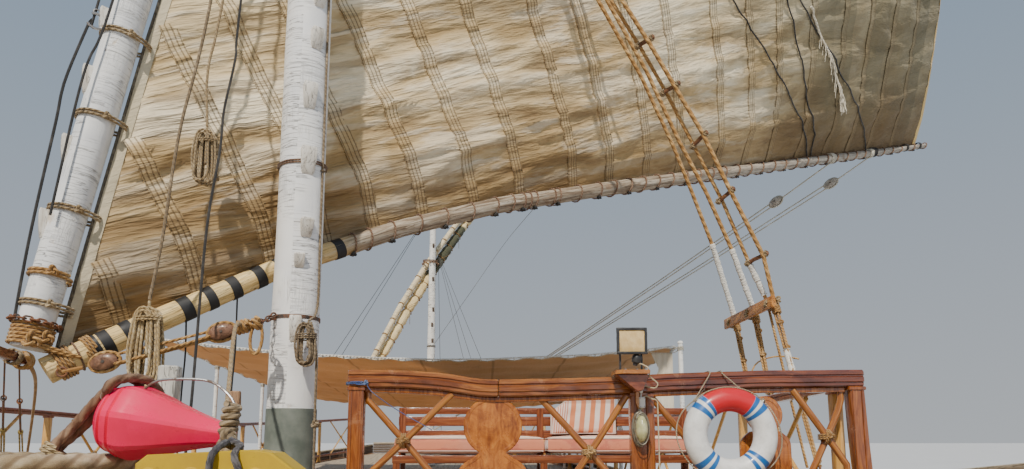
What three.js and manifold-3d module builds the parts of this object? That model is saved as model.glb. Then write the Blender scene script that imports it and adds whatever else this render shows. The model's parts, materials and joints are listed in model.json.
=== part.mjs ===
// Two-masted lateen sailing boat, full size, afloat.
// Frame: +X to the bow, +Y to port, +Z up, origin on the centreline amidships at the waterline.
// Millimetres. The tables are in metres and are scaled by M.
import * as THREE from "three";
import { mergeVertices } from "three/addons/utils/BufferGeometryUtils.js";
import Module from "manifold-3d";

const wasm = await Module();
wasm.setup();

const M = 1000; // metres to millimetres
const GAP = 0.4; // clearance between pieces that bear on each other

// ---------------------------------------------------------------- driving dimensions (m)
const MAST = { x: 4.6, top: 11.7, rFoot: 0.157, rMid: 0.15, rTop: 0.115 };
const MIZZEN = { x: -6.86, top: 7.3, rFoot: 0.1, rTop: 0.07 };
const RIG_ANGLE = (55.3 * Math.PI) / 180; // main boom off the centreline, to port
const RIG_BEHIND = 0.3; // sail plane behind the mast's axis
const RUDDER = { x: -10.44, stockR: 0.065, bottom: -0.92, top: 1.98, chord: 1.45 };
const TILLER = { length: 2.3, drop: 0.05 };
const RAIL_X = 5.22; // front railing
const RAIL = { top: 2.115, depth: 0.1, wide: 0.075, post: 0.09, foot: 0.12, brace: 0.04 };
const SIDE_RAIL = { inset: 0.24, post: 0.07, low: 0.8, high: 1.0, from: 5.05, to: -9.6 };
const BULWARK = { high: 0.24, thick: 0.1, cap: 0.05 };
const SHROUD_R = 0.018;
const SHROUD_BOARD = { z: 2.88, high: 0.085, thick: 0.035 };
const AWNING = { x0: 0.6, x1: -5.9, y0: -2.75, y1: 3.62, thick: 0.016 };
const POLE_R = 0.03;

// ---------------------------------------------------------------- hull
// columns: x, deck half beam, deck z, topside half beam, its z, bilge half beam, its z, bottom z, keel z
const KEEL_HALF = 0.11;
const SECTIONS = [
  [-10.3, 1.9, 1.45, 1.35, 0.35, 0.55, -0.12, -0.2, -0.92],
  [-9.0, 2.6, 1.34, 2.3, 0.15, 1.3, -0.35, -0.45, -0.96],
  [-6.5, 3.25, 1.2, 3.1, 0.1, 2.3, -0.5, -0.62, -1.0],
  [-3.0, 3.6, 1.06, 3.52, 0.1, 2.8, -0.58, -0.7, -1.0],
  [1.0, 3.72, 1.06, 3.66, 0.1, 2.9, -0.58, -0.7, -1.0],
  [4.2, 3.7, 1.24, 3.6, 0.15, 2.75, -0.55, -0.68, -1.0],
  [6.2, 3.46, 1.4, 3.15, 0.2, 2.2, -0.5, -0.62, -0.96],
  [8.0, 2.78, 1.52, 2.25, 0.25, 1.3, -0.4, -0.5, -0.86],
  [9.4, 1.78, 1.64, 1.25, 0.35, 0.55, -0.18, -0.28, -0.6],
  [10.3, 0.86, 1.74, 0.5, 0.6, 0.24, 0.15, 0.05, -0.2],
  [10.95, 0.26, 1.84, 0.18, 1.1, 0.14, 0.85, 0.75, 0.55],
];

function lerpTable(x, col) {
  for (let i = 0; i + 1 < SECTIONS.length; i++) {
    const a = SECTIONS[i];
    const b = SECTIONS[i + 1];
    if (x >= a[0] && x <= b[0]) {
      const t = (x - a[0]) / (b[0] - a[0]);
      return a[col] + t * (b[col] - a[col]);
    }
  }
  return x < SECTIONS[0][0] ? SECTIONS[0][col] : SECTIONS[SECTIONS.length - 1][col];
}
const deckZ = (x) => lerpTable(x, 2);
const halfBeam = (x) => lerpTable(x, 1);
const deckMax = (x, half) => Math.max(deckZ(x - half), deckZ(x), deckZ(x + half));

// ---------------------------------------------------------------- mesh helpers
function fromTriangles(positions, index) {
  const g = new THREE.BufferGeometry();
  g.setAttribute("position", new THREE.Float32BufferAttribute(positions.map((v) => v * M), 3));
  g.setIndex(index);
  return g;
}

// rings: arrays of [x, y, z] of equal length, each a loop; closed at both ends by a fan on its centre
function loftRings(rings) {
  const n = rings[0].length;
  const pos = [];
  const idx = [];
  for (const ring of rings) for (const p of ring) pos.push(...p);
  for (let i = 0; i + 1 < rings.length; i++)
    for (let j = 0; j < n; j++) {
      const k = (j + 1) % n;
      const a = i * n + j;
      const b = i * n + k;
      const c = (i + 1) * n + k;
      const d = (i + 1) * n + j;
      idx.push(a, b, c, a, c, d);
    }
  const cap = (ring, base, flip) => {
    const c = [0, 1, 2].map((q) => ring.reduce((s, p) => s + p[q], 0) / n);
    const ci = pos.length / 3;
    pos.push(...c);
    for (let j = 0; j < n; j++) {
      const k = (j + 1) % n;
      if (flip) idx.push(ci, base + k, base + j);
      else idx.push(ci, base + j, base + k);
    }
  };
  cap(rings[0], 0, true);
  cap(rings[rings.length - 1], (rings.length - 1) * n, false);
  return fromTriangles(pos, idx);
}

// a round spar through points with a radius at each; sides facets
function spar(points, radii, sides = 12) {
  const P = points.map((p) => new THREE.Vector3(...p));
  const rings = [];
  let up = null;
  P.forEach((p, i) => {
    const t = new THREE.Vector3();
    if (i > 0) t.add(new THREE.Vector3().subVectors(p, P[i - 1]).normalize());
    if (i + 1 < P.length) t.add(new THREE.Vector3().subVectors(P[i + 1], p).normalize());
    t.normalize();
    if (!up) {
      up = Math.abs(t.z) > 0.9 ? new THREE.Vector3(1, 0, 0) : new THREE.Vector3(0, 0, 1);
    }
    const u = new THREE.Vector3().copy(up).addScaledVector(t, -up.dot(t)).normalize();
    up = u.clone();
    const v = new THREE.Vector3().crossVectors(t, u);
    const ring = [];
    for (let k = 0; k < sides; k++) {
      const a = (2 * Math.PI * k) / sides;
      ring.push([
        p.x + radii[i] * (Math.cos(a) * u.x + Math.sin(a) * v.x),
        p.y + radii[i] * (Math.cos(a) * u.y + Math.sin(a) * v.y),
        p.z + radii[i] * (Math.cos(a) * u.z + Math.sin(a) * v.z),
      ]);
    }
    rings.push(ring);
  });
  return loftRings(rings);
}

// a box given by its low and high corners
function block(lo, hi) {
  const g = new THREE.BoxGeometry((hi[0] - lo[0]) * M, (hi[1] - lo[1]) * M, (hi[2] - lo[2]) * M);
  g.translate(((lo[0] + hi[0]) / 2) * M, ((lo[1] + hi[1]) / 2) * M, ((lo[2] + hi[2]) / 2) * M);
  return g;
}

// a bar of rectangular section from a to b; wide is across (horizontal), deep is the other way
function bar(a, b, wide, deep) {
  const A = new THREE.Vector3(...a).multiplyScalar(M);
  const B = new THREE.Vector3(...b).multiplyScalar(M);
  const t = new THREE.Vector3().subVectors(B, A);
  const len = t.length();
  t.normalize();
  let side = new THREE.Vector3().crossVectors(t, new THREE.Vector3(0, 0, 1));
  if (side.length() < 1e-3) side = new THREE.Vector3(0, 1, 0);
  side.normalize();
  const up = new THREE.Vector3().crossVectors(side, t);
  const g = new THREE.BoxGeometry(len, wide * M, deep * M);
  const m = new THREE.Matrix4().makeBasis(t, side.clone().negate(), up.clone());
  m.setPosition(new THREE.Vector3().addVectors(A, B).multiplyScalar(0.5));
  g.applyMatrix4(m);
  return g;
}

function toSolid(g) {
  let q = g.clone();
  q.deleteAttribute("normal");
  q.deleteAttribute("uv");
  q = mergeVertices(q, 1e-3);
  const mesh = new wasm.Mesh({
    numProp: 3,
    vertProperties: new Float32Array(q.attributes.position.array),
    triVerts: new Uint32Array(q.index.array),
  });
  return new wasm.Manifold(mesh);
}
function toGeometry(solid) {
  const m = solid.getMesh();
  const g = new THREE.BufferGeometry();
  g.setAttribute("position", new THREE.Float32BufferAttribute(Array.from(m.vertProperties), 3));
  g.setIndex(Array.from(m.triVerts));
  return g;
}
function union(list) {
  let s = toSolid(list[0]);
  for (const g of list.slice(1)) s = s.add(toSolid(g));
  return toGeometry(s);
}
function minus(a, list) {
  let s = toSolid(a);
  for (const g of list) s = s.subtract(toSolid(g));
  return toGeometry(s);
}

const group = new THREE.Group();
const FINISH = {
  // columns: colour, roughness, metalness
  hull_paint: [0x6b4a2e, 0.6, 0.0],
  deck_timber: [0x8a6a45, 0.7, 0.0],
  rail_varnish: [0x6e2f17, 0.35, 0.0],
  board_varnish: [0xa5521c, 0.3, 0.0],
  mast_paint: [0xe4e1d8, 0.6, 0.0],
  boom_timber: [0xcdb894, 0.7, 0.0],
  sail_cloth: [0xe3d6ba, 0.9, 0.0],
  furled_cloth: [0xdcd6cb, 0.9, 0.0],
  awning_cloth: [0xb98a5a, 0.9, 0.0],
  curtain_cloth: [0xe2dccb, 0.9, 0.0],
  cushion_cloth: [0xd98a72, 0.9, 0.0],
  rope: [0xb98d50, 0.9, 0.0],
  pole_paint: [0xe8e6df, 0.5, 0.0],
  bitts_paint: [0xd8a21a, 0.5, 0.0],
  float_plastic: [0xe0203a, 0.35, 0.0],
  ring_plastic: [0xf0efec, 0.4, 0.0],
  lamp_metal: [0x2a2a28, 0.5, 0.4],
  rudder_timber: [0x5a4028, 0.6, 0.0],
  iron: [0x3c3632, 0.6, 0.6],
};
function add(name, geometry, finish) {
  const [color, roughness, metalness] = FINISH[finish];
  const mesh = new THREE.Mesh(geometry, new THREE.MeshStandardMaterial({ color, roughness, metalness }));
  mesh.name = name;
  group.add(mesh);
  return mesh;
}

// ---------------------------------------------------------------- hull body
{
  const pos = [];
  const idx = [];
  const rows = 5;
  for (const [x, bD, zD, bT, zT, bB, zB, zBot, zK] of SECTIONS) {
    const half = [[bD, zD], [bT, zT], [bB, zB], [KEEL_HALF, zBot], [KEEL_HALF, zK]];
    for (const [y, z] of half) pos.push(x, y, z);
    for (const [y, z] of half) pos.push(x, -y, z);
  }
  const P = (i, k) => i * 2 * rows + k; // port point
  const S = (i, k) => i * 2 * rows + rows + k; // starboard point
  const quad = (a, b, c, d) => idx.push(a, b, c, a, c, d);
  for (let i = 0; i + 1 < SECTIONS.length; i++) {
    quad(P(i, 0), S(i, 0), S(i + 1, 0), P(i + 1, 0)); // deck
    quad(P(i, rows - 1), P(i + 1, rows - 1), S(i + 1, rows - 1), S(i, rows - 1)); // keel
    for (let k = 0; k + 1 < rows; k++) {
      quad(P(i, k), P(i + 1, k), P(i + 1, k + 1), P(i, k + 1));
      quad(S(i, k), S(i, k + 1), S(i + 1, k + 1), S(i + 1, k));
    }
  }
  const e = SECTIONS.length - 1;
  for (let k = 0; k + 1 < rows; k++) {
    quad(S(0, k), P(0, k), P(0, k + 1), S(0, k + 1)); // stern face
    quad(P(e, k), S(e, k), S(e, k + 1), P(e, k + 1)); // stem face
  }
  add("hull", fromTriangles(pos, idx), "hull_paint");
}

// bulwarks: one sweep per side, its sections at the hull's own sections
for (const [side, name] of [[1, "bulwark_port"], [-1, "bulwark_starboard"]]) {
  const rings = SECTIONS.slice(0, -1).map(([x, bD, zD]) => {
    const out = bD - 0.015;
    const inn = out - BULWARK.thick;
    const lo = zD + GAP / M;
    const hi = zD + BULWARK.high;
    const ring = [[x, side * out, lo], [x, side * out, hi], [x, side * inn, hi], [x, side * inn, lo]];
    return side > 0 ? ring : ring.reverse();
  });
  add(name, loftRings(rings), "hull_paint");
}
{
  // stern board that joins the bulwarks over the stern, and the stem head
  const [x, bD, zD] = SECTIONS[0];
  const y = bD - 0.115 - 0.001;
  add("taffrail", block([x, -y, zD + 0.002], [x + 0.12, y, zD + BULWARK.high + 0.05]), "hull_paint");
  const ringAt = (z, x0, x1, w) => [[x0, w, z], [x0, -w, z], [x1, -w, z], [x1, w, z]];
  add(
    "stem_head",
    loftRings([
      ringAt(1.842, 10.42, 10.93, 0.1),
      ringAt(2.25, 10.6, 11.0, 0.09),
      ringAt(2.62, 10.86, 11.12, 0.07),
    ]),
    "rail_varnish",
  );
}

// ---------------------------------------------------------------- rudder, hung on the stern
{
  const { x, stockR, bottom, top, chord } = RUDDER;
  const stock = new THREE.CylinderGeometry(stockR * M, stockR * M, (top - bottom) * M, 16);
  stock.rotateX(Math.PI / 2);
  stock.translate(x * M, 0, ((top + bottom) / 2) * M);
  const shape = new THREE.Shape();
  const outline = [
    [0, bottom], [-chord, bottom + 0.06], [-chord - 0.12, 0.1], [-chord * 0.78, 0.42], [-0.35, 0.75], [0, 1.25],
  ];
  outline.forEach(([a, z], i) => (i ? shape.lineTo(a * M, z * M) : shape.moveTo(a * M, z * M)));
  const blade = new THREE.ExtrudeGeometry(shape, { depth: 70, bevelEnabled: false });
  blade.translate(0, 0, -35);
  blade.rotateX(Math.PI / 2); // shape's y becomes z
  blade.translate(x * M, 0, 0);
  add("rudder_blade", union([stock, blade]), "rudder_timber");
  // tiller: socket round the stock head, arm forward over the stern
  const zt = top - 0.09;
  const arm = spar(
    [[x + stockR + 0.001, 0, zt], [x + 0.9, 0, zt - 0.02], [x + 1.7, 0, zt + 0.02], [x + TILLER.length, 0, zt + 0.12]],
    [0.05, 0.045, 0.036, 0.03],
    12,
  );
  const head = new THREE.CylinderGeometry(0.105 * M, 0.105 * M, 0.13 * M, 20);
  head.rotateX(Math.PI / 2);
  head.translate(x * M, 0, zt * M);
  const hole = new THREE.CylinderGeometry((stockR + 0.0006) * M, (stockR + 0.0006) * M, 0.3 * M, 16);
  hole.rotateX(Math.PI / 2);
  hole.translate(x * M, 0, zt * M);
  add("tiller", minus(union([head, arm]), [hole]), "rail_varnish");
  // gudgeons on the stern
  for (const [name, z] of [["rudder_gudgeon_upper", 1.33], ["rudder_gudgeon_lower", 0.0]]) {
    const x1 = SECTIONS[0][0] - GAP / M;
    let cut = [];
    const plate = block([x - 0.11, -0.13, z - 0.035], [x1, 0.13, z + 0.035]);
    const bore = new THREE.CylinderGeometry((stockR + 0.006) * M, (stockR + 0.006) * M, 0.3 * M, 20);
    bore.rotateX(Math.PI / 2);
    bore.translate(x * M, 0, z * M);
    cut.push(bore);
    // the lower gudgeon is open behind, where the blade is let in and swings
    if (z < 1.2) cut.push(block([x - 0.3, -0.14, z - 0.1], [x - 0.008, 0.14, z + 0.1]));
    add(name, minus(plate, cut), "iron");
  }
}

// ---------------------------------------------------------------- masts
add(
  "main_mast",
  spar(
    [[MAST.x, 0, deckMax(MAST.x, 0.17) + GAP / M], [MAST.x, 0, 4.2], [MAST.x, 0, 8.0], [MAST.x, 0, MAST.top - 0.1], [MAST.x, 0, MAST.top]],
    [MAST.rFoot, MAST.rMid, 0.135, MAST.rTop, 0.07],
    16,
  ),
  "mast_paint",
);
add(
  "mizzen_mast",
  spar(
    [[MIZZEN.x, 0, deckMax(MIZZEN.x, 0.12) + GAP / M], [MIZZEN.x, 0, 4.0], [MIZZEN.x, 0, MIZZEN.top]],
    [MIZZEN.rFoot, 0.088, MIZZEN.rTop],
    12,
  ),
  "mast_paint",
);

// ---------------------------------------------------------------- main yard, boom and sail
// The rig's own plane stands upright through the boom: s runs along it from the mast, n is to its port bow side.
const RU = [-Math.cos(RIG_ANGLE), Math.sin(RIG_ANGLE)];
const RN = [Math.sin(RIG_ANGLE), Math.cos(RIG_ANGLE)];
const RP = [MAST.x - RIG_BEHIND * RN[0], -RIG_BEHIND * RN[1]];
const rig = (s, n, z) => [RP[0] + s * RU[0] + n * RN[0], RP[1] + s * RU[1] + n * RN[1], z];

// columns: s, z, radius
const YARD = [
  [-1.425, 2.275, 0.09], [-1.36, 2.65, 0.096], [-1.05, 4.57, 0.108], [-0.58, 7.5, 0.11], [0.03, 11.05, 0.105],
  [0.78, 14.6, 0.092], [1.75, 18.0, 0.07], [2.75, 20.85, 0.045],
];
// columns: s, z, radius
const BOOM = [
  [-1.33, 2.15, 0.07], [-0.92, 2.41, 0.068], [-0.03, 2.95, 0.062], [0.9, 3.41, 0.06], [1.88, 3.81, 0.06],
  [3.1, 4.22, 0.06], [4.68, 4.74, 0.058], [6.79, 5.42, 0.052], [8.83, 6.08, 0.045], [10.69, 6.69, 0.03],
];
function along(table, s, col) {
  for (let i = 0; i + 1 < table.length; i++)
    if (s <= table[i + 1][0] || i + 2 === table.length) {
      const t = (s - table[i][0]) / (table[i + 1][0] - table[i][0]);
      return table[i][col] + t * (table[i + 1][col] - table[i][col]);
    }
  return 0;
}
add("main_yard", spar(YARD.map(([s, z]) => rig(s, 0, z)), YARD.map((r) => r[2]), 12), "mast_paint");
add("main_boom", spar(BOOM.map(([s, z]) => rig(s, 0.14 * 0, z)), BOOM.map((r) => r[2]), 12), "boom_timber");

// the sail: v from foot to peak, u from luff to leech; camber to the port bow side
const SAIL = { tackS: -1.26, clewS: 10.42, peakZ: 20.45, half: 0.01, leechBulge: 2.0, camber: 0.62 };
const yardS = (z) => {
  for (let i = 0; i + 1 < YARD.length; i++)
    if (z <= YARD[i + 1][1] || i + 2 === YARD.length) {
      const t = (z - YARD[i][1]) / (YARD[i + 1][1] - YARD[i][1]);
      return YARD[i][0] + t * (YARD[i + 1][0] - YARD[i][0]);
    }
};
const yardR = (z) => {
  for (let i = 0; i + 1 < YARD.length; i++)
    if (z <= YARD[i + 1][1] || i + 2 === YARD.length) {
      const t = (z - YARD[i][1]) / (YARD[i + 1][1] - YARD[i][1]);
      return YARD[i][2] + t * (YARD[i + 1][2] - YARD[i][2]);
    }
};
const footZ = (s) => along(BOOM, s, 1) + along(BOOM, s, 2) * 1.12 + 0.035;
function sailPoint(u, v) {
  const z0 = footZ(SAIL.tackS) + 0.06;
  const zL = z0 + v * (SAIL.peakZ - z0);
  const sL = yardS(zL) + yardR(zL) * 1.05 + 0.04;
  const zC = footZ(SAIL.clewS);
  const peakS = yardS(SAIL.peakZ) + yardR(SAIL.peakZ) + 0.16;
  const sR = SAIL.clewS + v * (peakS - SAIL.clewS);
  const zR = zC + v * (SAIL.peakZ - 0.05 - zC);
  const s = sL + u * (sR - sL);
  let z = zL + u * (zR - zL);
  const s0 = yardS(z0) + yardR(z0) * 1.05 + 0.04;
  const sFoot = s0 + u * (SAIL.clewS - s0);
  const flat = z0 + u * (zC - z0);
  z += (footZ(sFoot) - flat) * Math.pow(1 - v, 3);
  // flat where it lies along the mast, then a smooth belly out to the leech
  const MAST_S = 0.1;
  const rise = Math.sin((Math.min(1, v / 0.22) * Math.PI) / 2);
  let n;
  if (s <= MAST_S) n = 0.05 * rise * Math.max(0, (s - sL) / Math.max(0.05, MAST_S - sL));
  else {
    const start = Math.max(sL, MAST_S);
    const w = (s - start) / Math.max(0.05, sR - start);
    n = 0.05 * rise * (1 - w) * (sL < MAST_S ? 1 : 0)
      + SAIL.leechBulge * 4 * v * (1 - v) * Math.pow(w, 1.55)
      + SAIL.camber * 5.38 * Math.pow(w, 1.5) * (1 - w) * rise * Math.pow(1 - v, 0.7);
  }
  return [s, n, z];
}
{
  const NU = 14;
  const NV = 12;
  const pos = [];
  const idx = [];
  const V = (i) => Math.pow(i / NV, 1.25);
  for (const side of [1, -1])
    for (let j = 0; j <= NV; j++)
      for (let i = 0; i <= NU; i++) {
        const [s, n, z] = sailPoint(i / NU, V(j));
        pos.push(...rig(s, n + side * SAIL.half, z));
      }
  const N = (NU + 1) * (NV + 1);
  const F = (i, j) => j * (NU + 1) + i;
  const B = (i, j) => N + F(i, j);
  const quad = (a, b, c, d) => idx.push(a, b, c, a, c, d);
  for (let j = 0; j < NV; j++)
    for (let i = 0; i < NU; i++) {
      quad(F(i, j), F(i + 1, j), F(i + 1, j + 1), F(i, j + 1));
      quad(B(i, j), B(i, j + 1), B(i + 1, j + 1), B(i + 1, j));
    }
  for (let i = 0; i < NU; i++) {
    quad(F(i, 0), B(i, 0), B(i + 1, 0), F(i + 1, 0));
    quad(F(i, NV), F(i + 1, NV), B(i + 1, NV), B(i, NV));
  }
  for (let j = 0; j < NV; j++) {
    quad(F(0, j), F(0, j + 1), B(0, j + 1), B(0, j));
    quad(F(NU, j), B(NU, j), B(NU, j + 1), F(NU, j + 1));
  }
  add("mainsail", fromTriangles(pos, idx), "sail_cloth");
}

// ---------------------------------------------------------------- mizzen yard with its furled sail
// It stands in its own upright plane abaft the mast. Columns: s along the plane, z, yard radius, roll radius
const MIZZEN_YARD = [
  [-1.6, 3.15, 0.055, 0.1], [-0.72, 4.8, 0.065, 0.135], [0.02, 5.95, 0.068, 0.14], [0.9, 7.15, 0.062, 0.12],
  [2.2, 8.8, 0.05, 0.09], [3.4, 10.2, 0.036, 0.06],
];
const MU = [-0.626, 0.78];
const MN = [0.78, 0.626];
const mizzen = (s, n, z) => [MIZZEN.x - 0.17 + s * MU[0] + n * MN[0], -0.137 + s * MU[1] + n * MN[1], z];
{
  add("mizzen_yard", spar(MIZZEN_YARD.map(([s, z]) => mizzen(s, 0, z)), MIZZEN_YARD.map((r) => r[2]), 10), "mast_paint");
  const roll = MIZZEN_YARD.map(([s, z, ry, rr], i) => {
    const d = ry + rr + 0.02;
    const pull = i === 0 ? 0.12 : i === MIZZEN_YARD.length - 1 ? -0.12 : 0;
    return mizzen(s + 0.84 * d + 0.54 * pull, -0.07, z - 0.54 * d + 0.84 * pull);
  });
  add("mizzen_sail_furled", spar(roll, MIZZEN_YARD.map((r) => r[3]), 10), "furled_cloth");
}

// ---------------------------------------------------------------- front railing with crossed braces
const BAYS = [[0.53, 2.15], [2.15, 3.37]];
{
  const z0 = deckMax(RAIL_X, 0.08) + GAP / M;
  const zr = RAIL.top;
  const parts = [];
  for (const y of [0.53, 2.15, 3.37])
    parts.push(block([RAIL_X - RAIL.post / 2, y - RAIL.post / 2, z0], [RAIL_X + RAIL.post / 2, y + RAIL.post / 2, zr - 0.01]));
  parts.push(block([RAIL_X - RAIL.wide / 2 - 0.015, 0.45, zr - RAIL.depth], [RAIL_X + RAIL.wide / 2 + 0.015, 3.43, zr]));
  parts.push(block([RAIL_X - 0.03, 0.5, z0 + RAIL.foot], [RAIL_X + 0.03, 3.4, z0 + RAIL.foot + 0.07]));
  const lo = z0 + RAIL.foot + 0.05;
  const hi = zr - RAIL.depth + 0.02;
  // columns: y at one foot, y at the other foot
  for (const [a, b] of [[0.575, 1.07], [1.56, 2.105], [2.195, 2.56], [3.04, 3.325]])
    for (const [p, q] of [[a, b], [b, a]])
      parts.push(bar([RAIL_X, p, lo], [RAIL_X, q, hi], RAIL.brace, RAIL.brace));
  add("front_rail", union(parts), "rail_varnish");
  // round-headed boards between the braces
  // columns: name, centre y, head radius, neck half, shoulder half, head centre z, shoulder z
  const zLow = z0 + RAIL.foot + 0.07 + GAP / M;
  for (const [name, y, r, neck, shoulder, zc, zs] of [["rail_board_1", 1.295, 0.165, 0.1, 0.19, 1.838, 1.6], ["rail_board_2", 2.85, 0.105, 0.055, 0.145, 1.905, 1.735]]) {
    const s = new THREE.Shape();
    s.moveTo(-shoulder * M, zLow * M);
    s.lineTo(shoulder * M, zLow * M);
    s.lineTo(shoulder * M, zs * M);
    s.lineTo((shoulder - 0.04) * M, (zs + 0.065) * M);
    s.lineTo(neck * M, (zc - r * 0.83) * M);
    const a0 = -Math.acos(Math.min(1, neck / r));
    const N = 18;
    for (let i = 0; i <= N; i++) {
      const a = a0 + ((Math.PI - 2 * a0) * i) / N;
      s.lineTo(r * Math.cos(a) * M, (zc + r * Math.sin(a)) * M);
    }
    s.lineTo(-(shoulder - 0.04) * M, (zs + 0.065) * M);
    s.lineTo(-shoulder * M, zs * M);
    const g = new THREE.ExtrudeGeometry(s, { depth: 26, bevelEnabled: false });
    g.rotateX(Math.PI / 2);
    g.rotateZ(Math.PI / 2);
    g.translate((RAIL_X - 0.013) * M, y * M, 0);
    add(name, g, "board_varnish");
  }
}

// side railings, on the deck inside the bulwarks
for (const [side, name] of [[1, "side_rail_port"], [-1, "side_rail_starboard"]]) {
  const parts = [];
  const N = 8;
  const at = (i) => {
    const x = SIDE_RAIL.from + ((SIDE_RAIL.to - SIDE_RAIL.from) * i) / N;
    return [x, side * (halfBeam(x) - SIDE_RAIL.inset)];
  };
  const high = (x) => Math.min(SIDE_RAIL.high, SIDE_RAIL.low + 0.06 * (SIDE_RAIL.from - x));
  const zt = (x) => deckZ(x) + high(x);
  for (let i = 0; i <= N; i++) {
    const [x, y] = at(i);
    const h = SIDE_RAIL.post / 2;
    parts.push(block([x - h, y - h, deckMax(x, h) + GAP / M], [x + h, y + h, zt(x) - 0.01]));
    if (i === N) break;
    const [x1, y1] = at(i + 1);
    parts.push(bar([x + 0.03, y, zt(x) - 0.035], [x1 - 0.03, y1, zt(x1) - 0.035], 0.075, 0.07));
    parts.push(bar([x, y, deckZ(x) + 0.15], [x1, y1, deckZ(x1) + 0.15], 0.045, 0.055));
    // one crossed pair of braces in the middle of each bay
    const f = (t) => [x + (x1 - x) * t, y + (y1 - y) * t, deckZ(x) + (deckZ(x1) - deckZ(x)) * t];
    for (const [p, q] of [[0.25, 0.75], [0.75, 0.25]]) {
      const a = f(p);
      const b = f(q);
      parts.push(bar([a[0], a[1], a[2] + 0.15], [b[0], b[1], zt(b[0]) - 0.04], 0.035, 0.035));
    }
  }
  add(name, union(parts), "rail_varnish");
}

// ---------------------------------------------------------------- bench and its cushions
{
  const x0 = 4.0;
  const x1 = 4.36;
  const y0 = 0.62;
  const y1 = 2.75;
  const zd = deckMax(4.2, 0.4) + GAP / M;
  const seat = 1.66;
  const parts = [
    block([x0, y0, seat - 0.04], [x1, y1, seat]),
    block([x0, y0, seat - 0.045], [x0 + 0.04, y1, seat + 0.34]),
  ];
  for (const y of [y0, (y0 + y1) / 2 - 0.03, y1 - 0.06]) {
    parts.push(block([x0, y, zd], [x0 + 0.06, y + 0.06, seat - 0.02]));
    parts.push(block([x1 - 0.06, y, zd], [x1, y + 0.06, seat - 0.02]));
  }
  add("bench", union(parts), "deck_timber");
  const soft = (lo, hi, c) => {
    // box with chamfered upright edges
    const ring = (z, k) => [
      [hi[0] - k, hi[1] - c - k, z], [hi[0] - c - k, hi[1] - k, z], [lo[0] + c + k, hi[1] - k, z], [lo[0] + k, hi[1] - c - k, z],
      [lo[0] + k, lo[1] + c + k, z], [lo[0] + c + k, lo[1] + k, z], [hi[0] - c - k, lo[1] + k, z], [hi[0] - k, lo[1] + c + k, z],
    ];
    const h = hi[2] - lo[2];
    const e = Math.min(0.03, h / 4);
    return loftRings([ring(lo[2], e * 0.6), ring(lo[2] + e, 0), ring(hi[2] - e, 0), ring(hi[2], e * 0.6)]);
  };
  add("bench_seat_cushion_1", soft([x0 + 0.046, y0 + 0.01, seat + 0.001], [x1 - 0.005, 1.66, seat + 0.14], 0.03), "cushion_cloth");
  add("bench_seat_cushion_2", soft([x0 + 0.046, 1.68, seat + 0.001], [x1 - 0.005, y1 - 0.01, seat + 0.14], 0.03), "cushion_cloth");
  add("bench_back_cushion", soft([x0 + 0.046, 1.72, seat + 0.145], [x0 + 0.17, 2.2, seat + 0.47], 0.03), "cushion_cloth");
}

// ---------------------------------------------------------------- awning on its poles
const awnZ = (x, y) => {
  const t = (AWNING.x0 - x) / (AWNING.x0 - AWNING.x1);
  const edge = (y - 0.7) / 3.1;
  return 2.735 - 0.28 * t + 0.19 * edge * edge + 0.03 * Math.cos(t * 2 * Math.PI * 3) * Math.min(1, Math.abs(edge));
};
{
  const NX = 12;
  const NY = 8;
  const pos = [];
  const idx = [];
  for (const side of [1, -1])
    for (let j = 0; j <= NX; j++)
      for (let i = 0; i <= NY; i++) {
        const x = AWNING.x0 + ((AWNING.x1 - AWNING.x0) * j) / NX;
        const y = AWNING.y0 + ((AWNING.y1 - AWNING.y0) * i) / NY;
        pos.push(x, y, awnZ(x, y) + (side * AWNING.thick) / 2);
      }
  const N = (NX + 1) * (NY + 1);
  const F = (i, j) => j * (NY + 1) + i;
  const B = (i, j) => N + F(i, j);
  const quad = (a, b, c, d) => idx.push(a, b, c, a, c, d);
  for (let j = 0; j < NX; j++)
    for (let i = 0; i < NY; i++) {
      quad(F(i, j), F(i + 1, j), F(i + 1, j + 1), F(i, j + 1));
      quad(B(i, j), B(i, j + 1), B(i + 1, j + 1), B(i + 1, j));
    }
  for (let i = 0; i < NY; i++) {
    quad(F(i, 0), B(i, 0), B(i + 1, 0), F(i + 1, 0));
    quad(F(i, NX), F(i + 1, NX), B(i + 1, NX), B(i, NX));
  }
  for (let j = 0; j < NX; j++) {
    quad(F(0, j), F(0, j + 1), B(0, j + 1), B(0, j));
    quad(F(NY, j), B(NY, j), B(NY, j + 1), F(NY, j + 1));
  }
  add("awning", fromTriangles(pos, idx), "awning_cloth");
  // poles just outside the cloth's side edges, with a longitudinal wire carried by scene detail
  for (const [side, y, label] of [[1, AWNING.y1 - 0.24, "port"], [-1, AWNING.y0 - 0.05, "starboard"]])
    [side > 0 ? 0.76 : 0.72, -1.5, -3.7, -6.02].forEach((x, i) => {
      // the port bow one stands on the bulwark, outboard of the side railing, ahead of the cloth's corner
      const corner = side > 0 && i === 0;
      const yy = corner ? 3.645 : side > 0 ? Math.min(y, halfBeam(x) - SIDE_RAIL.inset - 0.09) : y;
      const top = corner ? 2.975 : i === 3 || side < 0 ? 3.02 - 0.04 * i : awnZ(x, yy) - 0.02;
      const z0 = deckMax(x, POLE_R) + (corner ? BULWARK.high : 0) + GAP / M;
      add(`awning_pole_${label}_${i + 1}`, spar([[x, yy, z0], [x, yy, top]], [POLE_R, POLE_R], 8), "pole_paint");
    });
  add("side_curtain", block([0.55, 3.32, 2.085], [0.57, 3.605, 2.86]), "curtain_cloth");
}

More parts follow.
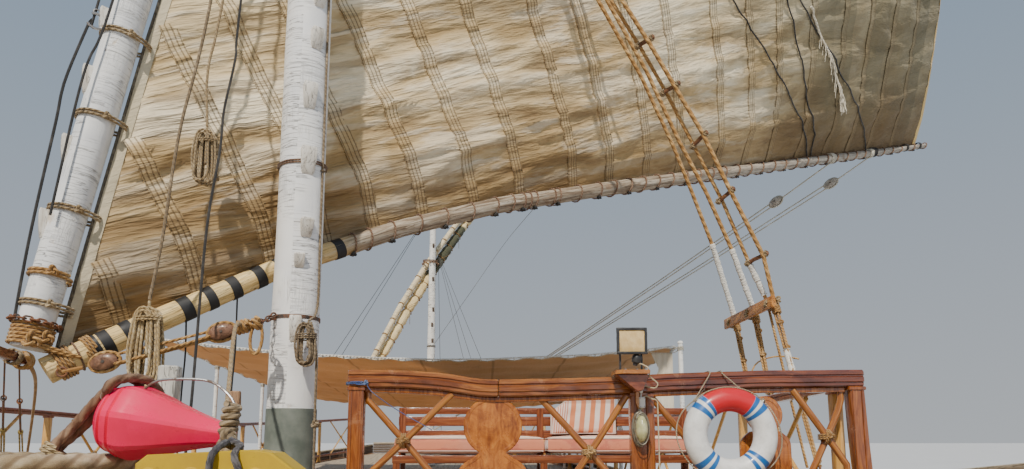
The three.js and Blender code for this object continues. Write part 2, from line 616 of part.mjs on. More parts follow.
// ---------------------------------------------------------------- shrouds and their boards
// Port ones stand a little abaft the mast. Starboard ones, to windward, are led forward of the yard and its heel.
// columns: x and y at the board, angle of the head round the mast (degrees from +X to +Y), head z
const SHROUDS = {
  port: [[2.7, 3.64, 140, 10.2], [3.17, 3.64, 105, 10.26], [3.6, 3.64, 68, 10.32]],
  starboard: [[5.95, -3.41, -90, 11.4], [6.3, -3.33, -66, 11.46], [6.65, -3.22, -42, 11.52]],
};
const SHROUD_FOOT = { port: 1.52, starboard: 1.68 };
for (const [label, rows] of Object.entries(SHROUDS)) {
  rows.forEach(([x, y, deg, z], i) => {
    const a = (deg * Math.PI) / 180;
    const r = 0.143;
    const mid = rows[1][0];
    const foot = [x + 0.05 * (x - mid), y, SHROUD_FOOT[label]];
    const head = [MAST.x + r * Math.cos(a), r * Math.sin(a), z];
    add(`shroud_${label}_${i + 1}`, spar([foot, [x, y, SHROUD_BOARD.z], head], [SHROUD_R, SHROUD_R, SHROUD_R], 6), "rope");
  });
  // the board lies just inboard of the lines and runs a little past them
  const [p, q] = [rows[0], rows[2]];
  const len = Math.hypot(q[0] - p[0], q[1] - p[1]);
  const d = [(q[0] - p[0]) / len, (q[1] - p[1]) / len];
  const inward = Math.sign(p[1]) * (SHROUD_R + SHROUD_BOARD.thick / 2 + 0.022);
  const off = [inward * d[1], -inward * d[0]];
  const end = (r, k) => [r[0] + off[0] + d[0] * k, r[1] + off[1] + d[1] * k, SHROUD_BOARD.z];
  add(`shroud_board_${label}`, bar(end(p, -0.13), end(q, 0.12), SHROUD_BOARD.thick, SHROUD_BOARD.high), "board_varnish");
}

// ---------------------------------------------------------------- foredeck: bitts, float, tack beam
{
  const x = 7.15;
  const zd = deckMax(x, 0.12) + GAP / M;
  const parts = [block([x - 0.07, 0.2, 1.55], [x + 0.07, 0.73, 1.73])];
  for (const y of [0.34, 0.6]) parts.push(block([x - 0.06, y - 0.06, zd], [x + 0.06, y + 0.06, 1.7]));
  add("bitts", union(parts), "bitts_paint");
}
{
  // long beam from the stem head aft to the yard's heel, on one post
  const a = [10.415, -0.05, 2.33];
  const b = [5.2, -1.33, 2.2];
  const f = (t) => [a[0] + (b[0] - a[0]) * t, a[1] + (b[1] - a[1]) * t, a[2] + (b[2] - a[2]) * t];
  const parts = [bar(a, b, 0.065, 0.07)];
  for (const t of [0.12, 0.66]) {
    const [x, y, z] = f(t);
    parts.push(block([x - 0.045, y - 0.045, deckMax(x, 0.06) + GAP / M], [x + 0.045, y + 0.045, z]));
  }
  add("tack_beam", union(parts), "rail_varnish");
}
{
  // float: a tapered drum lying behind the bitts, its wide end on the mooring rope
  const prof = [
    [0, -0.19], [0.05, -0.19], [0.095, -0.17], [0.118, -0.11], [0.12, -0.04], [0.108, 0.04],
    [0.07, 0.13], [0.042, 0.19], [0.036, 0.21], [0, 0.21],
  ].map(([r, z]) => new THREE.Vector2(r * M, z * M));
  const g = new THREE.LatheGeometry(prof, 16);
  g.rotateX((-8 * Math.PI) / 180);
  g.translate(6.94 * M, 0.235 * M, 1.8 * M);
  add("float", g, "float_plastic");
}

// ---------------------------------------------------------------- fittings on the front railing
{
  const ring = new THREE.TorusGeometry(0.196 * M, 0.066 * M, 10, 28);
  ring.rotateY(Math.PI / 2);
  ring.translate((RAIL_X + 0.125) * M, 2.606 * M, 1.787 * M);
  add("lifebuoy", ring, "ring_plastic");
  // shelf on the centre post, carrying the floodlight
  add("lamp_shelf", block([RAIL_X + 0.05, 1.96, 2.118], [RAIL_X + 0.22, 2.15, 2.14]), "rail_varnish");
  const zf = 2.14 + GAP / M;
  add(
    "floodlight",
    union([
      block([RAIL_X + 0.09, 1.975, zf + 0.09], [RAIL_X + 0.17, 2.149, zf + 0.24]),
      block([RAIL_X + 0.12, 1.994, zf], [RAIL_X + 0.135, 2.009, zf + 0.12]),
      block([RAIL_X + 0.12, 2.115, zf], [RAIL_X + 0.135, 2.13, zf + 0.12]),
      block([RAIL_X + 0.11, 1.98, zf], [RAIL_X + 0.145, 2.143, zf + 0.008]),
    ]),
    "lamp_metal",
  );
  const lamp = new THREE.SphereGeometry(M, 14, 8);
  lamp.scale(0.055, 0.055, 0.105);
  lamp.translate((RAIL_X + RAIL.post / 2 + 0.06) * M, 2.118 * M, 1.822 * M);
  add("bulkhead_lamp", lamp, "lamp_metal");
}

// ---------------------------------------------------------------- coiled lines
function hank(centre, wide, tall, thick, face) {
  const s = new THREE.Shape();
  const r = wide / 2;
  const N = 8;
  for (let i = 0; i <= N; i++) {
    const a = (Math.PI * i) / N;
    const x = r * Math.cos(a) * M;
    const y = (tall / 2 - r + r * Math.sin(a)) * M;
    if (i) s.lineTo(x, y);
    else s.moveTo(x, y);
  }
  for (let i = 0; i <= N; i++) {
    const a = Math.PI + (Math.PI * i) / N;
    s.lineTo(r * Math.cos(a) * M, (-tall / 2 + r + r * Math.sin(a)) * M);
  }
  const g = new THREE.ExtrudeGeometry(s, { depth: thick * M, bevelEnabled: false });
  g.translate(0, 0, (-thick / 2) * M);
  g.rotateX(Math.PI / 2);
  g.rotateZ(face);
  g.translate(centre[0] * M, centre[1] * M, centre[2] * M);
  return g;
}
add("line_hank_1", hank([5.07, -0.73, 2.31], 0.2, 0.48, 0.1, Math.PI / 2), "rope");
add("line_hank_2", hank([4.93, -0.52, 3.53], 0.16, 0.36, 0.09, Math.PI / 2), "rope");
add("line_hank_3", hank([4.83, 0.13, 2.36], 0.14, 0.27, 0.07, Math.PI / 2), "rope");
{
  const COIL = { x: 6.78, y: -0.28, inner: 0.2, outer: 0.42, high: 0.205 };
  const prof = [
    [COIL.inner, 0], [COIL.outer, 0], [COIL.outer, COIL.high - 0.03], [COIL.outer - 0.03, COIL.high],
    [COIL.inner + 0.03, COIL.high], [COIL.inner, COIL.high - 0.03], [COIL.inner, 0],
  ].map(([r, z]) => new THREE.Vector2(r * M, z * M));
  const g = new THREE.LatheGeometry(prof, 28);
  g.rotateX(Math.PI / 2);
  g.translate(COIL.x * M, COIL.y * M, (deckMax(COIL.x, COIL.outer) + GAP / M) * M);
  add("mooring_rope_coil", g, "rope");
}

export default group;
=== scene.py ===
import bpy, math, json, random
import numpy as np
from mathutils import Vector, Matrix, noise as mnoise

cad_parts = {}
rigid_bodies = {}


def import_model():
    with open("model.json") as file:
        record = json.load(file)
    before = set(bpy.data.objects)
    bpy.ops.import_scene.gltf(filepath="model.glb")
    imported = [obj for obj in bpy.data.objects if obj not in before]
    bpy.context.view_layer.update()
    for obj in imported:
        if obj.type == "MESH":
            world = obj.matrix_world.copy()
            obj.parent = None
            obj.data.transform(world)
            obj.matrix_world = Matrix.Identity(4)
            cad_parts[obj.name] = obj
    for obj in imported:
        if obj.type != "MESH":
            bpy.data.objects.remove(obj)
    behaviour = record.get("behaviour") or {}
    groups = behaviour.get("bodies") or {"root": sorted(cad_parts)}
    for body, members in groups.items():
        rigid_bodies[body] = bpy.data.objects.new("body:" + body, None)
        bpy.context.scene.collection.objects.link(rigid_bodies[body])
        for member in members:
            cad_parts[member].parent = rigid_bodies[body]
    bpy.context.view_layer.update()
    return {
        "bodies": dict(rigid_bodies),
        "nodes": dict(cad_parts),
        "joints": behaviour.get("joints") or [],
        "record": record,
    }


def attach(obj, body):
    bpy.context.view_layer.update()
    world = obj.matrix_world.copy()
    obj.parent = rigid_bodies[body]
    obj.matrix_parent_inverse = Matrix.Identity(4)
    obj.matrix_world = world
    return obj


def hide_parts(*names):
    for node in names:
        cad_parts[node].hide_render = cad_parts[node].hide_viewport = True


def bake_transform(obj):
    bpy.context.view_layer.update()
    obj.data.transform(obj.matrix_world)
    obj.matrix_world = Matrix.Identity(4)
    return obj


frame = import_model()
NODES = frame["nodes"]
ROOT, RIG, MIZ, RUD = "hull_body", "main_rig", "mizzen_rig", "rudder"
rnd = random.Random(7)

# ------------------------------------------------------------------ camera
CAM_POS = (9.2, 1.25, 1.75)
TILT, TURN = math.radians(8.2), math.radians(2.2)
cam_data = bpy.data.cameras.new("camera")
cam = bpy.data.objects.new("camera", cam_data)
bpy.context.scene.collection.objects.link(cam)
cam_data.sensor_width = 36.0
cam_data.lens = 700.0 * 36.0 / 1024.0
cam_data.clip_end = 4000.0
cam_data.clip_start = 0.02
cam_data.shift_y = (341.0 - 234.5) / 1024.0
fwd = Vector((-math.cos(TURN) * math.cos(TILT), math.sin(TURN) * math.cos(TILT), math.sin(TILT)))
cam.location = CAM_POS
cam.rotation_euler = fwd.to_track_quat("-Z", "Y").to_euler()
bpy.context.scene.camera = cam

# ------------------------------------------------------------------ the part's own tables, in metres
SECTIONS = [
    [-10.3, 1.9, 1.45, 1.35, .35, .55, -.12, -.2, -.92], [-9.0, 2.6, 1.34, 2.3, .15, 1.3, -.35, -.45, -.96],
    [-6.5, 3.25, 1.2, 3.1, .1, 2.3, -.5, -.62, -1.0], [-3.0, 3.6, 1.06, 3.52, .1, 2.8, -.58, -.7, -1.0],
    [1.0, 3.72, 1.06, 3.66, .1, 2.9, -.58, -.7, -1.0], [4.2, 3.7, 1.24, 3.6, .15, 2.75, -.55, -.68, -1.0],
    [6.2, 3.46, 1.4, 3.15, .2, 2.2, -.5, -.62, -.96], [8.0, 2.78, 1.52, 2.25, .25, 1.3, -.4, -.5, -.86],
    [9.4, 1.78, 1.64, 1.25, .35, .55, -.18, -.28, -.6], [10.3, .86, 1.74, .5, .6, .24, .15, .05, -.2],
    [10.95, .26, 1.84, .18, 1.1, .14, .85, .75, .55]]
KEEL = 0.11
def tab(x, col):
    for a, b in zip(SECTIONS, SECTIONS[1:]):
        if a[0] <= x <= b[0]:
            t = (x - a[0]) / (b[0] - a[0])
            return a[col] + t * (b[col] - a[col])
    return SECTIONS[0][col] if x < SECTIONS[0][0] else SECTIONS[-1][col]
def deck_z(x): return tab(x, 2)
def half_beam(x): return tab(x, 1)
MAST_X, MIZ_X = 4.6, -6.86
MAST_R = [(1.2, .157), (4.2, .15), (8.0, .135), (11.6, .115), (11.7, .07)]
def mast_r(z): return float(np.interp(z, [a for a, _ in MAST_R], [b for _, b in MAST_R]))
PHI = math.radians(55.3)
RU = (-math.cos(PHI), math.sin(PHI)); RN = (math.sin(PHI), math.cos(PHI))
RP = (MAST_X - .3 * RN[0], -.3 * RN[1])
def rig(s, n, z): return (RP[0] + s * RU[0] + n * RN[0], RP[1] + s * RU[1] + n * RN[1], z)
def unrig(p):
    dx, dy = p[0] - RP[0], p[1] - RP[1]
    return (dx * RU[0] + dy * RU[1], dx * RN[0] + dy * RN[1], p[2])
YARD = [[-1.425, 2.275, .09], [-1.36, 2.65, .096], [-1.05, 4.57, .108], [-.58, 7.5, .11], [.03, 11.05, .105],
        [.78, 14.6, .092], [1.75, 18.0, .07], [2.75, 20.85, .045]]
BOOM = [[-1.33, 2.15, .07], [-.92, 2.41, .068], [-.03, 2.95, .062], [.9, 3.41, .06], [1.88, 3.81, .06],
        [3.1, 4.22, .06], [4.68, 4.74, .058], [6.79, 5.42, .052], [8.83, 6.08, .045], [10.69, 6.69, .03]]
def col(T, i): return [r[i] for r in T]
def ext(T, xcol, ycol, x):
    xs, ys = col(T, xcol), col(T, ycol)
    if x < xs[0]: return ys[0] + (x - xs[0]) * (ys[1] - ys[0]) / (xs[1] - xs[0])
    if x > xs[-1]: return ys[-1] + (x - xs[-1]) * (ys[-1] - ys[-2]) / (xs[-1] - xs[-2])
    return float(np.interp(x, xs, ys))
def yard_s(z): return ext(YARD, 1, 0, z)
def yard_r(z): return ext(YARD, 1, 2, z)
def boom_z(s): return ext(BOOM, 0, 1, s)
def boom_r(s): return max(.02, ext(BOOM, 0, 2, s))
def foot_z(s): return boom_z(s) + boom_r(s) * 1.12 + .035
SAIL = dict(tackS=-1.26, clewS=10.42, peakZ=20.45, half=.01, bulge=2.0, camber=.62)
def sail_point(u, v):
    z0 = foot_z(SAIL["tackS"]) + .06
    zL = z0 + v * (SAIL["peakZ"] - z0)
    sL = yard_s(zL) + yard_r(zL) * 1.05 + .04
    zC = foot_z(SAIL["clewS"])
    peakS = yard_s(SAIL["peakZ"]) + yard_r(SAIL["peakZ"]) + .16
    sR = SAIL["clewS"] + v * (peakS - SAIL["clewS"])
    zR = zC + v * (SAIL["peakZ"] - .05 - zC)
    s = sL + u * (sR - sL)
    z = zL + u * (zR - zL)
    s0 = yard_s(z0) + yard_r(z0) * 1.05 + .04
    sF = s0 + u * (SAIL["clewS"] - s0)
    z += (foot_z(sF) - (z0 + u * (zC - z0))) * (1 - v) ** 3
    MS = .1
    rise = math.sin(min(1, v / .22) * math.pi / 2)
    if s <= MS:
        n = .05 * rise * max(0, (s - sL) / max(.05, MS - sL))
    else:
        st = max(sL, MS)
        w = (s - st) / max(.05, sR - st)
        n = .05 * rise * (1 - w) * (1 if sL < MS else 0) + SAIL["bulge"] * 4 * v * (1 - v) * w ** 1.55 \
            + SAIL["camber"] * 5.38 * w ** 1.5 * (1 - w) * rise * (1 - v) ** .7
    return s, n, z
MYARD = [[-1.6, 3.15, .055, .1], [-.72, 4.8, .065, .135], [.02, 5.95, .068, .14], [.9, 7.15, .062, .12],
         [2.2, 8.8, .05, .09], [3.4, 10.2, .036, .06]]
MU = (-.626, .78); MN = (.78, .626)
def miz(s, n, z): return (MIZ_X - .17 + s * MU[0] + n * MN[0], -.137 + s * MU[1] + n * MN[1], z)
def awn_z(x, y, edge=0.0):
    t = (.6 - x) / 6.5
    return 2.735 - .28 * t + .19 * ((y - .7) / 3.1) ** 2 + edge * math.cos(6 * math.pi * t)
RX = 5.22

# ------------------------------------------------------------------ node materials
class Mat:
    def __init__(s, name, rough=.6, metal=0.0, spec=.5, sheen=0.0, coat=0.0, coat_rough=.15):
        s.m = bpy.data.materials.new(name)
        s.m.use_nodes = True
        s.t = s.m.node_tree
        s.t.nodes.clear()
        s.out = s.t.nodes.new("ShaderNodeOutputMaterial")
        s.b = s.t.nodes.new("ShaderNodeBsdfPrincipled")
        s.t.links.new(s.b.outputs[0], s.out.inputs[0])
        s.b.inputs["Roughness"].default_value = rough
        s.b.inputs["Metallic"].default_value = metal
        s.b.inputs["Specular IOR Level"].default_value = spec
        if sheen:
            s.b.inputs["Sheen Weight"].default_value = sheen
            s.b.inputs["Sheen Roughness"].default_value = .4
        if coat:
            s.b.inputs["Coat Weight"].default_value = coat
            s.b.inputs["Coat Roughness"].default_value = coat_rough
    def n(s, kind, **kw):
        q = s.t.nodes.new(kind)
        for k, v in kw.items(): setattr(q, k, v)
        return q
    def put(s, sock, val):
        if isinstance(val, bpy.types.NodeSocket): s.t.links.new(val, sock)
        elif isinstance(val, (tuple, list)) and len(val) == 3 and sock.type == "RGBA": sock.default_value = (*val, 1)
        else: sock.default_value = val
    def co(s, kind="UV", scale=(1, 1, 1), rot=(0, 0, 0), loc=(0, 0, 0)):
        c = s.n("ShaderNodeTexCoord")
        mp = s.n("ShaderNodeMapping")
        mp.inputs["Scale"].default_value = scale
        mp.inputs["Rotation"].default_value = rot
        mp.inputs["Location"].default_value = loc
        s.t.links.new(c.outputs[kind], mp.inputs[0])
        return mp.outputs[0]
    def noise(s, vec, scale=5, detail=4, rough=.55, dist=0.0, lac=2.0):
        q = s.n("ShaderNodeTexNoise")
        s.put(q.inputs["Vector"], vec)
        for k, v in (("Scale", scale), ("Detail", detail), ("Roughness", rough), ("Distortion", dist), ("Lacunarity", lac)):
            q.inputs[k].default_value = v
        return q.outputs["Fac"]
    def vor(s, vec, scale=5, feature="F1", out="Distance", rand=1.0):
        q = s.n("ShaderNodeTexVoronoi", feature=feature)
        s.put(q.inputs["Vector"], vec)
        q.inputs["Scale"].default_value = scale
        q.inputs["Randomness"].default_value = rand
        return q.outputs[out]
    def wave(s, vec, scale=5, dist=0.0, detail=2, dscale=1.0, direction="X", profile="SIN", kind="BANDS"):
        q = s.n("ShaderNodeTexWave", wave_type=kind, wave_profile=profile)
        if kind == "BANDS": q.bands_direction = direction
        s.put(q.inputs["Vector"], vec)
        for k, v in (("Scale", scale), ("Distortion", dist), ("Detail", detail), ("Detail Scale", dscale)):
            q.inputs[k].default_value = v
        return q.outputs["Fac"]
    def ramp(s, fac, stops, interp="LINEAR"):
        q = s.n("ShaderNodeValToRGB")
        q.color_ramp.interpolation = interp
        e = q.color_ramp.elements
        while len(e) < len(stops): e.new(.5)
        for el, (p, c) in zip(e, stops):
            el.position = p
            el.color = (c, c, c, 1) if isinstance(c, (int, float)) else (*c, 1)
        s.put(q.inputs[0], fac)
        return q.outputs[0]
    def mix(s, fac, a, b, mode="MIX"):
        q = s.n("ShaderNodeMix", data_type="RGBA", blend_type=mode)
        s.put(q.inputs["Factor"], fac)
        s.put(q.inputs[6], a); s.put(q.inputs[7], b)
        return q.outputs[2]
    def mth(s, op, a, b=0.0, c=0.0):
        q = s.n("ShaderNodeMath", operation=op)
        s.put(q.inputs[0], a); s.put(q.inputs[1], b)
        if op in ("SMOOTHSTEP", "MULTIPLY_ADD"): s.put(q.inputs[2], c)
        return q.outputs[0]
    def rng(s, v, a, b, c=0.0, d=1.0, smooth=True):
        q = s.n("ShaderNodeMapRange", interpolation_type="SMOOTHSTEP" if smooth else "LINEAR")
        s.put(q.inputs[0], v)
        for i, x in enumerate((a, b, c, d)): q.inputs[1 + i].default_value = x
        return q.outputs[0]
    def sep(s, vec, axis):
        q = s.n("ShaderNodeSeparateXYZ")
        s.put(q.inputs[0], vec)
        return q.outputs[axis]
    def comb(s, x, y, z=0.0):
        q = s.n("ShaderNodeCombineXYZ")
        for i, v in enumerate((x, y, z)): s.put(q.inputs[i], v)
        return q.outputs[0]
    def bump(s, h, strength=.5, dist=.01, normal=None):
        q = s.n("ShaderNodeBump")
        q.inputs["Strength"].default_value = strength
        q.inputs["Distance"].default_value = dist
        s.put(q.inputs["Height"], h)
        if normal is not None: s.t.links.new(normal, q.inputs["Normal"])
        return q.outputs[0]
    def done(s, color=None, rough=None, normal=None):
        if color is not None: s.put(s.b.inputs["Base Color"], color)
        if rough is not None: s.put(s.b.inputs["Roughness"], rough)
        if normal is not None: s.t.links.new(normal, s.b.inputs["Normal"])
        return s.m

MATS = {}
def mat(name):
    return MATS[name]

def make_white_paint(name, base=(.74, .75, .76), kind="UV", crack=1.0, bare=.5, hue=(.66, .68, .72)):
    """brushed white paint on round timber, cracked along and across the grain, with bare tan spots"""
    q = Mat(name, rough=.55, spec=.35)
    v = q.co(kind)
    along = q.co(kind, scale=(9, 1.3, 1) if kind == "UV" else (9, 9, 1.3))
    tone = q.noise(v, 3.0, 5, .6)
    c = q.mix(q.rng(tone, .3, .7), base, hue)
    streak = q.noise(along, 3.0, 6, .65, .4)
    c = q.mix(q.rng(streak, .58, .8, 0, .38), c, (.60, .56, .48))
    # grain checks along the timber
    chk = q.noise(q.co(kind, scale=(26, .9, 1) if kind == "UV" else (26, 26, .9)), 2.2, 3, .5, 1.2)
    chk_m = q.rng(q.mth("ABSOLUTE", q.mth("SUBTRACT", chk, .5)), .004, .022, 1, 0)
    keep = q.rng(q.noise(v, 2.1, 2, .5), .5, .62)
    chk_m = q.mth("MULTIPLY", q.mth("MULTIPLY", chk_m, keep), .35)
    # rings of fine cracks across
    ring = q.noise(q.co(kind, scale=(1.2, 17, 1) if kind == "UV" else (1.2, 1.2, 17)), 2.0, 3, .55, .35)
    ring_m = q.rng(q.mth("ABSOLUTE", q.mth("SUBTRACT", ring, .5)), .003, .018, 1, 0)
    ring_m = q.mth("MULTIPLY", ring_m, q.rng(q.noise(v, 1.6, 2, .5), .42, .56))
    cr = q.mth("MAXIMUM", chk_m, ring_m)
    c = q.mix(q.mth("MULTIPLY", cr, .85 * crack), c, (.13, .11, .09))
    # bare wood and dents
    spot = q.rng(q.vor(v, 7.5, rand=1.0), .05, .11, 1, 0)
    spot = q.mth("MULTIPLY", spot, q.rng(q.noise(v, 5.0, 2), .52, .6))
    c = q.mix(q.mth("MULTIPLY", spot, .8), c, (.2, .16, .13))
    patch = q.rng(q.noise(q.co(kind, scale=(2.2, 1, 1) if kind == "UV" else (2.2, 2.2, 1), loc=(3, 7, 1)), 2.6, 6, .7, .3), .66 - .08 * bare, .70)
    c = q.mix(q.mth("MULTIPLY", patch, bare), c, (.50, .37, .22))
    h = q.mth("SUBTRACT", q.mth("MULTIPLY", streak, .35), q.mth("ADD", q.mth("MULTIPLY", cr, .9), q.mth("MULTIPLY", spot, .6)))
    h = q.mth("SUBTRACT", h, q.mth("MULTIPLY", patch, .35))
    nrm = q.bump(h, .8, .006)
    nrm = q.bump(q.noise(v, 40, 4, .6), .25, .003, nrm)
    return q.done(c, q.rng(streak, .3, .7, .42, .68), nrm)

def make_varnish(name, dark=(.085, .020, .008), mid=(.25, .066, .018), light=(.50, .185, .050), kind="UV", coat=.55, scale=(30, 1.6, 1)):
    q = Mat(name, rough=.32, spec=.5, coat=coat, coat_rough=.12)
    v = q.co(kind, scale=scale)
    g = q.noise(v, 2.2, 8, .62, .9)
    fine = q.noise(q.co(kind, scale=tuple(x * 5 if x > 5 else x for x in scale)), 3.0, 6, .6)
    c = q.ramp(g, [(.25, dark), (.48, mid), (.72, light)])
    c = q.mix(q.rng(fine, .45, .75, 0, .5), c, dark)
    worn = q.rng(q.noise(q.co(kind), 6.0, 6, .7), .56, .72)
    c = q.mix(q.mth("MULTIPLY", worn, .30), c, (.50, .25, .11))
    nrm = q.bump(q.mth("ADD", g, q.mth("MULTIPLY", fine, .5)), .35, .004)
    return q.done(c, q.rng(worn, 0, 1, .2, .5), nrm)

def make_board(name):
    """figured orange varnished boards"""
    q = Mat(name, rough=.25, spec=.5, coat=.7, coat_rough=.1)
    v = q.co("Object", scale=(1, 1.0, .22))
    swirl = q.noise(v, 26.0, 7, .6, 1.2)
    burl = q.noise(q.co("Object"), 10.0, 7, .68, 1.2)
    c = q.ramp(q.mth("ADD", q.mth("MULTIPLY", swirl, .50), q.mth("MULTIPLY", burl, .50)), [(.28, (.085, .020, .006)), (.42, (.23, .062, .012)), (.54, (.43, .140, .022)), (.70, (.60, .25, .045))])
    dark = q.rng(q.noise(q.co("Object"), 16, 6, .7), .56, .72)
    c = q.mix(q.mth("MULTIPLY", dark, .55), c, (.11, .03, .012))
    nrm = q.bump(burl, .25, .003)
    return q.done(c, q.rng(burl, .3, .7, .16, .34), nrm)

def make_rope(name, base=(.50, .36, .19), dark=(.20, .13, .07), light=(.70, .56, .34), pitch=9.0, strands=True, rough=.85):
    """laid rope: slanting strands and loose fibre; UV is turns round, metres along over the radius"""
    q = Mat(name, rough=rough, spec=.2, sheen=.25)
    u = q.co("UV")
    lay = q.wave(q.co("UV", scale=(3, 3.0 / pitch, 1)), .5, 0.0, 0, 1, "DIAGONAL")
    fib = q.noise(q.co("UV", scale=(14, 3.2, 1), rot=(0, 0, .5)), 6.0, 5, .7)
    big = q.noise(q.co("Object"), 9.0, 4, .6)
    c = q.mix(q.rng(fib, .3, .75), dark, base)
    c = q.mix(q.rng(big, .45, .75, 0, .65), c, light)
    nrm = None
    if strands:
        # painted shade in the grooves between the strands
        c = q.mix(q.rng(lay, 0.0, .35, .7, 0), c, dark)
        nrm = q.bump(lay, .8, .006)
        nrm = q.bump(fib, .5, .003, nrm)
    else:
        nrm = q.bump(fib, .6, .003)
    return q.done(c, None, nrm)

def make_plain_wood(name, c0, c1, c2, kind="UV", scale=(22, 1.3, 1), rough=.7, bump=.5, coat=0.0):
    q = Mat(name, rough=rough, spec=.3, coat=coat)
    v = q.co(kind, scale=scale)
    g = q.noise(v, 2.0, 8, .65, .8)
    c = q.ramp(g, [(.25, c0), (.5, c1), (.75, c2)])
    d = q.rng(q.noise(q.co(kind), 4.0, 5, .65), .5, .75)
    c = q.mix(q.mth("MULTIPLY", d, .5), c, c0)
    chk = q.rng(q.mth("ABSOLUTE", q.mth("SUBTRACT", q.noise(q.co(kind, scale=tuple(x * 1.5 for x in scale)), 1.3, 3, .5, 1.0), .5)), .003, .02, 1, 0)
    c = q.mix(q.mth("MULTIPLY", chk, .6), c, tuple(x * .25 for x in c0))
    nrm = q.bump(q.mth("SUBTRACT", g, q.mth("MULTIPLY", chk, .8)), bump, .004)
    return q.done(c, q.rng(d, 0, 1, rough - .12, min(1, rough + .12)), nrm)

def make_paint(name, base, worn, under, rough=.45, kind="Object", amount=.5, scale=5.0, coat=0.0):
    q = Mat(name, rough=rough, spec=.45, coat=coat)
    v = q.co(kind)
    tone = q.noise(v, scale, 5, .6)
    c = q.mix(q.rng(tone, .3, .72), base, worn)
    chip = q.rng(q.noise(v, scale * 3.1, 7, .75, .4), .68 - .06 * amount, .70 - .05 * amount)
    chip = q.mth("MULTIPLY", chip, q.rng(q.noise(v, scale * .9, 2), .45, .6))
    c = q.mix(q.mth("MULTIPLY", chip, amount), c, under)
    h = q.mth("SUBTRACT", q.mth("MULTIPLY", q.noise(v, scale * 9, 4, .6), .35), chip)
    return q.done(c, q.rng(tone, .3, .7, max(.05, rough - .12), min(1, rough + .15)), q.bump(h, .5, .003))

def make_metal(name, base, rust, rough=.5, metal=.7, scale=18.0, amount=.6):
    q = Mat(name, rough=rough, metal=metal, spec=.5)
    v = q.co("Object")
    r = q.noise(v, scale, 8, .72, .4)
    m = q.rng(r, .6 - .25 * amount, .68 - .15 * amount)
    c = q.mix(m, base, rust)
    q.t.links.new(q.rng(m, 0, 1, metal, metal * .2), q.b.inputs["Metallic"])
    return q.done(c, q.rng(m, 0, 1, rough, .85), q.bump(r, .5, .002))

def make_cloth(name, base, shade, kind="UV", weave=420.0, rough=.85, stain=(.45, .33, .2), stain_amt=.35, wrinkle=.5, wscale=(6, 1.2, 1), sheen=.25):
    q = Mat(name, rough=rough, spec=.2, sheen=sheen)
    v = q.co(kind)
    tone = q.noise(v, 1.1, 6, .6)
    c = q.mix(q.rng(tone, .3, .72), base, shade)
    st = q.rng(q.noise(q.co(kind, loc=(4, 2, 0)), 2.3, 7, .7, .6), .56, .8)
    c = q.mix(q.mth("MULTIPLY", st, stain_amt), c, stain)
    w1 = q.wave(v, weave, .6, 1, 4, "X")
    w2 = q.wave(v, weave, .6, 1, 4, "Y")
    wv = q.mth("ADD", w1, w2)
    wr = q.noise(q.co(kind, scale=wscale), 3.0, 5, .6, .7)
    c = q.mix(q.rng(wr, .35, .75, 0, .22), c, shade)
    nrm = q.bump(wr, wrinkle, .02)
    nrm = q.bump(wv, .15, .001, nrm)
    return q.done(c, None, nrm)

# ------------------------------------------------------------------ mesh helpers
def V3(p): return np.array(p, float)
def unit(v):
    v = np.array(v, float)
    return v / max(1e-12, np.linalg.norm(v))
def frames(P, up=None, closed=False):
    P = np.asarray(P, float)
    n = len(P)
    d = np.diff(P, axis=0)
    L = np.concatenate([[0], np.cumsum(np.linalg.norm(d, axis=1))])
    T = np.zeros_like(P)
    if closed:
        T = np.roll(P, -1, 0) - np.roll(P, 1, 0)
    else:
        T[1:-1] = P[2:] - P[:-2]
        T[0] = P[1] - P[0]; T[-1] = P[-1] - P[-2]
    T /= np.maximum(1e-12, np.linalg.norm(T, axis=1))[:, None]
    N = np.zeros_like(P)
    u = np.array(up, float) if up is not None else (np.array([0, 0, 1.0]) if abs(T[0][2]) < .9 else np.array([1.0, 0, 0]))
    for i in range(n):
        u = u - T[i] * np.dot(u, T[i])
        l = np.linalg.norm(u)
        if l < 1e-9:
            u = np.cross(T[i], [0.3, 0.7, 0.5]); l = np.linalg.norm(u)
        u = u / l
        N[i] = u
    return P, T, N, np.cross(T, N), L

CAM_F = np.array(fwd); CAM_R = np.cross(CAM_F, [0, 0, 1.0]); CAM_R /= np.linalg.norm(CAM_R); CAM_U = np.cross(CAM_R, CAM_F)
def px_per_m(P):
    """picture pixels per metre at the nearest point of P that lies in the picture, low outside it"""
    D = np.atleast_2d(np.asarray(P, float)) - np.array(CAM_POS)
    d = np.maximum(.05, D @ CAM_F)
    x = 700.0 * (D @ CAM_R) / d; y = 700.0 * (D @ CAM_U) / d
    seen = (D @ CAM_F > .3) & (np.abs(x) < 570) & (y > -190) & (y < 400)
    return 700.0 / float(d[seen].min()) if seen.any() else 25.0
def thinned(P, tol):
    """the path without the points that lie within tol of the line between their neighbours"""
    P = np.asarray(P, float)
    if len(P) < 4: return P
    keep = np.zeros(len(P), bool); keep[0] = keep[-1] = True
    mid = len(P) // 2; keep[mid] = True
    stack = [(0, mid), (mid, len(P) - 1)]
    while stack:
        a, b = stack.pop()
        if b - a < 2: continue
        Q = P[a + 1:b]; d = P[b] - P[a]; L = float(np.dot(d, d))
        w = Q - P[a]
        k = np.clip((w @ d) / L, 0, 1) if L > 1e-12 else np.zeros(len(Q))
        e = np.linalg.norm(w - k[:, None] * d, axis=1)
        i = int(np.argmax(e))
        if e[i] > tol:
            m = a + 1 + i; keep[m] = True
            stack += [(a, m), (m, b)]
    return P[keep]

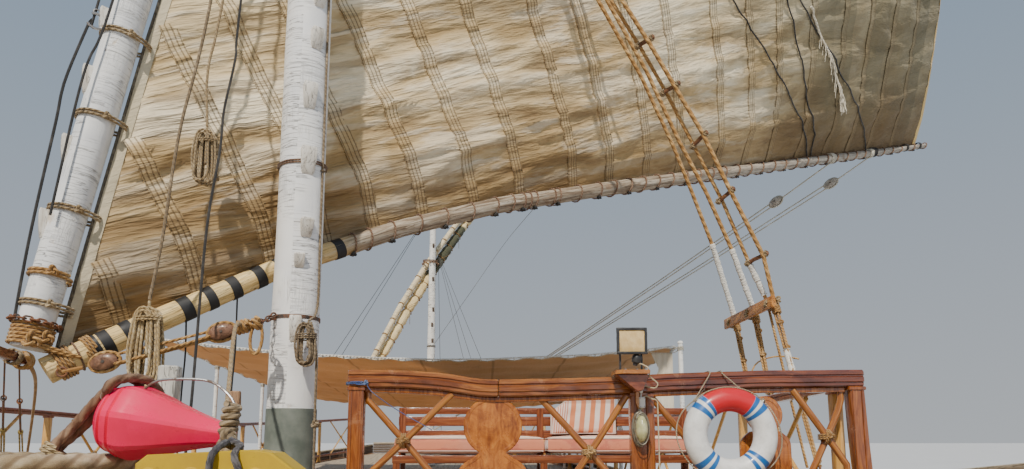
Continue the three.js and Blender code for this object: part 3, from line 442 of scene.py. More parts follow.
def tube(P, R, sides=12, uv="m", lobes=0, pitch=None, up=None, cap=True, phase=0.0, section=None, depth=.18):
    """closed round tube along P; lobes makes laid rope, section scales (across, up) for flat bars"""
    if np.ndim(R) == 0 and not lobes and section is None and len(P) > 3:
        pm = px_per_m(P)
        if pm * float(R) < .95:
            P = thinned(P, min(.3 / pm, .35 * float(R))); sides = min(sides, 5)
    P, T, N, B, L = frames(P, up)
    n = len(P)
    R = np.full(n, float(R)) if np.ndim(R) == 0 else np.asarray(R, float)
    a = 2 * math.pi * np.arange(sides) / sides
    if lobes:
        th = a[None, :] - 2 * math.pi * (L / pitch)[:, None] + phase
        rad = R[:, None] * (1 - depth + depth * np.abs(np.cos(lobes / 2 * th)))
    else:
        rad = R[:, None] * np.ones((1, sides))
    sx, sy = section if section else (1, 1)
    V = P[:, None, :] + rad[:, :, None] * (np.cos(a)[None, :, None] * N[:, None, :] * sy + np.sin(a)[None, :, None] * B[:, None, :] * sx)
    V = V.reshape(-1, 3)
    i, k = np.meshgrid(np.arange(n - 1), np.arange(sides), indexing="ij")
    i = i.ravel(); k = k.ravel(); k2 = (k + 1) % sides
    F = np.stack([i * sides + k, i * sides + k2, (i + 1) * sides + k2, (i + 1) * sides + k], 1)
    Rm = float(np.mean(R))
    if uv == "m":
        us = 2 * math.pi * Rm / sides; vs = 1.0
    else:
        us = 1.0 / sides; vs = 1.0 / Rm
    U = np.stack([k * us, L[i] * vs, (k + 1) * us, L[i] * vs, (k + 1) * us, L[i + 1] * vs, k * us, L[i + 1] * vs], 1).reshape(-1, 2)
    faces = F.tolist()
    if cap:
        V = np.vstack([V, P[0], P[-1]])
        c0, c1 = n * sides, n * sides + 1
        cu = []
        for q in range(sides):
            q2 = (q + 1) % sides
            faces.append([c0, q2, q]); faces.append([c1, (n - 1) * sides + q, (n - 1) * sides + q2])
            cu += [[Rm, 0], [Rm + Rm * math.cos(a[q]), Rm * math.sin(a[q])], [Rm + Rm * math.cos(a[q2]), Rm * math.sin(a[q2])]] * 2
        U = np.vstack([U, np.array(cu) * (1 if uv == "m" else 1.0 / Rm * .1)])
    return V, faces, U

def rope(P, r, pitch=None, sides=9, uv="rope", step=None, fine=True, phase=0.0):
    """three-strand rope; the path is resampled so the strands show"""
    pitch = pitch or 7.0 * r
    if fine and px_per_m(P) * r < 1.34:
        return tube(resample(P, max(.010, 1.5 * r)), r * .93, 6, uv)
    if fine:
        P = resample(P, step or pitch / 8.0)
        return tube(P, r, sides, uv, 3, pitch, phase=phase)
    return tube(resample(P, step or max(.03, 3 * r)), r * .93, max(6, sides - 2), uv)

def resample(P, step):
    P = np.asarray(P, float)
    d = np.linalg.norm(np.diff(P, axis=0), axis=1)
    L = np.concatenate([[0], np.cumsum(d)])
    n = max(2, int(math.ceil(L[-1] / step)) + 1)
    t = np.linspace(0, L[-1], n)
    return np.stack([np.interp(t, L, P[:, q]) for q in range(3)], 1)

def smooth_path(P, step=.03, closed=False, tension=.5):
    """Catmull-Rom through the points, then even steps"""
    P = [V3(p) for p in P]
    if len(P) < 3: return resample(P, step)
    if closed: Q = [P[-1]] + P + [P[0], P[1]]
    else: Q = [2 * P[0] - P[1]] + P + [2 * P[-1] - P[-2]]
    out = []
    for i in range(1, len(Q) - 2):
        p0, p1, p2, p3 = Q[i - 1], Q[i], Q[i + 1], Q[i + 2]
        m = max(4, int(np.linalg.norm(p2 - p1) / step) + 1)
        for j in range(m):
            t = j / m
            out.append(.5 * ((2 * p1) + (-p0 + p2) * t + (2 * p0 - 5 * p1 + 4 * p2 - p3) * t * t + (-p0 + 3 * p1 - 3 * p2 + p3) * t ** 3))
    out.append(Q[-2])
    return resample(out, step)

def sagged(a, b, sag=.02, n=24):
    a, b = V3(a), V3(b)
    t = np.linspace(0, 1, n)[:, None]
    P = a + (b - a) * t
    P[:, 2] -= (4 * sag * t * (1 - t))[:, 0] * np.linalg.norm(b - a)
    return P

def rounded_section(w, d, r, seg=2):
    pts = []
    for cx, cy, a0 in ((1, 1, 0), (-1, 1, 90), (-1, -1, 180), (1, -1, 270)):
        for j in range(seg + 1):
            a = math.radians(a0 + 90 * j / seg)
            pts.append((cx * (w / 2 - r) + r * math.cos(a), cy * (d / 2 - r) + r * math.sin(a)))
    return pts

def sweep(P, section, up=(0, 0, 1), scale=None, wob=0.0, seed=0, ends=.006):
    """closed beam: section (across, up) swept along P, its ends chamfered; UV = round the section, along, in metres"""
    P, T, N, B, L = frames(P, up)
    sec = np.array(section, float)
    m, n = len(sec), len(P)
    rows = []; vs = []
    r0 = random.Random(seed)
    cen = sec.mean(0)
    def ring(i, k, dz):
        s = (sec - cen) * k + cen
        off = np.array([r0.uniform(-wob, wob), r0.uniform(-wob, wob)]) if wob else 0
        return P[i] + T[i] * dz + (s[:, 0:1] + (off[0] if wob else 0)) * B[i] + (s[:, 1:2] + (off[1] if wob else 0)) * N[i]
    size = max(1e-6, np.abs(sec - cen).max())
    kin = 1 - min(.35, ends / size)
    for i in range(n):
        k = 1.0 if scale is None else scale[i]
        if i == 0:
            rows.append(ring(0, k * kin, 0)); vs.append(L[0])
            if n > 1: rows.append(ring(0, k, ends)); vs.append(L[0] + ends)
        elif i == n - 1:
            rows.append(ring(i, k, -ends)); vs.append(L[i] - ends)
            rows.append(ring(i, k * kin, 0)); vs.append(L[i])
        else:
            rows.append(ring(i, k, 0)); vs.append(L[i])
    V = np.vstack(rows)
    q = np.vstack([sec, sec[:1]])
    per = np.concatenate([[0], np.cumsum(np.linalg.norm(np.diff(q, axis=0), axis=1))])
    faces = []; U = []
    for i in range(len(rows) - 1):
        for k in range(m):
            k2 = (k + 1) % m
            faces.append([i * m + k, (i + 1) * m + k, (i + 1) * m + k2, i * m + k2][::-1])
            U += [[per[k + 1], vs[i]], [per[k + 1], vs[i + 1]], [per[k], vs[i + 1]], [per[k], vs[i]]]
    faces.append(list(range(m))[::-1] if True else []); U += [[sec[k][0], sec[k][1] * .3] for k in range(m)][::-1]
    b = (len(rows) - 1) * m
    faces.append([b + k for k in range(m)]); U += [[sec[k][0], sec[k][1] * .3] for k in range(m)]
    return V, faces, np.array(U)

def beam(a, b, w, d, r=.008, up=(0, 0, 1), n=6, wob=.0015, seed=0, sag=0.0):
    a, b = V3(a), V3(b)
    t = np.linspace(0, 1, n)[:, None]
    P = a + (b - a) * t
    if sag: P[:, 2] -= (4 * sag * t * (1 - t))[:, 0]
    return sweep(P, rounded_section(w, d, min(r, w / 2.2, d / 2.2)), up, wob=wob, seed=seed, ends=min(.006, w / 6, d / 6))

def boxr(lo, hi, r=.006, up=(0, 0, 1), **kw):
    """box with rounded long edges; the long axis is the grain"""
    lo, hi = V3(lo), V3(hi)
    c, s = (lo + hi) / 2, hi - lo
    ax = int(np.argmax(s))
    a, b = c.copy(), c.copy()
    a[ax], b[ax] = lo[ax], hi[ax]
    if ax == 2: return beam(a, b, s[1], s[0], r, (1, 0, 0), **kw)
    if ax == 0: return beam(a, b, s[1], s[2], r, (0, 0, 1), **kw)
    return beam(a, b, s[0], s[2], r, (0, 0, 1), **kw)

def lathe(profile, centre, axis=(0, 0, 1), sides=24, up=None):
    """solid of revolution from (radius, height) pairs; ends close on the axis"""
    A = unit(axis)
    u = np.cross(A, [0, 0, 1] if abs(A[2]) < .9 else [1, 0, 0]); u = u / np.linalg.norm(u)
    w = np.cross(A, u)
    c = V3(centre)
    prof = list(profile)
    V = []; idx = []
    for r, h in prof:
        if r < 1e-6:
            idx.append([len(V)] * sides); V.append(c + A * h)
        else:
            idx.append(list(range(len(V), len(V) + sides)))
            for k in range(sides):
                t = 2 * math.pi * k / sides
                V.append(c + A * h + r * (math.cos(t) * u + math.sin(t) * w))
    F = []; U = []
    run = 0.0
    for i in range(len(prof) - 1):
        seg = math.hypot(prof[i + 1][0] - prof[i][0], prof[i + 1][1] - prof[i][1])
        rm = max(prof[i][0], prof[i + 1][0])
        for k in range(sides):
            k2 = (k + 1) % sides
            q = [idx[i][k], idx[i][k2], idx[i + 1][k2], idx[i + 1][k]]
            uvq = [[k / sides * 6.28 * rm, run], [(k + 1) / sides * 6.28 * rm, run], [(k + 1) / sides * 6.28 * rm, run + seg], [k / sides * 6.28 * rm, run + seg]]
            f = []; g = []
            for a_, b_ in zip(q, uvq):
                if a_ not in f: f.append(a_); g.append(b_)
            if len(f) > 2: F.append(f); U += g
        run += seg
    return np.array(V), F, np.array(U)

def torus(centre, axis, R, r, seg=32, sides=10, a0=0.0, a1=360.0, start=None):
    pm = px_per_m(centre)
    if pm * r < .6: sides = min(sides, 5)
    if pm * R < 3.0: seg = min(seg, 10)
    A = unit(axis)
    u = unit(start) if start is not None else unit(np.cross(A, [0, 0, 1] if abs(A[2]) < .9 else [1, 0, 0]))
    w = np.cross(A, u)
    full = abs(a1 - a0) >= 359.9
    t = np.radians(np.linspace(a0, a1, seg + 1))
    P = V3(centre) + R * (np.cos(t)[:, None] * u + np.sin(t)[:, None] * w)
    if not full: return tube(P, r, sides, up=A)
    P = P[:-1]
    n = len(P)
    ph = 2 * math.pi * np.arange(sides) / sides
    Nn = (P - V3(centre)) / R
    V = (P[:, None, :] + r * (np.cos(ph)[None, :, None] * Nn[:, None, :] + np.sin(ph)[None, :, None] * A[None, None, :])).reshape(-1, 3)
    F = []; U = []
    for i in range(n):
        i2 = (i + 1) % n
        for k in range(sides):
            k2 = (k + 1) % sides
            F.append([i * sides + k, i2 * sides + k, i2 * sides + k2, i * sides + k2][::-1])
            a_, b_ = i / n * 6.28 * R, (i + 1) / n * 6.28 * R
            c_, d_ = k / sides * 6.28 * r, (k + 1) / sides * 6.28 * r
            U += [[d_, a_], [d_, b_], [c_, b_], [c_, a_]]
    return V, F, np.array(U)

def helix(centre, axis, R, pitch, turns, per=14, start=None, h0=None):
    A = unit(axis)
    u = unit(start) if start is not None else unit(np.cross(A, [0, 0, 1] if abs(A[2]) < .9 else [1, 0, 0]))
    u = unit(u - A * np.dot(u, A))
    w = np.cross(A, u)
    n = int(turns * per) + 1
    t = np.linspace(0, turns, n)
    h = (t - turns / 2) * pitch if h0 is None else h0 + t * pitch
    return V3(centre) + h[:, None] * A + R * (np.cos(2 * math.pi * t)[:, None] * u + np.sin(2 * math.pi * t)[:, None] * w)

def knot(centre, size, r, axis=(0, 0, 1), sides=8, rot=0.0):
    """a rope knot, a closed trefoil pulled small"""
    A = unit(axis)
    u = unit(np.cross(A, [0, 0, 1] if abs(A[2]) < .9 else [1, 0, 0]))
    w = np.cross(A, u)
    t = np.linspace(0, 2 * math.pi, 49)[:-1] + rot
    x = (np.sin(t) + 2 * np.sin(2 * t)) / 3
    y = (np.cos(t) - 2 * np.cos(2 * t)) / 3
    z = -np.sin(3 * t) * .45
    P = V3(centre) + size * (x[:, None] * u + y[:, None] * w + z[:, None] * A)
    n = len(P)
    T = unit_rows(np.roll(P, -1, 0) - np.roll(P, 1, 0))
    N = unit_rows(P - V3(centre))
    N = unit_rows(N - T * np.sum(N * T, 1)[:, None]); B = np.cross(T, N)
    ph = 2 * math.pi * np.arange(sides) / sides
    V = (P[:, None, :] + r * (np.cos(ph)[None, :, None] * N[:, None, :] + np.sin(ph)[None, :, None] * B[:, None, :])).reshape(-1, 3)
    F = []; U = []
    for i in range(n):
        i2 = (i + 1) % n
        for k in range(sides):
            k2 = (k + 1) % sides
            F.append([i * sides + k, i * sides + k2, i2 * sides + k2, i2 * sides + k])
            U += [[k / sides, i * .8], [(k + 1) / sides, i * .8], [(k + 1) / sides, (i + 1) * .8], [k / sides, (i + 1) * .8]]
    return V, F, np.array(U)
def unit_rows(M): return M / np.maximum(1e-12, np.linalg.norm(M, axis=1))[:, None]

def plate(outline, z0, z1, frame=None):
    """closed plate from an outline of (a, b); frame(a, b, c) places it"""
    n = len(outline)
    f = frame or (lambda a, b, c: (a, b, c))
    V = [f(a, b, z0) for a, b in outline] + [f(a, b, z1) for a, b in outline]
    F = [list(range(n))[::-1], [n + k for k in range(n)]]
    U = [[a, b] for a, b in outline][::-1] + [[a, b] for a, b in outline]
    for k in range(n):
        k2 = (k + 1) % n
        F.append([k, k2, n + k2, n + k])
        (a, b), (c, d) = outline[k], outline[k2]
        U += [[a, b], [c, d], [c, d + .02], [a, b + .02]]
    return np.array(V, float), F, np.array(U, float)

def move(part, fn):
    V, F, U = part
    return np.array([fn(p) for p in V]), F, U

PIECES = []
def fix_closed(part):
    """all faces outward"""
    V, F, U = part
    vol = 0.0
    for f in F:
        a, b, c_ = V[f[0]], V[f[1]], V[f[2]]
        vol += np.dot(a, np.cross(b, c_))
        if len(f) == 4: vol += np.dot(a, np.cross(c_, V[f[3]]))
    if vol < 0:
        F2 = []; U2 = []; o = 0
        for f in F:
            F2.append(f[::-1]); U2 += list(U[o:o + len(f)])[::-1]; o += len(f)
        return V, F2, np.array(U2)
    return part
def make(name, parts, mats, body=ROOT, angle=38, replaces=(), slot=None, faceted=False):
    """one object from parts [(V, F, U) or (V, F, U, material index)]; it rides on a body"""
    if isinstance(mats, str): mats = [mats]
    vs = []; fs = []; us = []; mi = []
    off = 0
    for p in parts:
        V, F, U = p[0], p[1], p[2]
        m = p[3] if len(p) > 3 else 0
        vs.append(np.asarray(V, float)); us.append(np.asarray(U, float))
        fs += [[off + i for i in f] for f in F]
        mi += [m] * len(F)
        off += len(V)
    me = bpy.data.meshes.new(name)
    me.from_pydata(np.vstack(vs).tolist(), [], fs)
    uvl = me.uv_layers.new(name="UVMap")
    uvl.data.foreach_set("uv", np.vstack(us).astype(np.float32).ravel())
    for m in mats: me.materials.append(MATS[m])
    me.polygons.foreach_set("material_index", mi)
    if not faceted:
        me.shade_smooth()
        me.set_sharp_from_angle(angle=math.radians(angle))
    me.validate(); me.update()
    ob = bpy.data.objects.new(name, me)
    bpy.context.scene.collection.objects.link(ob)
    if body is not None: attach(ob, body)
    if replaces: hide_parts(*replaces)
    PIECES.append(ob)
    return ob

# ------------------------------------------------------------------ floor and light
def stage_setup():
    q = Mat("floor", rough=.75, spec=.2)
    tone = q.noise(q.co("Object"), .35, 4, .5)
    c = q.mix(q.rng(tone, .3, .7), (.60, .605, .61), (.56, .565, .575))
    m = q.done(c, None, q.bump(q.noise(q.co("Object"), 14.0, 3, .5), .04, .004))
    me = bpy.data.meshes.new("floor")
    R = 900.0
    me.from_pydata([(-R, -R, 0), (R, -R, 0), (R, R, 0), (-R, R, 0)], [], [(0, 1, 2, 3)])
    me.materials.append(m)
    ob = bpy.data.objects.new("floor", me)
    bpy.context.scene.collection.objects.link(ob)
    w = bpy.data.worlds.new("studio")
    bpy.context.scene.world = w
    w.use_nodes = True
    nt = w.node_tree
    nt.nodes.clear()
    out = nt.nodes.new("ShaderNodeOutputWorld")
    bg = nt.nodes.new("ShaderNodeBackground")
    tc = nt.nodes.new("ShaderNodeTexCoord")
    sp = nt.nodes.new("ShaderNodeSeparateXYZ")
    rp = nt.nodes.new("ShaderNodeValToRGB")
    e = rp.color_ramp.elements
    e[0].position = .0; e[0].color = (.72, .76, .80, 1)
    e[1].position = .62; e[1].color = (.36, .50, .68, 1)
    nt.links.new(tc.outputs["Generated"], sp.inputs[0])
    nt.links.new(sp.outputs[2], rp.inputs[0])
    nt.links.new(rp.outputs[0], bg.inputs[0])
    nt.links.new(bg.outputs[0], out.inputs[0])
    bg.inputs[1].default_value = .66
    def sun(name, direction, energy, angle, color):
        d = bpy.data.lights.new(name, "SUN")
        d.energy = energy; d.angle = math.radians(angle); d.color = color
        o = bpy.data.objects.new(name, d)
        o.rotation_euler = Vector(direction).to_track_quat("-Z", "Y").to_euler()
        bpy.context.scene.collection.objects.link(o)
    # key light from high on the starboard bow, behind the camera's left shoulder
    sun("key", (-.80, .22, -.86), 4.6, 1.4, (1.0, .93, .82))
    sun("fill", (-.75, -.55, -.12), .40, 60.0, (.88, .93, 1.0))
stage_setup()

# ------------------------------------------------------------------ placing by the camera's own rays
def ray(u, v):
    a, b = (u - 512.0) / 700.0, (341.0 - v) / 700.0
    f = math.cos(TILT) - b * math.sin(TILT)
    up = b * math.cos(TILT) + math.sin(TILT)
    return np.array([-math.cos(TURN) * f + math.sin(TURN) * a, math.sin(TURN) * f + math.cos(TURN) * a, up])
E0 = np.array(CAM_POS)
def at_x(u, v, X):
    r = ray(u, v); return E0 + r * ((X - E0[0]) / r[0])
def at_y(u, v, Y):
    r = ray(u, v); return E0 + r * ((Y - E0[1]) / r[1])
def at_z(u, v, Z):
    r = ray(u, v); return E0 + r * ((Z - E0[2]) / r[2])
def at_rig(u, v, n=0.0):
    """where the ray meets the main rig's upright plane, n metres towards the port bow side"""
    r = ray(u, v)
    t = (n + (RP[0] - E0[0]) * RN[0] + (RP[1] - E0[1]) * RN[1]) / (r[0] * RN[0] + r[1] * RN[1])
    return E0 + r * t
def rig_s(p): return (p[0] - RP[0]) * RU[0] + (p[1] - RP[1]) * RU[1]
def pix(p):
    d = V3(p) - E0
    f = -d[0] * math.cos(TURN) + d[1] * math.sin(TURN); r = d[0] * math.sin(TURN) + d[1] * math.cos(TURN)
    zc = f * math.cos(TILT) + d[2] * math.sin(TILT); yc = -f * math.sin(TILT) + d[2] * math.cos(TILT)
    return 512 + 700 * r / zc, 341 - 700 * yc / zc, zc

MATS["mast_white"] = make_white_paint("mast_white_paint", base=(.86, .85, .82), hue=(.76, .765, .77), crack=.75, bare=.30)
MATS["yard_white"] = make_white_paint("yard_white_paint", base=(.82, .815, .79), hue=(.68, .69, .70), crack=.65, bare=.65)
MATS["mizzen_white"] = make_white_paint("mizzen_white_paint", base=(.84, .83, .79), hue=(.74, .74, .72), crack=.6, bare=.5)
MATS["foot_green"] = make_paint("mast_foot_paint", (.105, .125, .105), (.19, .21, .18), (.35, .33, .28), rough=.6, amount=.5, scale=7)
MATS["cleat_wood"] = make_plain_wood("cleat_wood", (.44, .38, .30), (.74, .70, .62), (.90, .88, .82), kind="Object", scale=(14, 14, 3), rough=.75)
def boom_material():
    """pale yellow by the heel, weathered grey-brown timber from the mast aft; UV y along in metres"""
    q = Mat("boom_timber", rough=.75, spec=.25)
    v = q.co("UV"); al = q.sep(v, 1)
    g = q.noise(q.co("UV", scale=(16, 1.1, 1)), 2.0, 8, .66, .7)
    pale = q.ramp(g, [(.25, (.40, .26, .09)), (.45, (.78, .56, .24)), (.75, (.90, .74, .42))])
    old = q.ramp(g, [(.25, (.085, .052, .030)), (.44, (.27, .200, .135)), (.56, (.46, .385, .290)), (.78, (.78, .72, .62))])
    c = q.mix(q.rng(q.mth("ADD", al, q.mth("MULTIPLY", g, .5)), 2.0, 2.5), pale, old)
    c = q.mix(q.rng(al, 5.0, 9.5, 0, .55), c, (.40, .385, .35))
    brown = q.rng(q.noise(q.co("UV", scale=(2.5, 1, 1), loc=(3, 1, 0)), 3.2, 7, .7, .6), .54, .70)
    c = q.mix(q.mth("MULTIPLY", brown, .60), c, (.20, .095, .038))
    knots = q.rng(q.vor(v, 4.5, rand=1.0), .03, .07, 1, 0)
    c = q.mix(q.mth("MULTIPLY", knots, .7), c, (.07, .040, .022))
    chk = q.rng(q.mth("ABSOLUTE", q.mth("SUBTRACT", q.noise(q.co("UV", scale=(22, .8, 1)), 2.0, 3, .5, 1.0), .5)), .004, .022, 1, 0)
    c = q.mix(q.mth("MULTIPLY", chk, .55), c, (.08, .05, .03))
    return q.done(c, q.rng(g, .3, .7, .62, .82), q.bump(q.mth("SUBTRACT", g, q.mth("MULTIPLY", chk, .8)), .7, .006))
MATS["boom_wood"] = boom_material()
MATS["black_band"] = make_paint("black_band", (.012, .012, .013), (.03, .03, .032), (.10, .08, .06), rough=.55, kind="Object", amount=.3, scale=9)
MATS["rope"] = make_rope("rope_tan", (.50, .37, .20), (.20, .135, .07), (.70, .57, .36))
MATS["rope_gold"] = make_rope("rope_gold", (.60, .36, .13), (.27, .13, .04), (.80, .56, .26))
MATS["rope_white"] = make_rope("rope_white", (.82, .78, .66), (.42, .38, .29), (.95, .92, .84))
MATS["rope_grey"] = make_rope("rope_grey", (.34, .25, .15), (.12, .085, .05), (.54, .42, .27))
MATS["rope_brown"] = make_rope("rope_brown", (.33, .20, .12), (.12, .06, .035), (.52, .36, .24), pitch=9)
MATS["line_dark"] = make_rope("line_dark", (.045, .042, .04), (.015, .014, .014), (.10, .09, .08), strands=False, rough=.6)
MATS["block_wood"] = make_plain_wood("block_wood", (.07, .035, .02), (.20, .10, .06), (.36, .21, .13), kind="Object", scale=(9, 9, 9), rough=.5, coat=.2)
MATS["iron"] = make_metal("iron_rusty", (.10, .085, .075), (.22, .09, .04), rough=.55, metal=.8, amount=.8)
MATS["steel"] = make_metal("steel_worn", (.42, .41, .40), (.20, .12, .07), rough=.35, metal=1.0, amount=.3)
MATS["bolt_rope"] = make_rope("bolt_rope", (.20, .17, .12), (.08, .065, .045), (.34, .29, .20))
MATS["tabling"] = make_cloth("tabling", (.62, .55, .40), (.48, .41, .27), weave=300, stain=(.18, .15, .10), stain_amt=.4, wrinkle=.6, wscale=(2, 8, 1))
MATS["leech_tape"] = make_cloth("leech_tape", (.80, .56, .22), (.62, .40, .13), weave=300, stain=(.25, .17, .08), stain_amt=.4, wscale=(2, 8, 1))
MATS["rope_hank"] = make_rope("rope_hank", (.66, .50, .27), (.27, .18, .08), (.86, .74, .48))
MATS["hawser"] = make_rope("hawser", (.58, .46, .28), (.17, .11, .06), (.86, .78, .58), pitch=5.3)

# ------------------------------------------------------------------ sail
FAN = (-5.0, .95)
def sail_tones(q, s, z):
    """colour and crease heights of the old canvas from s along the foot and the height z, in metres; the colour carries
    painted shade and painted highlights
    """
    h = q.mth("SUBTRACT", z, q.mth("ADD", q.mth("MULTIPLY", s, .36), 2.95))
    # the creases fan out from beyond the tack: rho along them, acr across them
    fs, fz = q.mth("ADD", s, -FAN[0]), q.mth("ADD", z, -FAN[1])
    rho = q.mth("SQRT", q.mth("ADD", q.mth("MULTIPLY", fs, fs), q.mth("MULTIPLY", fz, fz)))
    acr = q.mth("MULTIPLY", q.mth("SUBTRACT", q.mth("ARCTAN2", fz, fs), .37), q.mth("MULTIPLY", q.mth("SQRT", rho), 2.6))
    sz = q.comb(s, z)
    c = q.mix(q.rng(q.noise(sz, .55, 5, .6, .3), .3, .72), (.86, .72, .46), (.63, .480, .270))
    # the cloths differ a little; s + .56 z is the same along one cloth
    d = q.mth("ADD", q.mth("MULTIPLY", z, .56), s)
    cells = q.mth("FRACT", q.mth("MULTIPLY", q.mth("SINE", q.mth("MULTIPLY", q.mth("FLOOR", q.mth("DIVIDE", q.mth("ADD", d, .22), .53)), 12.99)), 43.7))
    c = q.mix(q.mth("MULTIPLY", cells, .22), c, (.56, .41, .20))
    hw = q.mth("ADD", h, q.mth("MULTIPLY", q.mth("SUBTRACT", q.noise(sz, 1.0, 5, .62, .4), .5), 1.2))
    # painted shade: ochre-brown darkening towards the foot, where the canvas curls under
    c = q.mix(q.mth("MULTIPLY", q.rng(hw, .2, 2.2, 1, 0), .62), c, (.49, .310, .120))
    # creases: long folds beside the foot and finer puckers between them; the dark mixes are painted crease shade, the
    # light ones painted highlights
    n1 = q.noise(q.comb(q.mth("MULTIPLY", rho, .42), q.mth("MULTIPLY", acr, 2.7)), 1.0, 5, .60, .30)
    n2 = q.noise(q.comb(q.mth("MULTIPLY", rho, 1.2), q.mth("MULTIPLY", acr, 8.5)), 1.0, 5, .60, .30)
    n3 = q.noise(q.comb(q.mth("MULTIPLY", rho, .9), q.mth("MULTIPLY", acr, 1.6)), 1.0, 4, .6, .8)
    low = q.rng(h, .6, 3.2, 1.0, .50)
    abaft_shade = q.rng(q.mth("ADD", s, q.mth("MULTIPLY", h, .70)), 5.0, 8.2)
    lit = q.mth("SUBTRACT", 1.0, q.mth("MULTIPLY", abaft_shade, .72))
    c = q.mix(q.mth("MULTIPLY", q.rng(n1, .50, .61, 0, .60), low), c, (.25, .155, .068))
    c = q.mix(q.mth("MULTIPLY", q.rng(n1, .50, .39, 0, .50), lit), c, (1.0, .92, .72))
    c = q.mix(q.mth("MULTIPLY", q.rng(n2, .51, .62, 0, .52), low), c, (.21, .130, .060))
    c = q.mix(q.mth("MULTIPLY", q.rng(n2, .48, .38, 0, .34), lit), c, (1.0, .93, .76))
    c = q.mix(q.mth("MULTIPLY", q.rng(n3, .53, .68, 0, .50), low), c, (.42, .270, .100))
    # painted shade: greyer and more olive abaft, where the canvas turns away from the light, and dark brown where the
    # foot bags over the boom
    c = q.mix(q.mth("MULTIPLY", abaft_shade, q.mth("ADD", q.mth("MULTIPLY", cells, .26), .64)), c, (.130, .120, .075))
    c = q.mix(q.mth("MULTIPLY", q.rng(hw, -.15, 1.15, 1, 0), .68), c, (.12, .066, .028))
    spots = q.rng(q.noise(sz, 13.0, 5, .75), .66, .74)
    c = q.mix(q.mth("MULTIPLY", spots, .20), c, (.26, .17, .08))
    return c, n1, n2, h
def sail_material():
    q = Mat("sail", rough=.9, spec=.10, sheen=.10)
    uv = q.co("UV")                      # s along the foot, z height, in metres
    c, n1, n2, h = sail_tones(q, q.sep(uv, 0), q.sep(uv, 1))
    nrm = q.bump(n1, 1.0, .16)
    nrm = q.bump(n2, .9, .055, nrm)
    nrm = q.bump(q.mth("ADD", q.wave(uv, 210, .4, 1, 3, "X"), q.wave(uv, 210, .4, 1, 3, "Y")), .12, .001, nrm)
    return q.done(c, None, nrm)
MATS["sail"] = sail_material()

def seam_material():
    """doubled cloth with rows of dark stitches, over the sail's tones with their painted shade and highlights; UV x
    across in metres from the middle, y along
    """
    q = Mat("seam", rough=.9, spec=.10, sheen=.1)
    uv = q.co("UV"); g = q.co("Object")
    x = q.sep(uv, 0)
    dx, dy = q.mth("SUBTRACT", q.sep(g, 0), RP[0]), q.mth("SUBTRACT", q.sep(g, 1), RP[1])
    s = q.mth("ADD", q.mth("MULTIPLY", dx, RU[0]), q.mth("MULTIPLY", dy, RU[1]))
    c, n1, n2, h = sail_tones(q, s, q.sep(g, 2))
    c = q.mix(.16, c, (.46, .34, .18))
    dash = q.rng(q.wave(uv, 14.0, .3, 1, 2, "Y"), .20, .40)
    def line(x0, w):
        return q.rng(q.mth("ABSOLUTE", q.mth("SUBTRACT", x, x0)), w * .5, w, 1, 0)
    # dark stitch rows, drawn wide enough to take in the painted shade of the small folds along them
    ln = q.mth("MAXIMUM", q.mth("MAXIMUM", line(-.048, .006), line(.048, .006)), q.mth("MAXIMUM", line(-.017, .006), line(.017, .006)))
    ln = q.mth("MULTIPLY", ln, q.mth("ADD", q.mth("MULTIPLY", dash, .22), .62))
    c = q.mix(q.mth("MULTIPLY", ln, .74), c, (.095, .058, .028))
    nrm = q.bump(n1, 1.0, .12)
    nrm = q.bump(n2, .9, .05, nrm)
    nrm = q.bump(q.mth("SUBTRACT", 1.0, ln), .7, .006, nrm)
    return q.done(c, None, nrm)
MATS["seam"] = seam_material()

def fbm(x, y, oct=4, seed=0.0, gain=.5, lac=2.03):
    a, t, f = 1.0, 0.0, 1.0
    for o in range(oct):
        t += a * mnoise.noise(Vector((x * f + 13.7 * seed, y * f - 7.1 * seed, 3.3 * seed + o)))
        a *= gain; f *= lac
    return t

SEAMS = [-.92, -.5, -.05, .34, .72, 1.15, 1.65, 2.15, 2.8, 3.28, 3.82, 4.34, 5.03, 5.57, 6.08, 6.75, 7.45, 8.08, 8.72, 9.45]
def crease(s, n, z, u, v):
    """how far the canvas stands off its smooth shape"""
    h = z - foot_z(min(max(s, -1.3), 10.5))
    # long creases that fan out from beyond the tack
    rho = math.hypot(s - FAN[0], z - FAN[1])
    acr = (math.atan2(z - FAN[1], s - FAN[0]) - .37) * 2.6 * math.sqrt(rho)
    f1 = fbm(acr * 1.45, rho * .26, 3, 1.0)
    f2 = fbm(acr * 3.6, rho * .42, 3, 2.0)
    f3 = fbm(acr * 7.5, rho * .95, 2, 3.0)
    rid = max(0.0, 1 - abs(f2) * 2.4)
    low = math.exp(-max(0, h) / 2.6)
    near = math.exp(-max(0, s + 1.2) / 3.0)
    d = .038 * f1 + (.032 * rid * rid + .012 * f3) * (.50 + .60 * low + .35 * near)
    # each cloth bellies a little between its seams
    e = s + .56 * (z - foot_z(s)) * .9
    j = 0
    for a, b in zip(SEAMS, SEAMS[1:]):
        if a <= e < b:
            t = (e - a) / (b - a)
            d += .018 * math.sin(math.pi * t)
            d += .008 * fbm(t * 1.3 + a, z * 2.6, 2, 4.0) * math.exp(-((t - .5) / .38) ** 2)
            break
    # scallops where the foot is laced to the boom
    d += .014 * math.exp(-max(0, h) / .22) * math.sin(2 * math.pi * s / .40)
    edge = min(1.0, u / .012) if u < .012 else 1.0
    edge *= min(1.0, max(0.0, (1 - u) / .01))
    top = min(1.0, (1 - v) / .06)
    fade = .35 + .65 * math.exp(-max(0, v - .2) / .25)
    mast = 1.0
    if -.35 < s < .35: mast = .6
    return max(-.06, min(.085, d * edge * top * fade * mast * min(1, .05 + max(0, h) / .30)))

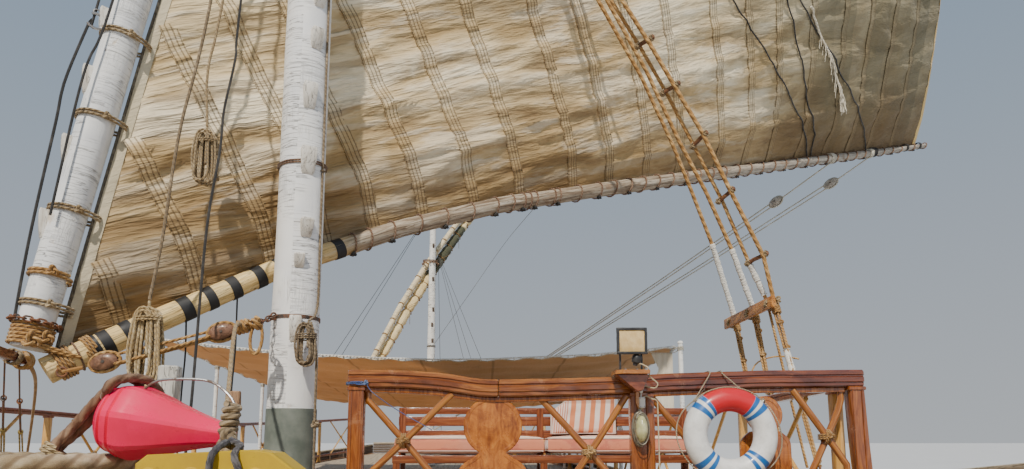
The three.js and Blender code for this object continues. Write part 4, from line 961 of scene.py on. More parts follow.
NU, NV = 186, 176
def build_sail():
    U = (np.linspace(0, 1, NU + 1)) ** 1.12
    Vv = (np.linspace(0, 1, NV + 1)) ** 2.15
    base = np.zeros((NV + 1, NU + 1, 3)); off = np.zeros((NV + 1, NU + 1)); sz = np.zeros((NV + 1, NU + 1, 2))
    for j, v in enumerate(Vv):
        for i, u in enumerate(U):
            s, n, z = sail_point(u, v)
            off[j, i] = crease(s, n, z, u, v)
            # the foot lies close behind the boom
            w = max(0.0, 1 - max(0.0, z - foot_z(s)) / .42)
            z -= w * w * (.035 + .90 * boom_r(s)); n -= w ** 1.4 * (boom_r(s) * 1.16 + .020)
            # the luff lies close to the yard low down
            g = max(0.0, 1 - u / .12); g = g * g * (3 - 2 * g)
            base[j, i] = rig(s - g * float(np.interp(z, [2.3, 3.3, 4.3, 5.2, 9.5], [.026, .030, .030, .012, 0])), n, z); sz[j, i] = (s, z)
    du = np.gradient(base, axis=1); dv = np.gradient(base, axis=0)
    N = np.cross(du, dv)
    N /= np.maximum(1e-9, np.linalg.norm(N, axis=2))[..., None]
    if np.mean(N[..., 0] * RN[0] + N[..., 1] * RN[1]) < 0: N = -N
    P = base + N * off[..., None]
    h = SAIL["half"] * .8
    A, B = P + N * h, P - N * h
    m = (NU + 1) * (NV + 1)
    Vt = np.vstack([A.reshape(-1, 3), B.reshape(-1, 3)])
    F = []; UVs = []
    szf = sz.reshape(-1, 2)
    def q(a, b, c, d):
        F.append([a, b, c, d])
        for k in (a, b, c, d): UVs.append(szf[k % m])
    w = NU + 1
    for j in range(NV):
        for i in range(NU):
            a, b, c, d = j * w + i, j * w + i + 1, (j + 1) * w + i + 1, (j + 1) * w + i
            q(a, d, c, b) if FLIP else q(a, b, c, d)
            a, b, c, d = a + m, b + m, c + m, d + m
            q(a, b, c, d) if FLIP else q(a, d, c, b)
    def rim(line):
        for a, b in zip(line, line[1:]):
            if FLIP: q(a, b, b + m, a + m)
            else: q(a, a + m, b + m, b)
    rim([i for i in range(w)])
    rim([j * w + NU for j in range(NV + 1)])
    rim([NV * w + i for i in range(w)][::-1])
    rim([j * w for j in range(NV + 1)][::-1])
    e1 = P[:-1, 1:] - P[:-1, :-1]; e2 = P[1:, :-1] - P[:-1, :-1]
    area = float(np.linalg.norm(np.cross(e1, e2), axis=2).sum())
    return Vt, F, np.array(UVs), P, N, U, Vv, sz, area
FLIP = True
sV, sF, sU, SP, SN, SUu, SVv, SSZ, S_AREA = build_sail()
sail = make("sail", [(sV, sF, sU)], "sail", RIG, replaces=("mainsail",), slot="sail_cloth", angle=80)

def on_sail(u, v, off=0.0):
    """point on the creased canvas, off metres towards the port bow side"""
    i = np.interp(u, SUu, np.arange(NU + 1)); j = np.interp(v, SVv, np.arange(NV + 1))
    i0, j0 = min(int(i), NU - 1), min(int(j), NV - 1)
    a, b = i - i0, j - j0
    def bl(G): return (G[j0, i0] * (1 - a) + G[j0, i0 + 1] * a) * (1 - b) + (G[j0 + 1, i0] * (1 - a) + G[j0 + 1, i0 + 1] * a) * b
    return bl(SP) + bl(SN) * off
def u_at(s_t, z_t):
    """u, v of a point given by s and z"""
    u, v = .5, .3
    for _ in range(60):
        s, n, z = sail_point(u, v)
        es, ez = s_t - s, z_t - z
        if abs(es) + abs(ez) < 1e-4: break
        h = 1e-4
        s1, _, z1 = sail_point(u + h, v); s2, _, z2 = sail_point(u, v + h)
        a, b, c, d = (s1 - s) / h, (s2 - s) / h, (z1 - z) / h, (z2 - z) / h
        det = a * d - b * c
        if abs(det) < 1e-6: break
        du, dv = (es * d - b * ez) / det, (a * ez - c * es) / det
        u = min(1, max(0, u + max(-.2, min(.2, du)))); v = min(1, max(0, v + max(-.2, min(.2, dv))))
    return u, v
def seam_paths():
    out = []
    for sf in SEAMS:
        zf = foot_z(sf) + .02
        pts = []
        z = zf
        while z < 20.3:
            s = sf - .56 * (z - zf)
            if s < yard_s(z) + yard_r(z) + .12: break
            u, v = u_at(s, z)
            ss, _, zz = sail_point(u, v)
            if abs(ss - s) > .05 or abs(zz - z) > .05: break
            pts.append((u, v))
            z += .042 if z < zf + 3.2 else .22
        if len(pts) > 4: out.append((sf, pts))
    return out
SEAM_UV = seam_paths()
def strip(centres, across, offs, profile, vlen=None):
    """closed thin ribbon: profile = (across, height) over the canvas"""
    n, m = len(centres), len(profile)
    V = []
    L = 0.0; U = []
    for i in range(n):
        c, a, o = centres[i], across[i], offs[i]
        for x, h in profile: V.append(c + a * x + o * h)
        for x, h in (profile[-1], profile[0]): V.append(c + a * x - o * .001)
    F = []; UV = []
    L = [0.0]
    for i in range(1, n): L.append(L[-1] + float(np.linalg.norm(centres[i] - centres[i - 1])))
    k = m + 2
    xs = [p[0] for p in profile] + [profile[-1][0], profile[0][0]]
    for i in range(n - 1):
        for q in range(k):
            q2 = (q + 1) % k
            F.append([i * k + q, i * k + q2, (i + 1) * k + q2, (i + 1) * k + q])
            UV += [[xs[q], L[i]], [xs[q2], L[i]], [xs[q2], L[i + 1]], [xs[q], L[i + 1]]]
    F.append(list(range(k))[::-1]); UV += [[xs[q], 0] for q in range(k)][::-1]
    b = (n - 1) * k
    F.append([b + q for q in range(k)]); UV += [[xs[q], L[-1]] for q in range(k)]
    return np.array(V), F, np.array(UV)
def build_seams():
    half = .056
    prof = [(-half, .0), (-half, .0025), (-.042, .0015), (-.028, .0048), (-.014, .002), (0, .0045), (.014, .002), (.028, .0048), (.042, .0015), (half, .0025), (half, .0)]
    plain = [(-half, .0), (-half, .0025), (-.028, .0046), (0, .0042), (.028, .0046), (half, .0025), (half, .0)]
    parts = {1: [], -1: []}
    for sf, pts in SEAM_UV:
        C = np.array([on_sail(u, v) for u, v in pts])
        T = np.gradient(C, axis=0)
        T /= np.linalg.norm(T, axis=1)[:, None]
        Nn = []
        for u, v in pts:
            a = on_sail(u, v, 1.0) - on_sail(u, v, 0.0)
            Nn.append(a / np.linalg.norm(a))
        Nn = np.array(Nn)
        A = np.cross(Nn, T); A /= np.linalg.norm(A, axis=1)[:, None]
        for side in (1, -1):
            off = SAIL["half"] * .8 + .0065
            cen = C + Nn * (off * side)
            V, F, UV = strip(cen, A * side, Nn * side, prof if side > 0 else plain)
            parts[side].append((V, [f[::-1] for f in F], UV.reshape(-1, 2)))
    return parts
sp_ = build_seams()
def fix_uv_rev(part):
    V, F, UV = part
    out = []; k = 0
    for f in F:
        out.append(UV[k:k + len(f)][::-1]); k += len(f)
    return V, F, np.vstack(out)
sf_ = make("sail_seams_front", [fix_uv_rev(p) for p in sp_[1]], "seam", RIG, slot="sail_cloth", angle=80)
sb_ = make("sail_seams_back", [fix_uv_rev(p) for p in sp_[-1]], "seam", RIG, slot="sail_cloth", angle=80)

# ------------------------------------------------------------------ sail edges
def edge_pts(kind, off=0.0, inset=0.0, n=160):
    t = np.linspace(0, 1, n)
    out = []
    for q in t:
        if kind == "luff": u, v = inset, max(.002, q ** 1.6)
        elif kind == "leech": u, v = 1 - inset, q ** 1.6
        else: u, v = q, inset
        out.append(on_sail(u, min(v, .999), off))
    return np.array(out)
edge = []
edge.append(rope(edge_pts("luff", 0, .0008, 420), .014, sides=7, fine=False, step=.06))
edge.append(rope(edge_pts("leech", 0, .0008, 420), .011, sides=7, fine=False, step=.06))
edge.append(rope(edge_pts("foot", 0, .0004, 420), .011, sides=7, fine=False, step=.05))
make("sail_bolt_rope", edge, "bolt_rope", RIG, slot="rope")
def edge_tape(kind, w, side, z1=1.0, thick=.0025):
    """a doubled strip of cloth beside the sail's edge"""
    n = 150
    C = []; A = []; Nn = []
    for q in np.linspace(0.004, z1, n):
        v = min(.985, q ** 1.7)
        if kind == "luff":
            width = max(.3, 1.0 - v) * 11.8
            u = (w / 2 + .008) / width
        else:
            width = max(.3, 1.0 - v) * 11.8
            u = 1 - (w / 2 + .008) / width
        p = on_sail(u, v, 0.0); p2 = on_sail(min(1, u + .004), v, 0.0)
        nn = on_sail(u, v, 1.0) - p
        C.append(p + nn * side * (SAIL["half"] * .8 + .003)); A.append(unit(p2 - p)); Nn.append(nn * side)
    prof = [(-w / 2, 0), (-w / 2, thick), (-w / 4, thick * 1.3), (0, thick), (w / 4, thick * 1.4), (w / 2, thick), (w / 2, 0)]
    V, F, UV = strip(np.array(C), np.array(A), np.array(Nn), prof)
    return (V, F, UV) if side < 0 else fix_uv_rev((V, [f[::-1] for f in F], UV))
make("sail_luff_tabling", [edge_tape("luff", .075, s) for s in (1, -1)], "tabling", RIG, slot="sail_cloth", angle=80)
make("sail_leech_tape", [edge_tape("leech", .10, s) for s in (1, -1)], "leech_tape", RIG, slot="sail_cloth", angle=80)

# ------------------------------------------------------------------ masts, yard and boom
def spar_tube(pts, radii, sides=28, step=.12, wob=.0025, seed=3):
    """hand-hewn spar: the radius and the line wander a little"""
    P0 = np.array(pts, float)
    d = np.linalg.norm(np.diff(P0, axis=0), axis=1)
    L = np.concatenate([[0], np.cumsum(d)])
    n = int(L[-1] / step) + 2
    t = np.linspace(0, L[-1], n)
    P = np.stack([np.interp(t, L, P0[:, k]) for k in range(3)], 1)
    R = np.interp(t, L, radii)
    V, F, U = tube(P, R, sides)
    C = np.repeat(P, sides, axis=0); idx = np.arange(n * sides)
    rad = V[:n * sides] - C
    for i in idx[::1]:
        a = (i % sides) / sides * 6.28318
        l = t[i // sides]
        k = wob * (mnoise.noise(Vector((math.cos(a) * 1.2, math.sin(a) * 1.2, l * .8 + seed))) * 1.6 + .5 * mnoise.noise(Vector((math.cos(a) * 3, math.sin(a) * 3, l * 3.1 + seed))))
        r = rad[i]
        V[i] = V[i] + r / max(1e-6, np.linalg.norm(r)) * k
    return V, F, U
def on_tube(center_fn, s, ang, off=0.0):
    """point at angle ang on a spar: center_fn(s) gives (centre, tangent, radius)"""
    c, t, r = center_fn(s)
    n = unit(np.array([0, 0, 1.0]) - t * t[2]) if abs(t[2]) < .95 else unit(np.array([1.0, 0, 0]) - t * t[0])
    b = np.cross(t, n)
    return c + (math.cos(ang) * n + math.sin(ang) * b) * (r + off), n, b
def yard_c(z):
    c = V3(rig(yard_s(z), 0, z)); c2 = V3(rig(yard_s(z + .1), 0, z + .1))
    return c, unit(c2 - c), yard_r(z)
def boom_c(s):
    c = V3(rig(s, 0, boom_z(s))); c2 = V3(rig(s + .1, 0, boom_z(s + .1)))
    return c, unit(c2 - c), boom_r(s) * 1.14
def mast_c(z): return V3((MAST_X, 0, z)), np.array([0, 0, 1.0]), mast_r(z)

MZ0 = deck_z(MAST_X + .17) + .0005
SPLIT = 1.955
make("main_mast_white", [spar_tube([(MAST_X, 0, SPLIT), (MAST_X, 0, 4.2), (MAST_X, 0, 8), (MAST_X, 0, 11.6), (MAST_X, 0, 11.7)], [mast_r(SPLIT), .15, .135, .115, .075], 36, .10, .0035)], "mast_white", replaces=("main_mast",), slot="mast_paint")
make("main_mast_foot", [spar_tube([(MAST_X, 0, MZ0), (MAST_X, 0, SPLIT + .004)], [.161, mast_r(SPLIT) + .0045], 36, .08, .002),
                        lathe([(0, 0), (.20, 0), (.205, .02), (.20, .05), (.172, .06), (.168, .10), (0, .10)], (MAST_X, 0, MZ0), (0, 0, 1), 36)], "foot_green", slot="mast_paint")

def cleat(c, t, out, w=.085, h=.16, d=.055):
    """wedge step on a spar: thick and square at the top, thin at the foot"""
    c, t, out = V3(c), unit(t), unit(out)
    side = np.cross(t, out)
    pts = []
    rows = [(-.5, .35, .10), (-.42, .42, .30), (0.0, .48, .72), (.40, .5, 1.0), (.5, .46, .94)]
    V = []; F = []; U = []
    for a, hw, dd in rows:
        for x, y in ((-hw, -.25), (-hw, dd - .06), (-hw + .06, dd), (hw - .06, dd), (hw, dd - .06), (hw, -.25)):
            V.append(c + t * (a * h) + side * (x * w) + out * (y * d))
    m = 6
    for i in range(len(rows) - 1):
        for k in range(m):
            k2 = (k + 1) % m
            F.append([i * m + k, (i + 1) * m + k, (i + 1) * m + k2, i * m + k2])
            U += [[k * .03, i * .04], [k * .03, i * .04 + .04], [k * .03 + .03, i * .04 + .04], [k * .03 + .03, i * .04]]
    F.append([k for k in range(m)]); U += [[k * .01, 0] for k in range(m)]
    b = (len(rows) - 1) * m
    F.append([b + k for k in range(m)][::-1]); U += [[k * .01, 0] for k in range(m)]
    return np.array(V), F, np.array(U)
fwd_cam = unit(E0[:2].tolist() + [0] - np.array([MAST_X, 0, 0]))
def mast_out(px_x, z):
    """direction from the mast's axis so that a thing on its surface shows at that pixel column"""
    p = at_x(px_x, 250, MAST_X + .14)
    r = mast_r(z)
    y = max(-r * .9, min(r * .9, p[1]))
    return unit([math.sqrt(max(1e-6, r * r - y * y)), y, 0])
steps = []
bands = []
for px_x, y0, y1, w, kind in ((306, -14, 3, .085, 0), (305, 27, 46, .085, 0), (301, 83, 107, .09, 0), (302, 147, 173, .10, 1), (303, 218, 236, .08, 0), (298, 255, 266, .07, 0), (297, 316, 342, .075, 0)):
    a, b = at_x(px_x, y0, MAST_X + .15), at_x(px_x, y1, MAST_X + .15)
    zc, h = (a[2] + b[2]) / 2, max(.09, abs(a[2] - b[2]))
    o = mast_out(px_x + 2, zc)
    steps.append(cleat(V3((MAST_X, 0, zc)) + o * (mast_r(zc) - .004), (0, 0, 1), o, w, h, .05))
    if kind:
        for dz in (-.006, .010):
            bands.append(rope(helix((MAST_X, 0, zc + dz), (.06, -.05, 1), mast_r(zc) + .008, .003, 1.0, 30, start=(-1, .3, 0)), .0062, sides=7, fine=False))
for z in (5.9, 6.9, 7.9, 8.9, 9.8, 10.6):
    o = unit([1, .25 * math.sin(z * 2.1), 0])
    steps.append(cleat(V3((MAST_X, 0, z)) + o * (mast_r(z) - .004), (0, 0, 1), o, .085, .15, .05))
make("mast_steps", steps, "cleat_wood", slot="mast_paint", angle=30)
make("mast_bands", bands, "rope_brown", slot="rope")

# yard
ypts = [rig(s, 0, z) for s, z, r in YARD]
make("main_yard_spar", [spar_tube(ypts, [r for _, _, r in YARD], 30, .11, .004, 9)], "yard_white", RIG, replaces=("main_yard",), slot="mast_paint")
yst = []
for x, ya, yb in ((106, 22, 35), (83, 75, 93), (64, 144, 164), (44, 221, 236)):
    a, b = at_rig(x + 8, ya, 0), at_rig(x + 8, yb, 0)
    z = (a[2] + b[2]) / 2
    c, t, r = yard_c(z)
    left = unit(np.cross(t, V3(E0) - c))          # picture left, seen from the camera
    if np.dot(left, [0, -1, 0]) < 0: left = -left
    yst.append(cleat(c + left * (r - .004), t, left, .09, .17, .05))
for z in (6.3, 7.6, 9.0, 10.4, 12.0):
    c, t, r = yard_c(z)
    out = unit(np.array([RN[0], RN[1], 0]) * .8 - np.array([RU[0], RU[1], 0]))
    yst.append(cleat(c + out * (r - .004), t, out, .08, .15, .045))
make("yard_steps", yst, "cleat_wood", RIG, slot="mast_paint", angle=30)
rb = []
def roband(z, turns=3):
    c, t, r = yard_c(z)
    # round the yard and through the sail's luff
    su = np.array([RU[0], RU[1], 0.0]); sd = unit(su - t * np.dot(su, t)); no = np.cross(t, sd)
    n = int(turns * 22)
    P = []
    for i in range(n + 1):
        a = 2 * math.pi * turns * i / n
        rr = r + .011
        x = math.cos(a) * rr; y = math.sin(a) * rr
        if x > 0: x = x + (.055) * (math.cos(a) ** 2)
        P.append(c + t * ((i / n - .5) * .021 * turns) + sd * x + no * y)
    return rope(P, .0085, sides=8)
for u, v in ((118, 39), (89, 119), (68, 213), (40, 306)):
    z = at_rig(u, v, 0)[2]
    rb.append(roband(z, 2))
    c, t, r = yard_c(z)
    su = unit(np.array([RU[0], RU[1], 0.0]))
    rb.append(knot(c + su * (r * .4) + np.array([RN[0], RN[1], 0]) * (r + .014), .02, .009, axis=(RN[0], RN[1], 0)))
z = at_rig(118, 39, 0)[2] + 1.35
while z < 20.4:
    rb.append(roband(z, 2)); z += 1.35
make("yard_robands", rb, "rope", RIG, slot="rope")

# boom: the tube, black bands, and the lacing that holds the sail's foot
bpts = [rig(s, 0, z) for s, z, r in BOOM]
make("main_boom_spar", [spar_tube(bpts, [r * 1.14 for _, _, r in BOOM], 24, .10, .003, 21)], "boom_wood", RIG, replaces=("main_boom",), slot="boom_timber")
def boom_px(x):
    """s on the boom at the picture column x"""
    lo, hi = -1.33, 10.69
    for _ in range(40):
        m = (lo + hi) / 2
        c = rig(m, 0, boom_z(m))
        if pix(c)[0] < x: lo = m
        else: hi = m
    return (lo + hi) / 2
def band_on(cfun, s0, s1, extra=.0035, sides=26):
    P = []; R = []
    n = 7
    for i in range(n):
        s = s0 + (s1 - s0) * i / (n - 1)
        c, t, r = cfun(s)
        P.append(c); R.append(r + extra)
    return tube(P, R, sides)
bb = []
for x, w in ((94, 10), (106, 10), (128, 10), (185, 11), (209, 9), (233, 9), (258, 9), (279, 8), (337, 9)):
    s0, s1 = boom_px(x - w / 2), boom_px(x + w / 2)
    bb.append(band_on(boom_c, s0, s1))
make("boom_bands", bb, "black_band", RIG, slot="boom_timber")
lac = []; kn = []
def boom_hitch(s, r_=.0075, lean=.018):
    """one turn round boom and foot rope: wider behind, where the sail's foot lies"""
    c, t, r = boom_c(s)
    bk = -np.array([RN[0], RN[1], 0.0]); up = unit(np.cross(t, bk)); up = up if up[2] > 0 else -up
    P = []
    for i in range(29):
        a = 2 * math.pi * i / 28
        x, y = math.cos(a), math.sin(a)
        P.append(c + bk * (x * (r + r_ + .002) + max(0, x) ** 2 * .034) + up * (y * (r + r_ + .002)) + t * (lean * y + (i / 28 - .5) * r_ * 2))
    return rope(P, r_, sides=7, fine=False, step=.014)
xs = [352, 368, 391, 418, 444, 470, 494, 510, 521, 527, 533, 551, 556, 577, 597, 612, 627, 641, 655, 669, 683, 696, 709, 722, 735, 747, 759, 771, 782, 793, 804, 814, 824, 834, 844, 853, 862, 881, 890, 899, 912, 925]
for i, x in enumerate(xs):
    s = boom_px(x)
    lac.append(boom_hitch(s, .0078 if x < 600 else .0092, .030 if x < 600 else .040))
    if i % 2 == 0:
        c, t, r = boom_c(s)
        f = np.array([RN[0], RN[1], 0])
        kn.append(knot(c + f * (r * .45) - np.array([0, 0, 1]) * (r + .012), .019, .0085, axis=(0, 0, 1), rot=s))
for x in (78, 153, 296):
    lac.append(boom_hitch(boom_px(x), .006, .01))
make("boom_lacing", lac, "rope_brown", RIG, slot="rope")
make("boom_lacing_knots", kn, "line_dark", RIG, slot="rope")
# heavy seizing at the clew and a lashed butt
hv = []
for x, turns, r_ in ((872, 6, .010), (905, 4, .008), (918, 4, .008)):
    s = boom_px(x)
    c, t, r = boom_c(s)
    hv.append(rope(helix(c + np.array([0, 0, 1]) * .012, t, r + r_ + .006, r_ * 2.05, turns, 18), r_, sides=7, fine=False))
make("boom_seizings", hv, "line_dark", RIG, slot="rope")
bt = []
c, t, r = boom_c(-1.27)
bt.append(rope(helix(c + t * .03, t, r + .009, .018, 5, 22), .0085, sides=8))
c, t, r = boom_c(-1.12)
bt.append(rope(helix(c, t, r + .009, .018, 3, 22), .0085, sides=8))
make("boom_butt_lashing", bt, "rope_gold", RIG, slot="rope")

# ------------------------------------------------------------------ blocks, hooks and chain
def block_parts(c, along, wide, size=.16, strop=.011, seat=None):
    """wooden pulley block: two shells, a sheave, a rope strop all round; material 0 wood, 1 rope, 2 iron"""
    c = V3(c); a = unit(along); w = unit(V3(wide) - a * np.dot(wide, a)); t = np.cross(a, w)
    L, W, T = size, size * .62, size * .46
    out = []
    for sgn in (1, -1):
        V = []; F = []; U = []
        rings = [(0.0, .96), (.35, 1.0), (.75, .86), (1.0, .45)]
        m = 22
        for h, k in rings:
            for j in range(m):
                th = 2 * math.pi * j / m
                V.append(c + a * (math.cos(th) * L / 2 * k) + w * (math.sin(th) * W / 2 * k) + t * sgn * (T * .17 + T * .33 * h))
        for i in range(len(rings) - 1):
            for j in range(m):
                j2 = (j + 1) % m
                f = [i * m + j, i * m + j2, (i + 1) * m + j2, (i + 1) * m + j]
                F.append(f if sgn > 0 else f[::-1]); U += [[j * .02, i * .02], [j * .02 + .02, i * .02], [j * .02 + .02, i * .02 + .02], [j * .02, i * .02 + .02]]
        cap0 = list(range(m)); cap1 = [(len(rings) - 1) * m + j for j in range(m)]
        F.append(cap0[::-1] if sgn > 0 else cap0); U += [[j * .01, 0] for j in range(m)]
        F.append(cap1 if sgn > 0 else cap1[::-1]); U += [[j * .01, 0] for j in range(m)]
        out.append((np.array(V), F, np.array(U), 0))
    sh = lathe([(0, -T * .14), (W * .40, -T * .14), (W * .34, -T * .05), (W * .34, T * .05), (W * .40, T * .14), (0, T * .14)], c, t, 20)
    out.append((*sh, 2))
    pin = lathe([(0, -T * .56), (.009, -T * .56), (.009, T * .56), (0, T * .56)], c, t, 10)
    out.append((*pin, 2))
    th = np.linspace(0, 2 * math.pi, 41)[:-1]
    P = c + np.cos(th)[:, None] * a * (L / 2 + strop * .8) + np.sin(th)[:, None] * w * (W / 2 + strop * .8)
    P = np.vstack([P, P[:1]])
    out.append((*rope(P, strop, sides=8), 1))
    return out
def chain(P, link=.05, r=.005):
    P = resample(np.array(P, float), link * .72)
    out = []
    for i in range(len(P) - 1):
        a = unit(P[i + 1] - P[i]); c = (P[i] + P[i + 1]) / 2
        n = unit(np.cross(a, [0, 0, 1] if abs(a[2]) < .9 else [1, 0, 0])); b = np.cross(a, n)
        w = n if i % 2 else b
        q = []
        h = link / 2 - link * .28
        for s_, c0 in ((1, h), (-1, -h)):
            for k in range(7):
                th = -math.pi / 2 + math.pi * k / 6
                q.append(c + a * (s_ * h + s_ * math.cos(th) * link * .28) + w * (math.sin(th) * link * .28 * s_))
        q.append(q[0])
        out.append(tube(np.array(q), r, 6))
    return out
def hook(c, a, w, size=.06, r=.006):
    c, a, w = V3(c), unit(a), unit(w)
    q = []
    for k in range(13):
        th = math.radians(-150 + 270 * k / 12)
        q.append(c + a * (math.sin(th) * size * .5) + w * (math.cos(th) * size * .5))
    return tube(np.array(q), r, 8)
def line(name, pts, r, matn, body=RIG, fine=False, step=None, extra=(), smooth=True, slot="rope", sides=8):
    P = smooth_path(pts, step or .05) if smooth and len(pts) > 2 else np.array(pts, float)
    return make(name, [rope(P, r, sides=sides, fine=fine)] + list(extra), matn, body, slot=slot)
def blended(name, parts, mats):
    ob = make(name, parts, mats, body=None, slot="rope")
    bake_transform(ob)
    return ob

# ------------------------------------------------------------------ tack tackle, from the boom's butt to the mast
eye = at_rig(62, 372, .09)
b1 = at_rig(105, 362, .17)
mastpt = at_x(284, 318, MAST_X + .07)
mo = unit([mastpt[0] - MAST_X, mastpt[1], 0])
band_z = float(mastpt[2])
mp = V3((MAST_X, 0, band_z)) + mo * (mast_r(band_z) + .012)
hk_end = at_x(256, 324, MAST_X + .28)
b2 = at_x(222, 332, MAST_X + .42)
tk = []
tk += block_parts(b1, b2 - b1, (0, 0, 1), .150, .011)
tk += block_parts(b2, b2 - b1, (0, 0, 1), .150, .011)
d12 = unit(b2 - b1); upv = unit(np.array([0, 0, 1.0]) - d12 * d12[2])
tk.append((*tube(np.array([eye, b1 - d12 * .12]), .012, 8), 1))
for off in (.028, -.030):
    tk.append((*rope(sagged(b1 + d12 * .06 + upv * off, b2 - d12 * .07 + upv * off * .8, .004, 20), .0095), 1))
side3 = np.cross(d12, upv)
tk.append((*rope(sagged(b1 + d12 * .05 + side3 * .02 - upv * .028, b2 - d12 * .06 + side3 * .02 - upv * .01, .008, 20), .0095), 1))
make("tack_tackle", tk, ["block_wood", "rope_gold", "iron"], RIG, slot="rope")
# rope bent to the second block: hitches and a hanging loop
h0 = b2 + d12 * .12
hit = [rope(helix(h0, d12, .034, .022, 3, 16), .0125), rope(helix(h0 + d12 * .085, unit(d12 + upv * .5), .03, .024, 2, 16), .0125)]
lp = []
for k in range(19):
    th = 2 * math.pi * k / 18
    lp.append(h0 + d12 * .085 + np.array([0, 0, -1.0]) * (.075 + .075 * math.cos(th + math.pi)) * 1.25 + d12 * (.036 * math.sin(th)))
hit.append(rope(np.array(lp), .011))
hit.append(knot(h0 + d12 * .03, .028, .012, axis=side3))
make("tack_hitch", hit, "rope_gold", RIG, slot="rope")
ckl = make("tack_chain_links", chain([h0 + d12 * .11, hk_end, mp], .055, .0055), "iron", body=None, slot="iron")
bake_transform(ckl)
make("tack_mast_band", [band_on(mast_c, band_z - .012, band_z + .012, .004, 30), torus(mp, np.cross(mo, [0, 0, 1]), .022, .006, 16, 8)], "iron", ROOT, slot="iron")
ch = []
ch.append(torus(eye, np.cross(unit(b1 - eye), [0, 0, 1]), .026, .007, 18, 8))
ch.append(band_on(boom_c, rig_s(eye) - .02, rig_s(eye) + .02, .006))
c, t, r = boom_c(rig_s(eye))
ch.append(tube(np.array([c, eye]), .008, 8))
make("tack_chain", ch, "iron", RIG, slot="iron")

# ------------------------------------------------------------------ lines beside the yard
yl = []
def yard_side(z, k):
    """a point beside the yard on its forward side: k metres clear of it"""
    c, t, r = yard_c(z)
    f = -unit(np.array([RU[0], RU[1], 0.0]))
    return c + f * (r + k) + np.array([RN[0], RN[1], 0]) * .02
A = [at_rig(10, 342, .0), at_rig(30, 235, .02), at_rig(56, 121, .02), at_rig(65, 80, .02), at_rig(92, 16, .02), at_rig(99, 0, .02)]
A += [yard_side(7.5, .12), yard_side(9.6, .03)]
yl.append(rope(smooth_path(A, .08), .009, sides=7, fine=False))
B = [at_rig(50, 215, .12), at_rig(84, 73, .12), at_rig(113, 0, .1), yard_side(6.9, .02)]
yl.append(rope(smooth_path(B, .08), .008, sides=7, fine=False))
make("yard_lines", yl, "line_dark", RIG, slot="rope")
hkp = at_rig(96, 21, .03)
make("yard_line_hook", [hook(hkp, (0, 0, 1), (RU[0], RU[1], 0), .10, .009), torus(hkp + np.array([0, 0, .06]), (RN[0], RN[1], 0), .018, .005, 14, 7)], "steel", RIG, slot="iron")

# the yard's heel: rope turns and a chain strop down to the boom
hl = []
for z, n_, r_ in ((2.345, 6, .0105), (2.70, 2, .010)):
    c, t, r = yard_c(z)
    hl.append(rope(helix(c, t, r + r_ + .002, r_ * 2.1, n_, 22), r_, sides=8))
c, t, r = yard_c(2.33)
F3 = np.array([RN[0], RN[1], 0.0])
hl.append(knot(c + F3 * (r + .022) + np.array([0, 0, -.02]), .042, .0105, axis=F3))
hl.append(knot(c + F3 * (r + .014) + V3((RU[0], RU[1], 0)) * .07, .034, .0095, axis=F3, rot=1.2))
c2, t2, r2 = yard_c(2.715)
hl.append(knot(c2 + F3 * (r2 + .016), .028, .009, axis=F3, rot=.5))
pa, pb = c + F3 * (r + .012) + np.array([0, 0, -.03]), V3(rig(-1.2, .09, boom_z(-1.2)))
for k in (-.015, .035):
    hl.append(rope(sagged(pa + V3((RU[0], RU[1], 0)) * k, pb + V3((RU[0], RU[1], 0)) * (k * .8), .02, 12), .0095))
make("yard_heel_lashing", hl, "rope_gold", RIG, slot="rope")
cc = []
for a in (-.02,):
    c, t, r = yard_c(2.44 + a)
    q = []
    for k in range(20):
        th = 2 * math.pi * k / 19
        q.append(c + unit(np.cross(t, [0, 1, 0])) * (math.cos(th) * (r + .034)) + unit(np.cross(t, np.cross(t, [0, 1, 0]))) * (math.sin(th) * (r + .034)))
    cc += chain(q, .048, .0055)
make("yard_heel_chain", cc, "iron", RIG, slot="iron")

# ------------------------------------------------------------------ lines that hang from aloft
top1 = V3((MAST_X + .10, -.14, 9.8))
p_h1 = np.array([5.07, -.73, 2.31]); p_h2 = np.array([4.93, -.52, 3.53])
lh1 = [p_h1 + [0, 0, .27], at_x(163, 235, 5.05), at_x(180, 130, 5.0), at_x(211, 0, 4.93)]
top_h1 = lh1[-1]
lh1 += [top_h1 + (top1 - top_h1) * .5, top1]
line("hank_line_1", lh1, .0105, "rope_grey", RIG, fine=True)
lh2 = [p_h2 + [0, 0, .20], at_x(208, 70, 4.93), at_x(223, 0, 4.90)]
top2 = V3((MAST_X + .13, -.08, 9.2))
lh2 += [lh2[-1] + (top2 - lh2[-1]) * .5, top2]
line("hank_line_2", lh2, .009, "rope", RIG, fine=True)
# black cable
cb = [at_x(190, 416, 5.35), at_x(206, 235, 5.12), at_x(220, 150, 5.03), at_x(224, 110, 4.99), at_x(236, 55, 4.93), at_x(241, 0, 4.88)]
foot = cb[0].copy(); zf = deck_z(5.35)
cb = [np.array([foot[0] + .02, foot[1] - .03, zf + .02])] + cb
cb += [cb[-1] + (V3((MAST_X + .12, -.09, 10.8)) - cb[-1]) * .5, V3((MAST_X + .12, -.09, 10.8))]
cable = rope(smooth_path(cb, .06), .0085, sides=8, fine=False)
blended("black_cable", [cable], "line_dark")
make("cable_deck_eye", [torus(cb[0] + [0, 0, .012], (0, 1, 0), .028, .007, 16, 8), boxr(cb[0] + [-.05, -.03, -.02], cb[0] + [.05, .03, .004], .004)], "iron", ROOT, slot="iron")
